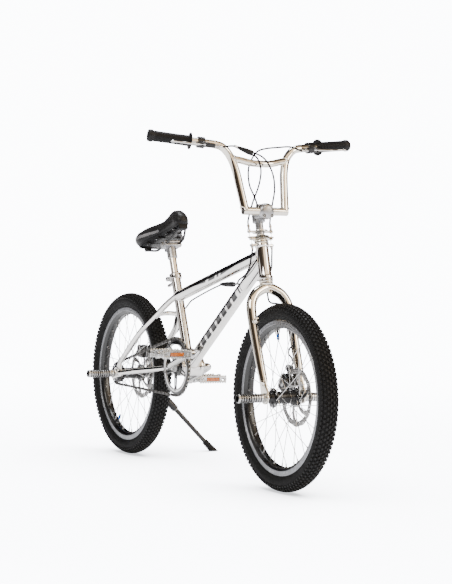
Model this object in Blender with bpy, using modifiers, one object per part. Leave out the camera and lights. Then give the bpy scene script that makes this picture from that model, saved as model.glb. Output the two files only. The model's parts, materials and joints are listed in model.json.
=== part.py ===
"""A 20 inch freestyle BMX bike on its kickstand. Metres, +Z up, +X forward, +Y the bike's left."""
import math

import bmesh
import bpy
from mathutils import Matrix, Vector

# Driving dimensions. The bike is drawn upright with the rear tyre on the ground at the origin,
# and then leans a little to its left, on to the kickstand.
WHEELBASE = 0.9685
WHEEL_R = 0.255
TYRE_R = 0.0265
BEAD_SEAT_R = 0.203
RIM_HALF = 0.016
RIM_INNER_R = 0.186
LEAN = math.radians(1.24)
FORK_HALF_GAP = 0.050
REAR_HALF_GAP = 0.055
AXLE_R = 0.007
HEAD_TOP = Vector((0.830, 0, 0.666))
HEAD_BOTTOM = Vector((0.858, 0, 0.569))
HEAD_R = 0.0175
STEERER_R = 0.0143
STEERER_BORE = 0.0114
BB = Vector((0.409, 0, 0.302))
BB_HALF = 0.034
BB_R = 0.0275
SEAT_ANGLE = math.radians(68.4)
SEAT_TUBE_TOP = 0.276
QR_ALONG = SEAT_TUBE_TOP + 0.008
SEAT_TUBE_R = 0.0143
POST_R = 0.0111
TOP_TUBE_R = 0.0165
DOWN_TUBE_R = 0.0185
STAY_R = 0.0085
BAR_R = 0.0111
CRANK_LENGTH = 0.163
CRANK_ANGLE = math.radians(17.3)
CRANK_Y = 0.078
CHAIN_Y = -0.045
CHAIN_HALF = 0.004
PITCH = 0.0127
RING_TEETH = 42
COG_TEETH = 16
ROTOR_R = 0.080
ROTOR_Y = 0.0395
SPOKES = 36
SPOKE_LEAN = 8
GAP = 0.0003
SLIVER = 0.00005
WELD = 0.000001
WHEEL_STEPS = 28
TREAD_HALF = 0.007

FRONT_HUB = Vector((WHEELBASE, 0, WHEEL_R))
REAR_HUB = Vector((0, 0, WHEEL_R))
STEER_AXIS = (HEAD_TOP - HEAD_BOTTOM).normalized()
SEAT_AXIS = Vector((-math.cos(SEAT_ANGLE), 0, math.sin(SEAT_ANGLE)))
RING_PITCH_R = PITCH / (2 * math.sin(math.pi / RING_TEETH))
COG_PITCH_R = PITCH / (2 * math.sin(math.pi / COG_TEETH))
X_AXIS = Vector((1, 0, 0))
Y_AXIS = Vector((0, 1, 0))
Z_AXIS = Vector((0, 0, 1))
FORWARD = Y_AXIS.cross(STEER_AXIS).normalized()
# The ground's height in the leaning bike's frame: the tyres stand on a flat facet and a tread edge.
FLOOR = WHEEL_R * (1 - math.cos(math.pi / WHEEL_STEPS)) * math.cos(LEAN) - TREAD_HALF * math.sin(LEAN)


# Scene, materials and basic shapes

def clear_scene():
    for obj in list(bpy.data.objects):
        bpy.data.objects.remove(obj)


def new_collection(name):
    group = bpy.data.collections.new(name)
    bpy.context.scene.collection.children.link(group)
    return group


def material(name, colour, roughness, metallic):
    mat = bpy.data.materials.new(name)
    mat.use_nodes = True
    shader = mat.node_tree.nodes["Principled BSDF"]
    shader.inputs["Base Color"].default_value = (*colour, 1)
    shader.inputs["Roughness"].default_value = roughness
    shader.inputs["Metallic"].default_value = metallic
    return mat


def as_object(bm, name="piece"):
    mesh = bpy.data.meshes.new(name)
    bm.to_mesh(mesh)
    bm.free()
    obj = bpy.data.objects.new(name, mesh)
    PARTS.objects.link(obj)
    return obj


def baked(obj):
    """The same shape as a plain mesh, with its modifiers or curve worked out."""
    bpy.context.view_layer.update()
    graph = bpy.context.evaluated_depsgraph_get()
    mesh = bpy.data.meshes.new_from_object(obj.evaluated_get(graph))
    mesh.transform(obj.matrix_world)
    bpy.data.objects.remove(obj)
    bm = bmesh.new()
    bm.from_mesh(mesh)
    bmesh.ops.remove_doubles(bm, verts=bm.verts, dist=WELD)
    bmesh.ops.dissolve_degenerate(bm, edges=bm.edges, dist=WELD)
    bmesh.ops.recalc_face_normals(bm, faces=bm.faces)
    bpy.data.meshes.remove(mesh)
    return as_object(bm)


def aim(start, direction):
    """Puts local +Z along direction, with the origin at start."""
    turn = Vector(direction).to_track_quat("Z", "Y").to_matrix().to_4x4()
    return Matrix.Translation(Vector(start)) @ turn


def rod(start, end, radius, sides=12, end_radius=None):
    start, end = Vector(start), Vector(end)
    span = end - start
    bm = bmesh.new()
    bmesh.ops.create_cone(bm, cap_ends=True, segments=sides, radius1=radius,
                          radius2=radius if end_radius is None else end_radius, depth=span.length)
    bmesh.ops.transform(bm, verts=bm.verts, matrix=aim((start + end) / 2, span))
    return as_object(bm)


def clear(radius, sides):
    """The corner radius of a many-sided bore whose flats clear a shaft."""
    return (radius + GAP) / math.cos(math.pi / sides)


def bore(start, end, radius, sides=12):
    return rod(start, end, clear(radius, sides), sides)


def box(centre, size, turn=None, bevel=0.0):
    bm = bmesh.new()
    bmesh.ops.create_cube(bm, size=1, matrix=Matrix.Diagonal((*size, 1)))
    if bevel:
        bmesh.ops.bevel(bm, geom=bm.edges, offset=bevel, segments=1, affect="EDGES")
    place = Matrix.Translation(Vector(centre))
    if turn is not None:
        place = place @ turn.to_4x4()
    bmesh.ops.transform(bm, verts=bm.verts, matrix=place)
    return as_object(bm)


def ball(centre, radii, turn=None):
    bm = bmesh.new()
    bmesh.ops.create_uvsphere(bm, u_segments=8, v_segments=5, radius=1)
    place = Matrix.Translation(Vector(centre))
    if turn is not None:
        place = place @ turn.to_4x4()
    bmesh.ops.transform(bm, verts=bm.verts, matrix=place @ Matrix.Diagonal((*radii, 1)))
    return as_object(bm)


def turned(profile, start, axis, steps=24):
    """Turns a profile of (distance along axis, radius) about the axis through start.

    A profile that starts and ends at radius 0 makes a solid, and any other is closed into a ring."""
    mesh = bpy.data.meshes.new("profile")
    count = len(profile)
    edges = [(n, n + 1) for n in range(count - 1)]
    if profile[0][1] or profile[-1][1]:
        edges.append((count - 1, 0))
    half = math.pi / steps
    mesh.from_pydata([(radius * math.cos(half), radius * math.sin(half), along) for along, radius in profile],
                     edges, [])
    obj = bpy.data.objects.new("turned", mesh)
    PARTS.objects.link(obj)
    screw = obj.modifiers.new("turn", "SCREW")
    screw.steps = screw.render_steps = steps
    screw.use_merge_vertices = True
    screw.merge_threshold = 1e-5
    obj.matrix_world = aim(start, axis)
    return baked(obj)


def washer(start, axis, length, outer, inner, steps=24):
    return turned([(0, inner), (length, inner), (length, outer), (0, outer)], start, axis, steps)


def smooth_route(points, per_span=6):
    """A Catmull-Rom curve through the points."""
    points = [Vector(p) for p in points]
    ends = [2 * points[0] - points[1], *points, 2 * points[-1] - points[-2]]
    route = []
    for before, a, b, after in zip(ends, ends[1:], ends[2:], ends[3:]):
        for n in range(per_span):
            t = n / per_span
            route.append(0.5 * (2 * a + (b - before) * t + (2 * before - 5 * a + 4 * b - after) * t * t
                                + (3 * a - before - 3 * b + after) * t ** 3))
    return [*route, points[-1]]


def tube(points, radius, sides=8, widths=None):
    """A round tube along the points. widths scales the radius at each point."""
    curve = bpy.data.curves.new("tube", "CURVE")
    curve.dimensions = "3D"
    curve.bevel_depth = radius
    curve.bevel_resolution = sides // 2 - 2
    curve.use_fill_caps = True
    spline = curve.splines.new("POLY")
    spline.points.add(len(points) - 1)
    for n, point in enumerate(points):
        spline.points[n].co = (*point, 1)
        spline.points[n].radius = widths[n] if widths else 1
    obj = bpy.data.objects.new("tube", curve)
    PARTS.objects.link(obj)
    return baked(obj)


def plate(outline, normal_half, place):
    """A flat plate: outline of (x, y) points, thickness along local Z, then placed by a matrix."""
    bm = bmesh.new()
    face = bm.faces.new([bm.verts.new((x, y, -normal_half)) for x, y in outline])
    side = bmesh.ops.extrude_face_region(bm, geom=[face])
    top = [v for v in side["geom"] if isinstance(v, bmesh.types.BMVert)]
    bmesh.ops.translate(bm, verts=top, vec=(0, 0, 2 * normal_half))
    bmesh.ops.recalc_face_normals(bm, faces=bm.faces)
    bmesh.ops.transform(bm, verts=bm.verts, matrix=place)
    return as_object(bm)


def side_plate(outline, y_low, y_high):
    """A plate in the bike's plane: outline of (x, z) points between two values of y."""
    place = Matrix(((1, 0, 0, 0), (0, 0, -1, (y_low + y_high) / 2), (0, 1, 0, 0), (0, 0, 0, 1)))
    return plate(outline, (y_high - y_low) / 2, place)


def arc(centre, radius, start, end, count):
    """Points of an arc in a plane, angles in degrees."""
    return [(centre[0] + radius * math.cos(math.radians(start + (end - start) * n / count)),
             centre[1] + radius * math.sin(math.radians(start + (end - start) * n / count)))
            for n in range(count + 1)]


def boolean(target, other, operation):
    other.hide_render = True
    other.display_type = "WIRE"
    change = target.modifiers.new("change", "BOOLEAN")
    change.operation = operation
    change.solver = "EXACT"
    change.object = other
    bpy.context.view_layer.update()
    graph = bpy.context.evaluated_depsgraph_get()
    mesh = bpy.data.meshes.new_from_object(target.evaluated_get(graph))
    target.modifiers.clear()
    target.data = mesh
    bpy.data.objects.remove(other)
    return target


def joined(*pieces):
    whole = pieces[0]
    for piece in pieces[1:]:
        boolean(whole, piece, "UNION")
    return whole


def cut(whole, *cutters):
    for cutter in cutters:
        boolean(whole, cutter, "DIFFERENCE")
    return whole


def tidied(obj):
    """Drop the slivers a Boolean leaves where edges nearly meet."""
    bm = bmesh.new()
    bm.from_mesh(obj.data)
    bmesh.ops.remove_doubles(bm, verts=bm.verts, dist=SLIVER)
    bmesh.ops.dissolve_degenerate(bm, edges=bm.edges, dist=SLIVER)
    bm.to_mesh(obj.data)
    bm.free()
    return obj


def side_y(point, side):
    return Vector((point[0], point[1] * side, point[2]))


def steer(along, ahead=0.0, across=0.0):
    """A point given along the steering axis from the head tube's top, ahead of it and to its left."""
    return HEAD_TOP + STEER_AXIS * along + FORWARD * ahead + Y_AXIS * across


def seat(along, ahead=0.0, across=0.0):
    """A point along the seat tube's axis from the bottom bracket."""
    return BB + SEAT_AXIS * along + Y_AXIS.cross(SEAT_AXIS) * ahead + Y_AXIS * across


def keep(obj, name, mat, pivot):
    """Names a finished piece, gives it its material and puts its origin on its body's pivot."""
    obj.name = name
    obj.data.name = name
    obj.data.materials.clear()
    obj.data.materials.append(mat)
    obj.data.transform(Matrix.Translation(-HOMES[pivot.name]))
    obj.data.shade_smooth()
    obj.data.set_sharp_from_angle(angle=math.radians(35))
    obj.parent = pivot
    return obj


def new_pivot(name, point, parent=None):
    empty = bpy.data.objects.new(name, None)
    empty.empty_display_size = 0.05
    PARTS.objects.link(empty)
    HOMES[name] = Vector(point)
    empty.location = HOMES[name] - (HOMES[parent.name] if parent else Vector())
    empty.parent = parent
    return empty


# Frame

TOP_TUBE_HEAD = Vector((0.8375, 0, 0.638))
TOP_TUBE_SEAT = Vector((0.330, 0, 0.5075))
DOWN_TUBE_HEAD = Vector((0.8405, 0, 0.621))
DROPOUT_Y = 0.0585
STOP_Y = 0.0305


def make_frame():
    head = rod(HEAD_BOTTOM, HEAD_TOP, HEAD_R, 18)
    shell = rod(BB - Y_AXIS * BB_HALF, BB + Y_AXIS * BB_HALF, BB_R, 16)
    seat_tube = rod(BB, seat(SEAT_TUBE_TOP), SEAT_TUBE_R, 14)
    top_tube = rod(TOP_TUBE_SEAT, TOP_TUBE_HEAD, TOP_TUBE_R, 12)
    down_tube = rod(BB, DOWN_TUBE_HEAD, DOWN_TUBE_R, 12)
    gusset = side_plate([(0.812, 0.610), (0.700, 0.528), (0.745, 0.545), (0.835, 0.590)], -0.003, 0.003)
    pieces = [head, shell, seat_tube, top_tube, down_tube, gusset]
    for side in (-1, 1):
        chainstay = smooth_route([side_y(p, side) for p in (
            (0.400, 0.020, 0.302), (0.345, 0.0275, 0.2955), (0.290, 0.034, 0.289), (0.225, 0.0475, 0.281),
            (0.150, 0.0570, 0.2725), (0.045, DROPOUT_Y, 0.2600))], 1)
        seatstay = smooth_route([side_y(p, side) for p in (
            (0.335, 0.006, 0.512), (0.296, 0.021, 0.484), (0.245, 0.040, 0.440), (0.190, 0.0560, 0.396),
            (0.110, DROPOUT_Y, 0.338), (0.050, DROPOUT_Y, 0.295))], 1)
        dropout = side_plate([*arc((0, WHEEL_R), 0.0165, 100, 275, 6), (0.030, 0.2460), (0.060, 0.2510),
                              (0.066, 0.2660), (0.050, 0.2720), (0.058, 0.2920), (0.066, 0.3050),
                              (0.050, 0.3080), (0.012, 0.2760)],
                             *sorted((side * (REAR_HALF_GAP + 0.0005), side * (REAR_HALF_GAP + 0.0065))))
        pieces += [tube(chainstay, STAY_R, 8), tube(seatstay, STAY_R, 8), dropout]
    pieces.append(rod((0.258, -0.036, 0.4515), (0.258, 0.036, 0.4515), 0.007, 8))
    pieces.append(rod((0.300, -0.034, 0.2905), (0.300, 0.034, 0.2905), 0.007, 8))
    caliper_mount = [(-0.008, 0.262), (0.040, 0.276), (0.052, 0.292), (0.046, 0.322), (0.028, 0.324),
                     (0.024, 0.303), (-0.010, 0.300)]
    pieces.append(side_plate(caliper_mount, REAR_HALF_GAP + 0.0010, REAR_HALF_GAP + 0.0050))
    for side in (-1, 1):
        pieces.append(box(steer(-0.004, 0, side * 0.0255), (0.011, 0.022, 0.005), steer_turn(), 0.001))
    frame = joined(*pieces)
    cutters = [rod(HEAD_BOTTOM - STEER_AXIS * 0.02, HEAD_TOP + STEER_AXIS * 0.02, HEAD_R - 0.0018, 16),
               rod(BB - Y_AXIS * 0.06, BB + Y_AXIS * 0.06, BB_R - 0.003, 16),
               bore(seat(0.060), seat(0.40), POST_R, 14)]
    for side in (-1, 1):
        cutters.append(bore(REAR_HUB + Y_AXIS * side * 0.05, REAR_HUB + Y_AXIS * side * 0.07, AXLE_R))
        cutters.append(rod(steer(-0.02, 0, side * STOP_Y), steer(0.02, 0, side * STOP_Y), 0.0020, 8))
    return tidied(cut(frame, *cutters))


def steer_turn():
    return Matrix((FORWARD, Y_AXIS, STEER_AXIS)).transposed()


def seat_turn():
    return Matrix((Y_AXIS.cross(SEAT_AXIS), Y_AXIS, SEAT_AXIS)).transposed()


def make_headset():
    inner = clear(STEERER_R, 16)
    cup = [(-0.008, 0.0153), (-0.008, inner), (0.0085, inner), (0.0085, 0.0185), (0.003, 0.0195), (0, 0.0195),
           (0, 0.0153)]
    upper = turned([(a + GAP, r) for a, r in cup], HEAD_TOP, STEER_AXIS, 16)
    lower = turned([(a + GAP, r) for a, r in cup], HEAD_BOTTOM, -STEER_AXIS, 16)
    return upper, lower


def make_seat_collar():
    """A split ring round the seat tube's top, with two ears behind for the quick release."""
    inner = clear(POST_R, 20)
    slot, ear, back = 0.0016, 0.0070, 0.0290
    outer = arc((0, 0), 0.0175, 180 - 24, -180 + 24, 18)
    hollow = arc((0, 0), inner, -180 + 8, 180 - 8, 18)
    outline = [(-back, ear), *outer, (-back, -ear), (-back, -slot), *hollow, (-back, slot)]
    place = Matrix.Translation(seat(QR_ALONG)) @ seat_turn().to_4x4()
    collar = plate(outline, 0.0077, place)
    return cut(collar, rod(seat(QR_ALONG, -0.0235, -0.03), seat(QR_ALONG, -0.0235, 0.03), 0.0031, 8))


# Wheels

def make_tyre(hub):
    """The tyre's open casing: beads in the rim, walls and a tread with a narrow flat."""
    centre_r = WHEEL_R - TYRE_R
    bead, wall = 0.0127, 0.0038
    side = [(TYRE_R * math.sin(a), centre_r + TYRE_R * math.cos(a))
            for a in (math.radians(degrees) for degrees in (66, 120))]
    right = [(TREAD_HALF, WHEEL_R), *side, (bead, 0.2100), (bead, BEAD_SEAT_R + GAP)]
    lining = [(bead - 0.003, BEAD_SEAT_R + GAP), (bead - 0.003, 0.2105),
              (side[1][0] - wall, side[1][1] + 0.0015), (side[0][0] - wall, side[0][1] - 0.003),
              (0, WHEEL_R - wall)]
    half = right + lining
    profile = half + [(-y, r) for y, r in reversed(half[:-1])]
    return turned(profile, hub, Y_AXIS, WHEEL_STEPS)


def make_inner_tube(hub, valve_angle):
    """The inner tube, left open towards the tread so that its hollow isn't sealed, and its valve."""
    centre_r = WHEEL_R - TYRE_R - 0.002
    outer, inner = 0.0165, 0.0148
    ring = [(outer * math.sin(a), centre_r + outer * math.cos(a))
            for a in (math.radians(50 + 260 * n / 5) for n in range(6))]
    lining = [(inner * math.sin(a), centre_r + inner * math.cos(a))
              for a in (math.radians(310 - 260 * n / 5) for n in range(6))]
    out = wheel_direction(valve_angle)
    valve = turned([(0, 0), (0, 0.0030), (0.002, 0.0036), (0.012, 0.0036), (0.012, 0.0030),
                    (0.045, 0.0030), (0.045, 0)], hub + out * 0.166, out, 8)
    return joined(turned(ring + lining, hub, Y_AXIS, WHEEL_STEPS // 2), valve)


def wheel_direction(angle):
    """A unit vector in the wheel's plane, angle in degrees from straight up towards the front."""
    turn = math.radians(angle)
    return Vector((math.sin(turn), 0, math.cos(turn)))


def make_rim(hub, valve_angle):
    flange = BEAD_SEAT_R + 0.006
    profile = [(-RIM_HALF, flange), (-0.013, flange), (-0.013, BEAD_SEAT_R), (0.013, BEAD_SEAT_R),
               (0.013, flange), (RIM_HALF, flange), (RIM_HALF, 0.194), (0.008, RIM_INNER_R),
               (-0.008, RIM_INNER_R), (-RIM_HALF, 0.194)]
    rim = turned(profile, hub, Y_AXIS, WHEEL_STEPS)
    out = wheel_direction(valve_angle)
    return cut(rim, rod(hub + out * 0.17, hub + out * 0.22, 0.0042, 8))


def make_spokes(hub, flange_y, flange_r, valve_angle):
    """All the spokes as one piece, held by a ring beside each flange and a ring inside the rim."""
    per_side = SPOKES // 2
    nipple_line = RIM_INNER_R - 0.0018
    hole_r = flange_r - 0.003
    pieces = [washer(hub - Y_AXIS * 0.003, Y_AXIS, 0.006, RIM_INNER_R - GAP, RIM_INNER_R - 0.0025,
                     WHEEL_STEPS)]
    for side in (-1, 1):
        ring_y = side * (flange_y - 0.0035)
        pieces.append(washer(hub + Y_AXIS * (ring_y - 0.0015), Y_AXIS, 0.003, hole_r + 0.002,
                             hole_r - 0.002, 18))
        for n in range(per_side):
            lean = SPOKE_LEAN if n % 2 else -SPOKE_LEAN
            at_rim = valve_angle + 360 * n / per_side + side * 90 / per_side
            start = hub + wheel_direction(at_rim + lean) * hole_r + Y_AXIS * ring_y
            end = hub + wheel_direction(at_rim) * nipple_line + Y_AXIS * side * 0.0012
            pieces.append(rod(start, end, 0.0012, 3))
    spokes = union_all(pieces)
    out = wheel_direction(valve_angle)
    return cut(spokes, rod(hub + out * 0.170, hub + out * 0.200, 0.0045, 8))


def union_all(pieces):
    """One Boolean union of many pieces."""
    group = bpy.data.collections.new("union")
    whole = pieces[0]
    for piece in pieces[1:]:
        PARTS.objects.unlink(piece)
        group.objects.link(piece)
        piece.hide_render = True
        piece.display_type = "WIRE"
    change = whole.modifiers.new("change", "BOOLEAN")
    change.operation = "UNION"
    change.solver = "EXACT"
    change.operand_type = "COLLECTION"
    change.collection = group
    bpy.context.view_layer.update()
    graph = bpy.context.evaluated_depsgraph_get()
    mesh = bpy.data.meshes.new_from_object(whole.evaluated_get(graph))
    whole.modifiers.clear()
    whole.data = mesh
    for piece in pieces[1:]:
        bpy.data.objects.remove(piece)
    bpy.data.collections.remove(group)
    return whole


def make_hub(hub, flange_y, flange_r, left_end, right_end):
    inner = clear(AXLE_R, 16)
    shell = 0.0185
    boss = 0.0215
    profile = [(-right_end, inner), (left_end, inner), (left_end, boss - 0.003),
               (ROTOR_Y - 0.0012, boss - 0.003), (ROTOR_Y - 0.0012, boss),
               (flange_y + 0.0015, boss), (flange_y + 0.0015, flange_r),
               (flange_y - 0.0015, flange_r), (flange_y - 0.0015, shell), (-flange_y + 0.0015, shell),
               (-flange_y + 0.0015, flange_r), (-flange_y - 0.0015, flange_r), (-flange_y - 0.0015, 0.0150),
               (-right_end, 0.0150)]
    return turned(profile, hub, Y_AXIS, 16)


def make_rotor(hub):
    """A wavy brake disc on six curved arms."""
    outline = []
    waves = 10
    for n in range(waves * 2):
        angle = 2 * math.pi * n / (waves * 2)
        radius = ROTOR_R - 0.0015 * (1 - math.cos(waves * angle))
        outline.append((radius * math.cos(angle), radius * math.sin(angle)))
    facing = Vector(Y_AXIS).to_track_quat("Z", "Y").to_matrix().to_4x4()
    place = Matrix.Translation(hub + Y_AXIS * ROTOR_Y) @ facing
    disc = plate(outline, 0.0009, place)
    disc = cut(disc, rod(hub + Y_AXIS * (ROTOR_Y - 0.01), hub + Y_AXIS * (ROTOR_Y + 0.01),
                         ROTOR_R - 0.016, 20))
    pieces = [disc, washer(hub + Y_AXIS * (ROTOR_Y - 0.0009), Y_AXIS, 0.0018, 0.024, clear(0.0185, 16), 16)]
    for n in range(6):
        start = 60 * n
        inside = hub + Y_AXIS * ROTOR_Y + wheel_direction(start) * 0.0225
        outside = hub + Y_AXIS * ROTOR_Y + wheel_direction(start + 26) * 0.0665
        along = (outside - inside).normalized()
        turn = Matrix((along, Y_AXIS, along.cross(Y_AXIS))).transposed()
        pieces.append(box((inside + outside) / 2, ((outside - inside).length, 0.0014, 0.006), turn))
    return tidied(union_all(pieces))


def make_axle(hub, half, nuts):
    """An axle and its two nuts, each given by the places of its faces."""
    pieces = [rod(hub - Y_AXIS * half, hub + Y_AXIS * half, AXLE_R, 12)]
    for inner, outer in nuts:
        pieces.append(rod(hub + Y_AXIS * inner, hub + Y_AXIS * outer, 0.0120, 6))
    return joined(*pieces)


def make_peg(hub, side, inner, outer):
    """A steel peg screwed on the axle's end, necked once between its two grooved bands."""
    radius, neck = 0.0125, 0.0119
    length = outer - inner
    mouth = clear(AXLE_R, 12)
    profile = [(0, mouth), (0, radius), (0.032, radius), (0.033, neck), (length - 0.033, neck),
               (length - 0.032, radius), (length - 0.002, radius), (length, radius - 0.002), (length, mouth)]
    return turned(profile, hub + Y_AXIS * side * inner, Y_AXIS * side, 12)


# Drive

def crank_direction(side):
    """The right arm points ahead and up, and the left one back and down."""
    sign = 1 if side < 0 else -1
    return Vector((sign * math.cos(CRANK_ANGLE), 0, sign * math.sin(CRANK_ANGLE)))


def pedal_axis_point(side):
    return BB + crank_direction(side) * CRANK_LENGTH + Y_AXIS * side * CRANK_Y


def make_crank():
    """A one-piece crank: spindle, two bends and two arms."""
    pieces = [rod(BB - Y_AXIS * 0.062, BB + Y_AXIS * 0.062, 0.0100, 12)]
    for side in (-1, 1):
        out = crank_direction(side)
        route = smooth_route([BB + Y_AXIS * side * 0.055, BB + Y_AXIS * side * 0.066 + out * 0.010,
                              BB + Y_AXIS * side * 0.073 + out * 0.040,
                              BB + Y_AXIS * side * (CRANK_Y - 0.0005) + out * 0.100,
                              BB + Y_AXIS * side * CRANK_Y + out * (CRANK_LENGTH - 0.008)], 2)
        pieces.append(tube(route, 0.0095, 8))
        end = pedal_axis_point(side)
        pieces.append(rod(end - Y_AXIS * 0.0085, end + Y_AXIS * 0.0085, 0.0150, 14))
        pieces.append(make_pedal_spindle(side))
    return joined(*pieces)


def make_chainring():
    centre = BB + Y_AXIS * CHAIN_Y
    root = (RING_PITCH_R - CHAIN_HALF) * math.cos(math.pi / 36) - 2 * GAP
    pieces = [washer(centre - Y_AXIS * 0.0012, Y_AXIS, 0.0024, root, root - 0.011, 28),
              washer(centre - Y_AXIS * 0.0012, Y_AXIS, 0.0024, 0.024, clear(0.0100, 14), 14)]
    for n in range(5):
        out = wheel_direction(36 + 72 * n)
        across = out.cross(Y_AXIS)
        turn = Matrix((out, Y_AXIS, across)).transposed()
        pieces.append(box(centre + out * 0.046, (0.056, 0.0022, 0.015), turn))
    return union_all(pieces)


def make_chain():
    """The chain's outline, as a closed band around the chainring and the freewheel."""
    span = Vector((BB.x, BB.z)) - Vector((REAR_HUB.x, REAR_HUB.z))
    slope = math.degrees(math.atan2(span.y, span.x))
    wrap = math.degrees(math.asin((RING_PITCH_R - COG_PITCH_R) / span.length))
    loops = []
    for offset in (CHAIN_HALF, -CHAIN_HALF):
        ring = arc((BB.x, BB.z), RING_PITCH_R + offset, slope + 90 + wrap, slope - 90 - wrap, 20)
        cog = arc((REAR_HUB.x, REAR_HUB.z), COG_PITCH_R + offset, slope + 270 - wrap, slope + 90 + wrap, 8)
        loops.append(ring + cog)
    outer = side_plate(loops[0], CHAIN_Y - 0.004, CHAIN_Y + 0.004)
    return cut(outer, side_plate(loops[1], CHAIN_Y - 0.01, CHAIN_Y + 0.01))


def make_freewheel():
    root = (COG_PITCH_R - CHAIN_HALF) * math.cos(math.pi / 16) - 2 * GAP
    return turned([(CHAIN_Y - 0.0055, 0.0155), (CHAIN_Y + 0.0085, 0.0155), (CHAIN_Y + 0.0085, 0.024),
                   (CHAIN_Y + 0.0015, 0.024), (CHAIN_Y + 0.0015, root), (CHAIN_Y - 0.0015, root),
                   (CHAIN_Y - 0.0015, 0.022), (CHAIN_Y - 0.0055, 0.022)], REAR_HUB, Y_AXIS, 18)


def make_bottom_cup(side):
    inner = clear(0.0100, 16)
    profile = [(-0.012, 0.0225), (0, 0.0225), (0, BB_R), (0.004, BB_R - 0.001), (0.004, inner),
               (-0.004, inner), (-0.004, 0.0185), (-0.012, 0.0185)]
    return turned([(a + GAP, r) for a, r in profile], BB + Y_AXIS * side * BB_HALF, Y_AXIS * side, 16)


def make_pedal(side):
    """A cage pedal: two rails round a central barrel, with end plates."""
    centre = pedal_axis_point(side) + Y_AXIS * side * 0.062
    barrel = rod(centre - Y_AXIS * side * 0.048, centre + Y_AXIS * side * 0.046, 0.0130, 14)
    pieces = [barrel]
    for lead in (-1, 1):
        pieces.append(box(centre + X_AXIS * lead * 0.040, (0.004, 0.092, 0.024)))
        for across in (-0.038, 0, 0.038):
            pieces.append(box(centre + X_AXIS * lead * 0.024 + Y_AXIS * across, (0.034, 0.007, 0.016)))
    whole = union_all(pieces)
    return cut(whole, rod(centre - Y_AXIS * side * 0.07, centre + Y_AXIS * side * 0.038, 0.0078, 12))


def make_pedal_spindle(side):
    end = pedal_axis_point(side)
    return turned([(-0.0085, 0), (-0.0085, 0.0080), (0.0090, 0.0080), (0.0090, 0.0100), (0.0130, 0.0100),
                   (0.0130, 0.0070), (0.094, 0.0070), (0.094, 0)], end, Y_AXIS * side, 12)


# Fork and steering

def make_fork():
    hollow = rod(steer(-0.126), steer(0.024), STEERER_R, 16)
    pieces = [hollow]
    for side in (-1, 1):
        leg = smooth_route([steer(-0.124, 0.001, side * 0.004), steer(-0.132, 0.002, side * 0.022),
                            steer(-0.146, 0.003, side * 0.043), steer(-0.176, 0.004, side * 0.0575),
                            steer(-0.230, 0.007, side * 0.0600), steer(-0.330, 0.016, side * 0.0590),
                            steer(-0.392, 0.022, side * 0.0575)], 1)
        widths = [1 - 0.22 * (n / (len(leg) - 1)) ** 2 for n in range(len(leg))]
        pieces.append(tube(leg, 0.0143, 10, widths))
        low = steer(-0.380, 0.020)
        hub = FRONT_HUB
        outline = [(low.x - 0.014, low.z), (low.x + 0.008, low.z + 0.006), (hub.x + 0.017, hub.z + 0.012),
                   *arc((hub.x, hub.z), 0.0165, 15, -150, 5)]
        pieces.append(side_plate(outline, *sorted((side * (FORK_HALF_GAP + 0.0045),
                                                   side * (FORK_HALF_GAP + 0.0105)))))
        boss = steer(-0.222, 0.007, side * 0.060)
        pieces.append(rod(boss, boss + FORWARD * 0.028, 0.006, 10))
    pieces.append(box(steer(-0.375, 0.004, FORK_HALF_GAP + 0.0075), (0.033, 0.005, 0.050), steer_turn()))
    race = HEAD_BOTTOM - STEER_AXIS * 0.0126
    pieces.append(rod(race, race + STEER_AXIS * 0.0035, 0.0190, 20, 0.0165))
    fork = joined(*pieces)
    cutters = [rod(steer(-0.16), steer(0.04), STEERER_BORE, 16)]
    for side in (-1, 1):
        cutters.append(bore(FRONT_HUB + Y_AXIS * side * 0.05, FRONT_HUB + Y_AXIS * side * 0.07, AXLE_R))
    return tidied(cut(fork, *cutters))


def make_locknut():
    return washer(steer(0.0092), STEER_AXIS, 0.0022, 0.0185, clear(STEERER_R, 12), 12)


def ear_plate(along, thickness, radius, ear, inner, hole):
    """A ring round the steerer with an ear on each side, and a hole in each ear if hole isn't 0."""
    tip = 0.0055
    swing = math.degrees(math.asin(tip / radius)) + 6
    outline = []
    for start in (90, 270):
        outline += arc((0, ear if start == 90 else -ear), tip, start - 80, start + 80, 4)
        outline += arc((0, 0), radius, start + swing, start + 180 - swing, 6)
    place = Matrix.Translation(steer(along + thickness / 2)) @ steer_turn().to_4x4()
    ring = plate(outline, thickness / 2, place)
    cutters = [bore(steer(along - 0.01), steer(along + thickness + 0.01), inner, 16)]
    if hole:
        for side in (-1, 1):
            cutters.append(rod(steer(along - 0.01, 0, side * ear),
                               steer(along + thickness + 0.01, 0, side * ear), hole, 6))
    return cut(ring, *cutters)


QUILL_BOTTOM = -0.055
BAR_CENTRE = Vector((0.846, 0, 0.7555))


def make_stem():
    """A quill stem: the quill in the steerer, and a block that reaches ahead to the bar."""
    quill = rod(steer(QUILL_BOTTOM), steer(0.070), 0.0108, 16)
    lug = rod(steer(0.0620), steer(0.0980), 0.0178, 18)
    top = steer(0.080)
    reach = BAR_CENTRE - top
    along = reach.normalized()
    turn = Matrix((along, Y_AXIS, along.cross(Y_AXIS))).transposed()
    block = box(top + reach * 0.42, (reach.length * 0.80, 0.034, 0.030), turn)
    clamp = box(BAR_CENTRE - X_AXIS * 0.0090, (0.0172, 0.042, 0.040))
    stem = joined(quill, lug, block, clamp)
    cable_way = rod(steer(QUILL_BOTTOM - 0.02), steer(0.14), 0.0050, 8)
    return cut(stem, bore(BAR_CENTRE - Y_AXIS * 0.05, BAR_CENTRE + Y_AXIS * 0.05, BAR_R, 16), cable_way)


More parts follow.
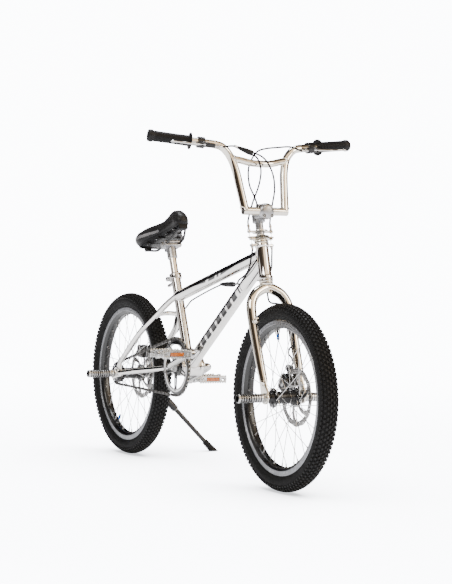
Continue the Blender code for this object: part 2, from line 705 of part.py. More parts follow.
def make_stem_cap():
    """The domed front half of the bar clamp."""
    dome = box(BAR_CENTRE + Vector((0.0098, 0, 0)), (0.0180, 0.042, 0.040), None, 0.0045)
    dome = cut(dome, bore(BAR_CENTRE - Y_AXIS * 0.05, BAR_CENTRE + Y_AXIS * 0.05, BAR_R, 16))
    cutters = [rod(BAR_CENTRE + Vector((0.006, y, z)), BAR_CENTRE + Vector((0.03, y, z)), 0.0040, 10)
               for y in (-0.0125, 0.0125) for z in (-0.0145,)]
    return cut(dome, *cutters)


def make_handlebar():
    base = rod(BAR_CENTRE - Y_AXIS * 0.069, BAR_CENTRE + Y_AXIS * 0.069, BAR_R, 12)
    pieces = [base]
    for side in (-1, 1):
        route = smooth_route([side_y(p, side) for p in BAR_ROUTE], 2)
        pieces.append(tube(route, BAR_R, 10))
    far_half = [side_y(p, 1) for p in reversed(CROSS_ROUTE[:-1])]
    cross = smooth_route([side_y(p, -1) for p in CROSS_ROUTE] + far_half, 1)
    pieces.append(tube(cross, 0.0095, 8))
    return joined(*pieces)


BAR_ROUTE = [(0.846, 0.0620, 0.7570), (0.829, 0.0685, 0.812), (0.8135, 0.0755, 0.8640),
             (0.8030, 0.0880, 0.9020), (0.7990, 0.1100, 0.9270), (0.7958, 0.1340, 0.9347),
             (0.7926, 0.1490, 0.9362), (0.7558, 0.3120, 0.9530)]
CROSS_ROUTE = [(0.8060, 0.0860, 0.8980), (0.8120, 0.0600, 0.8935), (0.8190, 0.0300, 0.8870),
               (0.8215, 0.0, 0.8855)]
GRIP_INNER = 0.200
GRIP_OUTER = 0.316


def bar_at(y, side=1):
    """The bar's centre and outward direction at a distance y from the middle, on the grip's straight."""
    a, b = Vector(BAR_ROUTE[-2]), Vector(BAR_ROUTE[-1])
    t = (y - a.y) / (b.y - a.y)
    along = (b - a).normalized()
    return side_y(a.lerp(b, t), side), side_y(along, side)


def make_grip(side):
    start, along = bar_at(GRIP_INNER, side)
    end, _ = bar_at(GRIP_OUTER, side)
    length = (end - start).length
    inner = clear(BAR_R, 14)
    profile = [(length - 0.0035, 0), (length - 0.0035, inner), (0, inner), (0, 0.0225), (0.003, 0.0230),
               (0.004, 0.0150), (0.020, 0.0138), (length - 0.022, 0.0142), (length - 0.010, 0.0165),
               (length - 0.002, 0.0165), (length, 0.0150), (length, 0)]
    return turned(profile, start, along, 14)


def lever_frame(side, y):
    centre, along = bar_at(y, side)
    ahead = Vector((math.cos(LEVER_DROP), 0, -math.sin(LEVER_DROP)))
    ahead = (ahead - along * ahead.dot(along)).normalized()
    return centre, along, ahead, along.cross(ahead) * side


LEVER_DROP = math.radians(14)
LEVER_Y = 0.172
LEVER_PIVOT = 0.026


def lever_pivot(side):
    centre, _, ahead, _ = lever_frame(side, LEVER_Y - 0.004)
    return centre + ahead * LEVER_PIVOT


def make_lever_body(side):
    """The clamp round the bar and the housing that holds the blade and the cable."""
    centre, along, ahead, up = lever_frame(side, LEVER_Y)
    turn = Matrix((along, ahead, along.cross(ahead))).transposed()
    ring = rod(centre - along * 0.010, centre + along * 0.010, 0.0158, 16)
    arm = box(centre + ahead * 0.021 - along * 0.004, (0.026, 0.022, 0.012), turn)
    nose = box(centre + ahead * 0.027 - along * 0.020, (0.026, 0.012, 0.011), turn)
    body = joined(ring, arm, nose, make_lever_adjuster(side))
    pivot = lever_pivot(side)
    slot = box(pivot + along * 0.012 + ahead * 0.004, (0.042, 0.026, 0.0064), turn)
    hole = rod(centre - along * 0.03, centre + along * 0.03, clear(BAR_R + 0.0004, 16), 16)
    pin = bore(pivot - up * 0.02, pivot + up * 0.02, 0.0022, 8)
    return cut(body, slot, hole, pin)


def make_lever_blade(side):
    """The blade: an eye on the pivot and a curved two-finger lever."""
    _, along, ahead, up = lever_frame(side, LEVER_Y)
    pivot = lever_pivot(side)
    eye = rod(pivot - up * 0.0026, pivot + up * 0.0026, 0.0068, 12)
    route = smooth_route([pivot + along * 0.002, pivot + along * 0.020 + ahead * 0.010,
                          pivot + along * 0.045 + ahead * 0.019, pivot + along * 0.070 + ahead * 0.020,
                          pivot + along * 0.092 + ahead * 0.024], 2)
    blade = tube(route, 0.0048, 8)
    tip = ball(route[-1], (0.0062, 0.0062, 0.0052))
    flat = Matrix((along, ahead, along.cross(ahead))).transposed().to_4x4()
    squash = Matrix.Translation(pivot) @ flat @ Matrix.Diagonal((1, 1, 0.52, 1)) @ flat.inverted() \
        @ Matrix.Translation(-pivot)
    blade.data.transform(squash)
    whole = joined(eye, blade, tip)
    return cut(whole, bore(pivot - up * 0.02, pivot + up * 0.02, 0.0022, 8))


# Gyro, cables and brakes

TOP_PLATE = 0.0335
UPPER_RING = 0.0170
LOWER_RING = 0.0120
EAR_Y = 0.0345
CABLE_R = 0.0025


def make_adjusters(obj, along, down):
    """Barrel adjusters on a plate's two ears."""
    for side in (-1, 1):
        foot = steer(along, 0, side * EAR_Y)
        obj = joined(obj, turned([(0, 0), (0, 0.0042), (0.004, 0.0042), (0.005, 0.0030), (down, 0.0030),
                                  (down, 0)], foot, STEER_AXIS, 10))
    return obj


def make_top_plate():
    plate_obj = ear_plate(TOP_PLATE, 0.003, 0.0215, EAR_Y, STEERER_R + 0.0007, 0)
    return make_adjusters(plate_obj, TOP_PLATE + 0.0025, 0.014)


def make_gyro_rings():
    upper = ear_plate(UPPER_RING, 0.0035, 0.0225, EAR_Y, STEERER_R + 0.0009, 0.0018)
    lower = ear_plate(LOWER_RING, 0.0035, 0.0225, STOP_Y, STEERER_R + 0.0009, 0.0018)
    return upper, lower


def make_splitter(start, end):
    """The rubber boot where one cable becomes two."""
    start, end = Vector(start), Vector(end)
    length = (end - start).length
    return turned([(0, 0), (0, 0.0042), (length * 0.25, 0.0050), (length * 0.55, 0.0072), (length, 0.0078),
                   (length, 0)], start, end - start, 12)


def lever_cable_exit(side):
    centre, along, ahead, _ = lever_frame(side, LEVER_Y)
    return centre + ahead * 0.027 - along * 0.0335, -along


def make_lever_adjuster(side):
    start, out = lever_cable_exit(side)
    return turned([(-0.004, 0), (-0.004, 0.0032), (0, 0.0032), (0.002, 0.0048), (0.008, 0.0048),
                   (0.009, 0.0032), (0.012, 0.0032), (0.012, 0)], start, out, 10)


UPPER_SPLIT = ((0.8400, -0.0840, 0.9265), (0.8405, -0.0400, 0.9125))
LOWER_SPLIT = ((0.5990, 0.0, 0.5500), (0.6740, 0.0, 0.5515))


def cable_routes():
    """Every cable along its route, each ending just short of what it plugs into."""
    left_start, left_out = lever_cable_exit(1)
    right_start, right_out = lever_cable_exit(-1)
    front_in = [left_start + left_out * 0.0132, left_start + left_out * 0.022, (0.8400, 0.0800, 0.9350),
                (0.8440, 0.0400, 0.9320), (0.8400, 0.0011, 0.9270), (0.8250, -0.0160, 0.9190),
                (0.8070, -0.0230, 0.8990), (0.7960, -0.0270, 0.8700), (0.7900, -0.0200, 0.8300),
                (0.7905, -0.0060, 0.8010), steer(0.118), steer(0.095), steer(0.040), steer(-0.020),
                steer(-0.090), steer(-0.150), steer(-0.166, 0.003, 0.004), steer(-0.172, 0.0130, 0.018),
                steer(-0.178, 0.022, 0.036), steer(-0.196, 0.024, 0.048), steer(-0.240, 0.026, 0.050),
                steer(-0.285, 0.0275, 0.0480), steer(-0.297, 0.0145, 0.0405), steer(-0.307, -0.0025, 0.0440),
                steer(-0.318, -0.0095, 0.0560), FRONT_CABLE_END + caliper_turn(FRONT_CALIPER).col[0] * 0.012,
                FRONT_CABLE_END]
    right = [right_start + right_out * 0.0132, right_start + right_out * 0.022, (0.8370, -0.1000, 0.9300),
             Vector(UPPER_SPLIT[0]) + Vector((0, 0.0050, -0.0015))]
    upper_a = [Vector(UPPER_SPLIT[1]) + Vector((0, -0.0060, -0.0020)), (0.8430, -0.0260, 0.9000),
               (0.8450, -0.0150, 0.8680), (0.8410, -0.0180, 0.8270), (0.8300, -0.0300, 0.7800),
               (0.8200, -0.0355, 0.7420), steer(0.062, 0, -EAR_Y), steer(TOP_PLATE + 0.0172, 0, -EAR_Y)]
    upper_b = [Vector(UPPER_SPLIT[1]) + Vector((0, -0.0060, 0.0045)), (0.8470, -0.0150, 0.9050),
               (0.8510, 0.0040, 0.8860), (0.8540, 0.0190, 0.8530), (0.8530, 0.0245, 0.8145),
               (0.8380, 0.0275, 0.7790), (0.8250, 0.0310, 0.7540), steer(0.062, 0, EAR_Y),
               steer(TOP_PLATE + 0.0172, 0, EAR_Y)]
    lower_a = [steer(-0.0075, 0, -STOP_Y), steer(-0.016, 0, -STOP_Y), (0.8300, -0.0320, 0.6273),
               (0.8215, -0.0310, 0.6053), (0.7950, -0.0275, 0.5830), (0.7500, -0.0240, 0.5660),
               (0.7100, -0.0095, 0.5545), Vector(LOWER_SPLIT[1]) + Vector((-0.0050, -0.0034, 0))]
    lower_b = [steer(-0.0075, 0, STOP_Y), steer(-0.016, 0, STOP_Y), (0.8300, 0.0330, 0.6273),
               (0.8290, 0.0330, 0.6000), (0.8120, 0.0310, 0.5790), (0.7750, 0.0275, 0.5670),
               (0.7350, 0.0205, 0.5600), (0.7050, 0.0095, 0.5545),
               Vector(LOWER_SPLIT[1]) + Vector((-0.0050, 0.0034, 0))]
    rear = [Vector(LOWER_SPLIT[0]) + Vector((0.0050, 0, 0)), (0.5500, 0.0010, 0.5375),
            (0.4966, 0.0020, 0.5235), (0.4200, 0.0080, 0.5040), (0.3720, 0.0180, 0.4930),
            (0.3300, 0.0250, 0.4740), (0.2900, 0.0375, 0.4640), (0.2400, 0.0560, 0.4320),
            (0.1900, 0.0700, 0.3990), (0.1350, 0.0700, 0.3740), (0.0900, 0.0655, 0.3560),
            REAR_CABLE_END + caliper_turn(REAR_CALIPER).col[0] * 0.012, REAR_CABLE_END]
    return front_in, (right, upper_a, upper_b), (lower_a, lower_b, rear)


def make_cable(*routes):
    return [tube(smooth_route(route, 2), CABLE_R, 5) for route in routes]


def caliper_spot(hub, angle):
    """The middle of a caliper that grips a rotor at an angle from straight up towards the front."""
    return hub + wheel_direction(angle) * CALIPER_REACH


def caliper_turn(angle):
    out = wheel_direction(angle)
    return Matrix((Y_AXIS.cross(out), Y_AXIS, out)).transposed()


def make_caliper(hub, angle, outer_y):
    """A mechanical disc brake's body: slotted for the rotor, with a drum for the arm and a cable stop."""
    turn = caliper_turn(angle)
    along, _, out = turn.col
    middle = caliper_spot(hub, angle)
    inner_y = 0.0285
    body = box(middle + Y_AXIS * (inner_y + outer_y) / 2, (0.044, outer_y - inner_y, 0.036), turn, 0.003)
    drum = rod(middle + Y_AXIS * (outer_y - 0.004), middle + Y_AXIS * (ARM_Y - 0.0004), 0.0135, 14)
    root = box(middle + along * 0.0205 + out * 0.0145 + Y_AXIS * (outer_y - 0.004), (0.013, 0.010, 0.008),
               turn)
    stop = box(middle + along * 0.0280 + out * 0.0270 + Y_AXIS * (outer_y + 0.003), (0.009, 0.022, 0.022),
               turn)
    slot = box(middle + Y_AXIS * ROTOR_Y - out * 0.006, (0.06, 0.0046, 0.038), turn)
    return cut(joined(body, drum, root, stop), slot)


FRONT_CALIPER = -60
REAR_CALIPER = 4
ARM_Y = 0.0625
CALIPER_REACH = 0.069


def make_caliper_arm(hub, angle):
    """The arm that the cable pulls, on the caliper's outer face."""
    turn = caliper_turn(angle)
    _, _, out = turn.col
    middle = caliper_spot(hub, angle) + Y_AXIS * ARM_Y
    eye = rod(middle, middle + Y_AXIS * 0.0042, 0.0090, 14)
    arm = box(middle + out * 0.016 + Y_AXIS * 0.0021, (0.009, 0.003, 0.030), turn)
    tip = rod(middle + out * 0.032 + Y_AXIS * 0.0002, middle + out * 0.032 + Y_AXIS * 0.0048, 0.0060, 10)
    return joined(eye, arm, tip)


def cable_end(hub, angle):
    """Where a brake cable meets its caliper's stop."""
    along, _, out = caliper_turn(angle).col
    return caliper_spot(hub, angle) + along * 0.0330 + out * 0.0320 + Y_AXIS * (ARM_Y + 0.0020)


FRONT_CABLE_END = cable_end(FRONT_HUB, FRONT_CALIPER)
REAR_CABLE_END = cable_end(REAR_HUB, REAR_CALIPER)


# Seat

SADDLE_TILT = math.radians(22)
RAIL_CLAMP = Vector((0.2705, 0, 0.6610))
SADDLE_ALONG = Vector((math.cos(SADDLE_TILT), 0, math.sin(SADDLE_TILT)))
SADDLE_UP = Vector((-math.sin(SADDLE_TILT), 0, math.cos(SADDLE_TILT)))


def saddle(along, across, up):
    return RAIL_CLAMP + SADDLE_ALONG * along + Y_AXIS * across + SADDLE_UP * up


def saddle_turn():
    return Matrix((SADDLE_ALONG, Y_AXIS, SADDLE_UP)).transposed()


def make_saddle_rails():
    half = [(-0.088, 0.034, 0.0165), (-0.076, 0.030, 0.010), (-0.052, 0.0225, 0.001), (-0.030, 0.0215, 0),
            (0.030, 0.0215, 0), (0.052, 0.0190, 0.004), (0.074, 0.0140, 0.014), (0.088, 0.0080, 0.0195)]
    route = [saddle(u, v, w) for u, v, w in half] + [saddle(0.090, 0, 0.0200)] \
        + [saddle(u, -v, w) for u, v, w in reversed(half)]
    return tube(smooth_route(route, 2), 0.0035, 6)


def make_saddle_clamp():
    """The post's head: two jaws that hold the rails, on a collar around the post."""
    collar = rod(seat(0.3420), seat(0.3790), 0.0150, 14)
    block = box(saddle(0, 0, 0), (0.034, 0.056, 0.017), saddle_turn(), 0.002)
    clamp = joined(collar, block)
    cutters = [rod(saddle(-0.05, y, 0), saddle(0.05, y, 0), clear(0.0036, 8), 8) for y in (-0.0215, 0.0215)]
    cutters.append(bore(seat(0.30), seat(0.3650), POST_R, 16))
    return cut(clamp, *cutters)


def loft(sections):
    """A closed skin through rings of points, the same number in each."""
    bm = bmesh.new()
    rings = [[bm.verts.new(p) for p in ring] for ring in sections]
    for a, b in zip(rings, rings[1:]):
        for n in range(len(a)):
            m = (n + 1) % len(a)
            bm.faces.new((a[n], a[m], b[m], b[n]))
    bm.faces.new(rings[0])
    bm.faces.new(rings[-1])
    bmesh.ops.recalc_face_normals(bm, faces=bm.faces)
    return as_object(bm)


# Along the saddle from tail to nose: place, half width, underside, edge of the top, middle of the top.
SADDLE_STATIONS = [(-0.118, 0.030, 0.046, 0.056, 0.062), (-0.108, 0.060, 0.038, 0.064, 0.072),
                   (-0.088, 0.077, 0.034, 0.066, 0.077), (-0.060, 0.080, 0.034, 0.064, 0.076),
                   (-0.030, 0.066, 0.036, 0.061, 0.073), (0.000, 0.046, 0.037, 0.060, 0.072),
                   (0.030, 0.034, 0.037, 0.062, 0.075), (0.060, 0.029, 0.036, 0.066, 0.081),
                   (0.085, 0.0265, 0.034, 0.064, 0.078), (0.100, 0.022, 0.034, 0.054, 0.066),
                   (0.108, 0.014, 0.038, 0.046, 0.054)]


def make_saddle_pad():
    sections = []
    for u, half, low, edge, top in SADDLE_STATIONS:
        right = [(0, low), (half * 0.75, low), (half, low + 0.006), (half, edge),
                 (half * 0.72, top - 0.003)]
        ring = [*right, (0, top), *[(-v, w) for v, w in reversed(right[1:])]]
        sections.append([saddle(u, v, w) for v, w in ring])
    return loft(sections)


def make_saddle_base():
    """The plastic shell under the pad, with sockets for the rails."""
    sections = []
    for u, half, low, _, _ in SADDLE_STATIONS[1:-1]:
        half, top = half - 0.003, low - GAP
        ring = [(0, top - 0.006), (half * 0.9, top - 0.006), (half, top), (0, top), (-half, top),
                (-half * 0.9, top - 0.006)]
        sections.append([saddle(u, v, w) for v, w in ring])
    base = loft(sections)
    rear = [box(saddle(-0.088, s * 0.034, 0.024), (0.018, 0.016, 0.018), saddle_turn(), 0.001)
            for s in (-1, 1)]
    nose = box(saddle(0.088, 0, 0.024), (0.018, 0.030, 0.018), saddle_turn(), 0.001)
    base = joined(base, *rear, nose)
    half = [(-0.100, 0.0405, 0.024), (-0.088, 0.034, 0.0165), (-0.076, 0.030, 0.010)]
    cutters = [tube([saddle(u, s * v, w) for u, v, w in half], clear(0.0040, 8), 8) for s in (-1, 1)]
    nose_route = [(0.064, 0.0170, 0.010), (0.074, 0.0140, 0.014), (0.088, 0.0080, 0.0195)]
    route = smooth_route([saddle(u, v, w) for u, v, w in nose_route] + [saddle(0.090, 0, 0.0200)]
                         + [saddle(u, -v, w) for u, v, w in reversed(nose_route)], 2)
    cutters.append(tube(route, clear(0.0040, 8), 8))
    return cut(base, *cutters)


def make_seat_lever():
    """The quick release: skewer, end nut and curved lever as one turning piece."""
    start = seat(QR_ALONG, -0.0235, 0)
    skewer = rod(start - Y_AXIS * 0.0190, start + Y_AXIS * 0.0190, 0.0025, 10)
    cam = rod(start + Y_AXIS * 0.0106, start + Y_AXIS * 0.0200, 0.0080, 16)
    nut = rod(start - Y_AXIS * 0.0190, start - Y_AXIS * 0.0106, 0.0070, 8)
    back = -Y_AXIS.cross(SEAT_AXIS)
    route = smooth_route([start + Y_AXIS * 0.0165, start + Y_AXIS * 0.0180 + back * 0.016 - SEAT_AXIS * 0.001,
                          start + Y_AXIS * 0.0150 + back * 0.036 - SEAT_AXIS * 0.003,
                          start + Y_AXIS * 0.0080 + back * 0.050 - SEAT_AXIS * 0.004], 3)
    return joined(skewer, cam, nut, tube(route, 0.0042, 10))


# Stand

KICK_AXIS = Vector((0, 0.85, 0.53)).normalized()
KICK_PIVOT = Vector((0.012, 0.080, 0.212))


def make_kick_bracket():
    outline = [*arc((0, WHEEL_R), 0.0140, 0, 180, 8), (-0.008, 0.225),
               *arc((0.010, 0.2010), 0.0120, 180, 360, 8), (0.022, 0.225)]
    bracket = side_plate(outline, REAR_HALF_GAP + 0.0068, REAR_HALF_GAP + 0.0098)
    boss = rod(KICK_PIVOT - KICK_AXIS * 0.0185, KICK_PIVOT - KICK_AXIS * 0.0078, 0.0100, 16)
    pin = rod(KICK_PIVOT - KICK_AXIS * 0.0150, KICK_PIVOT + KICK_AXIS * 0.0120, 0.0042, 12)
    head = rod(KICK_PIVOT + KICK_AXIS * 0.0096, KICK_PIVOT + KICK_AXIS * 0.0128, 0.0080, 12)
    inner = box(KICK_PIVOT + Vector((0, -0.0222 - 0.01, -0.012)), (0.05, 0.02, 0.06))
    boss = cut(boss, inner)
    bracket = joined(bracket, boss, pin, head)
    hole = bore(REAR_HUB + Y_AXIS * 0.05, REAR_HUB + Y_AXIS * 0.08, AXLE_R)
    return cut(bracket, hole)


def kick_foot():
    """The middle of the foot's sole, which is on the ground once the bike leans."""
    ground = Vector((FOOT_X, FOOT_Y, FLOOR))
    return Matrix.Rotation(LEAN, 3, "X") @ ground


FOOT_X = 0.072
FOOT_Y = 0.262


def kick_line():
    """The leg's straight line from its pivot to the middle of the sole."""
    sole = kick_foot()
    return sole, (sole - KICK_PIVOT).normalized()


def make_kick_leg():
    sole, down = kick_line()
    eye = rod(KICK_PIVOT - KICK_AXIS * 0.0072, KICK_PIVOT + KICK_AXIS * 0.0072, 0.0120, 16)
    leg = rod(KICK_PIVOT + down * 0.007, sole - down * 0.018, 0.0068, 12)
    whole = joined(eye, leg)
    return cut(whole, bore(KICK_PIVOT - KICK_AXIS * 0.03, KICK_PIVOT + KICK_AXIS * 0.03, 0.0042))


def make_kick_foot():
    """A rubber cap on the leg's end, with a flat sole that lies on the ground."""
    sole, down = kick_line()
    cap = turned([(0, 0), (0, 0.0095), (0.020, 0.0115), (0.060, 0.0115), (0.060, 0)],
                 sole - down * 0.042, down, 16)
    ground = Matrix.Rotation(LEAN, 3, "X")
    below = box(sole - ground @ Z_AXIS * 0.03, (0.1, 0.1, 0.06), ground)
    hollow = bore(sole - down * 0.06, sole - down * (0.018 - GAP), 0.0068)
    return cut(cap, below, hollow)


# Assembly

def main():
    global PARTS
    clear_scene()
    PARTS = new_collection("bmx_bike")

    steel = material("chrome", (0.82, 0.82, 0.80), 0.12, 1.0)
    satin = material("satin_alloy", (0.72, 0.72, 0.72), 0.35, 1.0)
    black_metal = material("black_metal", (0.03, 0.03, 0.035), 0.4, 0.6)
    rubber = material("rubber", (0.03, 0.03, 0.03), 0.75, 0.0)
    plastic = material("black_plastic", (0.04, 0.04, 0.045), 0.45, 0.0)
    cover = material("saddle_cover", (0.05, 0.05, 0.055), 0.6, 0.0)
    dark_steel = material("chain_steel", (0.16, 0.15, 0.14), 0.45, 0.9)

    root = new_pivot("bmx_bike_stance", (0, 0, 0))
    steering = new_pivot("steering_axis", HEAD_BOTTOM, root)
    pivots = {"frame": root, "steering": steering,
              "front_wheel": new_pivot("front_wheel_axis", FRONT_HUB, steering),
              "rear_wheel": new_pivot("rear_wheel_axis", REAR_HUB, root),
              "freewheel": new_pivot("freewheel_axis", REAR_HUB + Y_AXIS * CHAIN_Y, root),
              "crank": new_pivot("crank_axis", BB, root),
              "seat": new_pivot("seat_post_axis", seat(SEAT_TUBE_TOP), root),
              "seat_lever": new_pivot("seat_lever_axis", seat(QR_ALONG, -0.0235), root),
              "kickstand": new_pivot("kickstand_axis", KICK_PIVOT, root),
              "upper_ring": new_pivot("upper_ring_axis", steer(UPPER_RING), steering),
              "lower_ring": new_pivot("lower_ring_axis", steer(LOWER_RING), root),
              "front_arm": new_pivot("front_arm_axis", caliper_spot(FRONT_HUB, FRONT_CALIPER), steering),
              "rear_arm": new_pivot("rear_arm_axis", caliper_spot(REAR_HUB, REAR_CALIPER), root)}
    for side, hand in ((-1, "right"), (1, "left")):
        pivots[f"{hand}_pedal"] = new_pivot(f"{hand}_pedal_axis", pedal_axis_point(side), pivots["crank"])
        pivots[f"{hand}_lever"] = new_pivot(f"{hand}_lever_axis", lever_pivot(side), steering)

    def add(name, obj, mat, body):
        keep(obj, name, mat, pivots[body])

    add("frame", make_frame(), steel, "frame")
    upper, lower = make_headset()
    add("upper_headset_cup", upper, steel, "frame")
    add("lower_headset_cup", lower, steel, "frame")
    add("seat_collar", make_seat_collar(), satin, "frame")
    add("chain", make_chain(), dark_steel, "frame")
    add("rear_axle", make_axle(REAR_HUB, 0.0900, ((-0.0712, -0.0618), (0.0651, 0.0712))), steel, "frame")
    add("rear_caliper", make_caliper(REAR_HUB, REAR_CALIPER, REAR_HALF_GAP + 0.0002), black_metal, "frame")
    add("kickstand_bracket", make_kick_bracket(), black_metal, "frame")
    for side, hand in ((-1, "right"), (1, "left")):
        add(f"bottom_bracket_cup_{hand}", make_bottom_cup(side), satin, "frame")

    add("crank", make_crank(), satin, "crank")
    add("chainring", make_chainring(), black_metal, "crank")
    add("freewheel", make_freewheel(), dark_steel, "freewheel")
    for side, hand in ((-1, "right"), (1, "left")):
        add(f"pedal_{hand}", make_pedal(side), satin, f"{hand}_pedal")

    for wheel, hub, angle, flange_r in (("front", FRONT_HUB, -13, 0.026), ("rear", REAR_HUB, 208, 0.026)):
        body = f"{wheel}_wheel"
        reach = 0.0535 if wheel == "front" else 0.0548
        add(f"{wheel}_tyre", make_tyre(hub), rubber, body)
        add(f"{wheel}_inner_tube", make_inner_tube(hub, angle), rubber, body)
        add(f"{wheel}_rim", make_rim(hub, angle), black_metal, body)
        add(f"{wheel}_spokes", make_spokes(hub, 0.033, flange_r, angle), steel, body)
        add(f"{wheel}_hub", make_hub(hub, 0.033, flange_r, reach, reach), black_metal, body)
        add(f"{wheel}_rotor", make_rotor(hub), satin, body)

    add("fork", make_fork(), steel, "steering")
    add("headset_locknut", make_locknut(), steel, "steering")
    add("stem", make_stem(), satin, "steering")
    add("stem_cap", make_stem_cap(), satin, "steering")
    add("handlebar", make_handlebar(), steel, "steering")
    add("front_axle", make_axle(FRONT_HUB, 0.0880, ((-0.0668, -0.0608), (0.0608, 0.0668))), steel, "steering")
    add("front_caliper", make_caliper(FRONT_HUB, FRONT_CALIPER, FORK_HALF_GAP + 0.0046), black_metal,
        "steering")
    add("gyro_top_plate", make_top_plate(), satin, "steering")
    upper, lower = make_gyro_rings()
    add("gyro_upper_ring", upper, satin, "upper_ring")
    add("gyro_lower_ring", lower, satin, "lower_ring")
    add("front_caliper_arm", make_caliper_arm(FRONT_HUB, FRONT_CALIPER), black_metal, "front_arm")
    add("rear_caliper_arm", make_caliper_arm(REAR_HUB, REAR_CALIPER), black_metal, "rear_arm")
    for side, hand in ((-1, "right"), (1, "left")):
        add(f"grip_{hand}", make_grip(side), rubber, "steering")
        add(f"brake_lever_body_{hand}", make_lever_body(side), black_metal, "steering")
        add(f"brake_lever_blade_{hand}", make_lever_blade(side), satin, f"{hand}_lever")
        add(f"front_peg_{hand}", make_peg(FRONT_HUB, side, 0.0672, 0.142), steel, "steering")
        add(f"rear_peg_{hand}", make_peg(REAR_HUB, side, 0.0716, 0.147), steel, "frame")
    front, upper, lower = cable_routes()
    add("front_brake_cable", make_cable(front)[0], plastic, "steering")
    add("gyro_upper_cable", joined(make_splitter(*UPPER_SPLIT), *make_cable(*upper)), plastic, "steering")
    add("rear_brake_cable", joined(make_splitter(*LOWER_SPLIT), *make_cable(*lower)), plastic, "frame")

    add("seat_post", rod(seat(0.115), seat(0.3645), POST_R, 16), steel, "seat")
    add("saddle_clamp", make_saddle_clamp(), satin, "seat")
    add("saddle_rails", make_saddle_rails(), black_metal, "seat")
    add("saddle_base", make_saddle_base(), plastic, "seat")
    add("saddle_pad", make_saddle_pad(), cover, "seat")
    add("seat_quick_release", make_seat_lever(), satin, "seat_lever")
    add("kickstand_leg", make_kick_leg(), black_metal, "kickstand")
    add("kickstand_foot", make_kick_foot(), rubber, "kickstand")

    root.rotation_euler = (-LEAN, 0, 0)
    bpy.context.view_layer.update()
    meshes = [obj for obj in PARTS.objects if obj.type == "MESH"]
    corners = [obj.matrix_world @ v.co for obj in meshes for v in obj.data.vertices]
    low = [min(c[n] for c in corners) for n in range(3)]
    high = [max(c[n] for c in corners) for n in range(3)]
    root.location = (-(low[0] + high[0]) / 2, -(low[1] + high[1]) / 2, -low[2])


HOMES = {}
PARTS = None
main()
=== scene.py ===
import json
import math

import bpy
import bmesh
from mathutils import Matrix, Vector


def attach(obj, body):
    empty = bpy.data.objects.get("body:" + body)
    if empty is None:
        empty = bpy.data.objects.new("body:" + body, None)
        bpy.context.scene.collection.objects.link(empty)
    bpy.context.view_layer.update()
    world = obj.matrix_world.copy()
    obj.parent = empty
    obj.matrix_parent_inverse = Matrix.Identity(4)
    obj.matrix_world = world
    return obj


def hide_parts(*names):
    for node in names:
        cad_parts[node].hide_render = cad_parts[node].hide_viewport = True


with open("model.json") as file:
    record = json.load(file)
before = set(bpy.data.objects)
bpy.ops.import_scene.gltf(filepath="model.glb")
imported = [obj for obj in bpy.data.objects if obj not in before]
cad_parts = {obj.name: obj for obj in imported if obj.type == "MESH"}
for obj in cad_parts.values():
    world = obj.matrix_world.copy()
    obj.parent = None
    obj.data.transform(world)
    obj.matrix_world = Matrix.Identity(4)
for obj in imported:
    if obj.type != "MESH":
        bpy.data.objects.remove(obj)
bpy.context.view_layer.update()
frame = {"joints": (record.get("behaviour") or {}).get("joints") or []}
SPOT = {joint["name"]: Vector(joint["pos_m"]) for joint in frame["joints"] if "pos_m" in joint}

# Lengths are in metres. The bike's own axes: x ahead from the rear hub, y to the left, z up from the
# floor. STANCE leans them on the stand.

LEAN = math.radians(1.24)
WHEEL_R, WHEELBASE = 0.255, 0.9685
TREAD_R = 0.2531
FRONT_HUB, REAR_HUB = Vector((WHEELBASE, 0, WHEEL_R)), Vector((0, 0, WHEEL_R))
TURN = Matrix.Rotation(-LEAN, 4, "X")
STANCE = Matrix.Translation(SPOT["rear_wheel_spin"] - TURN @ REAR_HUB) @ TURN
HEAD_TOP, HEAD_BOTTOM = Vector((0.83, 0, 0.666)), Vector((0.858, 0, 0.569))
STEER_AXIS = (HEAD_TOP - HEAD_BOTTOM).normalized()
BB = Vector((0.409, 0, 0.302))
SEAT_ANGLE = math.radians(68.4)
SEAT_AXIS = Vector((-math.cos(SEAT_ANGLE), 0, math.sin(SEAT_ANGLE)))
X, Y, Z = Vector((1, 0, 0)), Vector((0, 1, 0)), Vector((0, 0, 1))
FORWARD = Y.cross(STEER_AXIS).normalized()
BACK = -Y.cross(SEAT_AXIS).normalized()
BAR_R, AXLE_R = 0.0111, 0.007
BAR_CENTRE = Vector((0.846, 0, 0.7555))
# Each side's sign along y, and its name.
SIDES = ((-1, "right"), (1, "left"))


def steer(along, ahead=0.0, across=0.0):
    return HEAD_TOP + STEER_AXIS * along + FORWARD * ahead + Y * across


def seat(along, ahead=0.0, across=0.0):
    return BB + SEAT_AXIS * along - BACK * ahead + Y * across


def wheel_direction(angle):
    return Vector((math.sin(math.radians(angle)), 0, math.cos(math.radians(angle))))


def side_y(point, side):
    return Vector((point[0], point[1] * side, point[2]))


def axes(first, second):
    """A turn whose first two columns are the given directions."""
    first = Vector(first).normalized()
    third = first.cross(Vector(second)).normalized()
    return Matrix((first, third.cross(first), third)).transposed()


def aim(direction):
    return Vector(direction).to_track_quat("Z", "Y").to_matrix()


def columns(first, second, third):
    """A turn with the given directions as its columns."""
    return Matrix((first, second, third)).transposed().to_4x4()


def around(centre, first, second, radius, steps):
    """Points on a circle about centre, in the plane of two directions."""
    return [centre + (first * math.cos(a) + second * math.sin(a)) * radius
            for a in (2 * math.pi * n / steps for n in range(steps))]


def hoop(centre, radius, y, steps):
    """Points on a circle about an axis along y, at y from centre."""
    return [centre + Vector((radius * math.cos(t), y, radius * math.sin(t)))
            for t in (2 * math.pi * n / steps for n in range(steps))]


def heading(route, n):
    """The direction of a route at its point n."""
    return (route[min(n + 1, len(route) - 1)] - route[max(n - 1, 0)]).normalized()


def swell(value, power):
    """A value raised to a power, with its sign kept."""
    return math.copysign(abs(value) ** power, value)


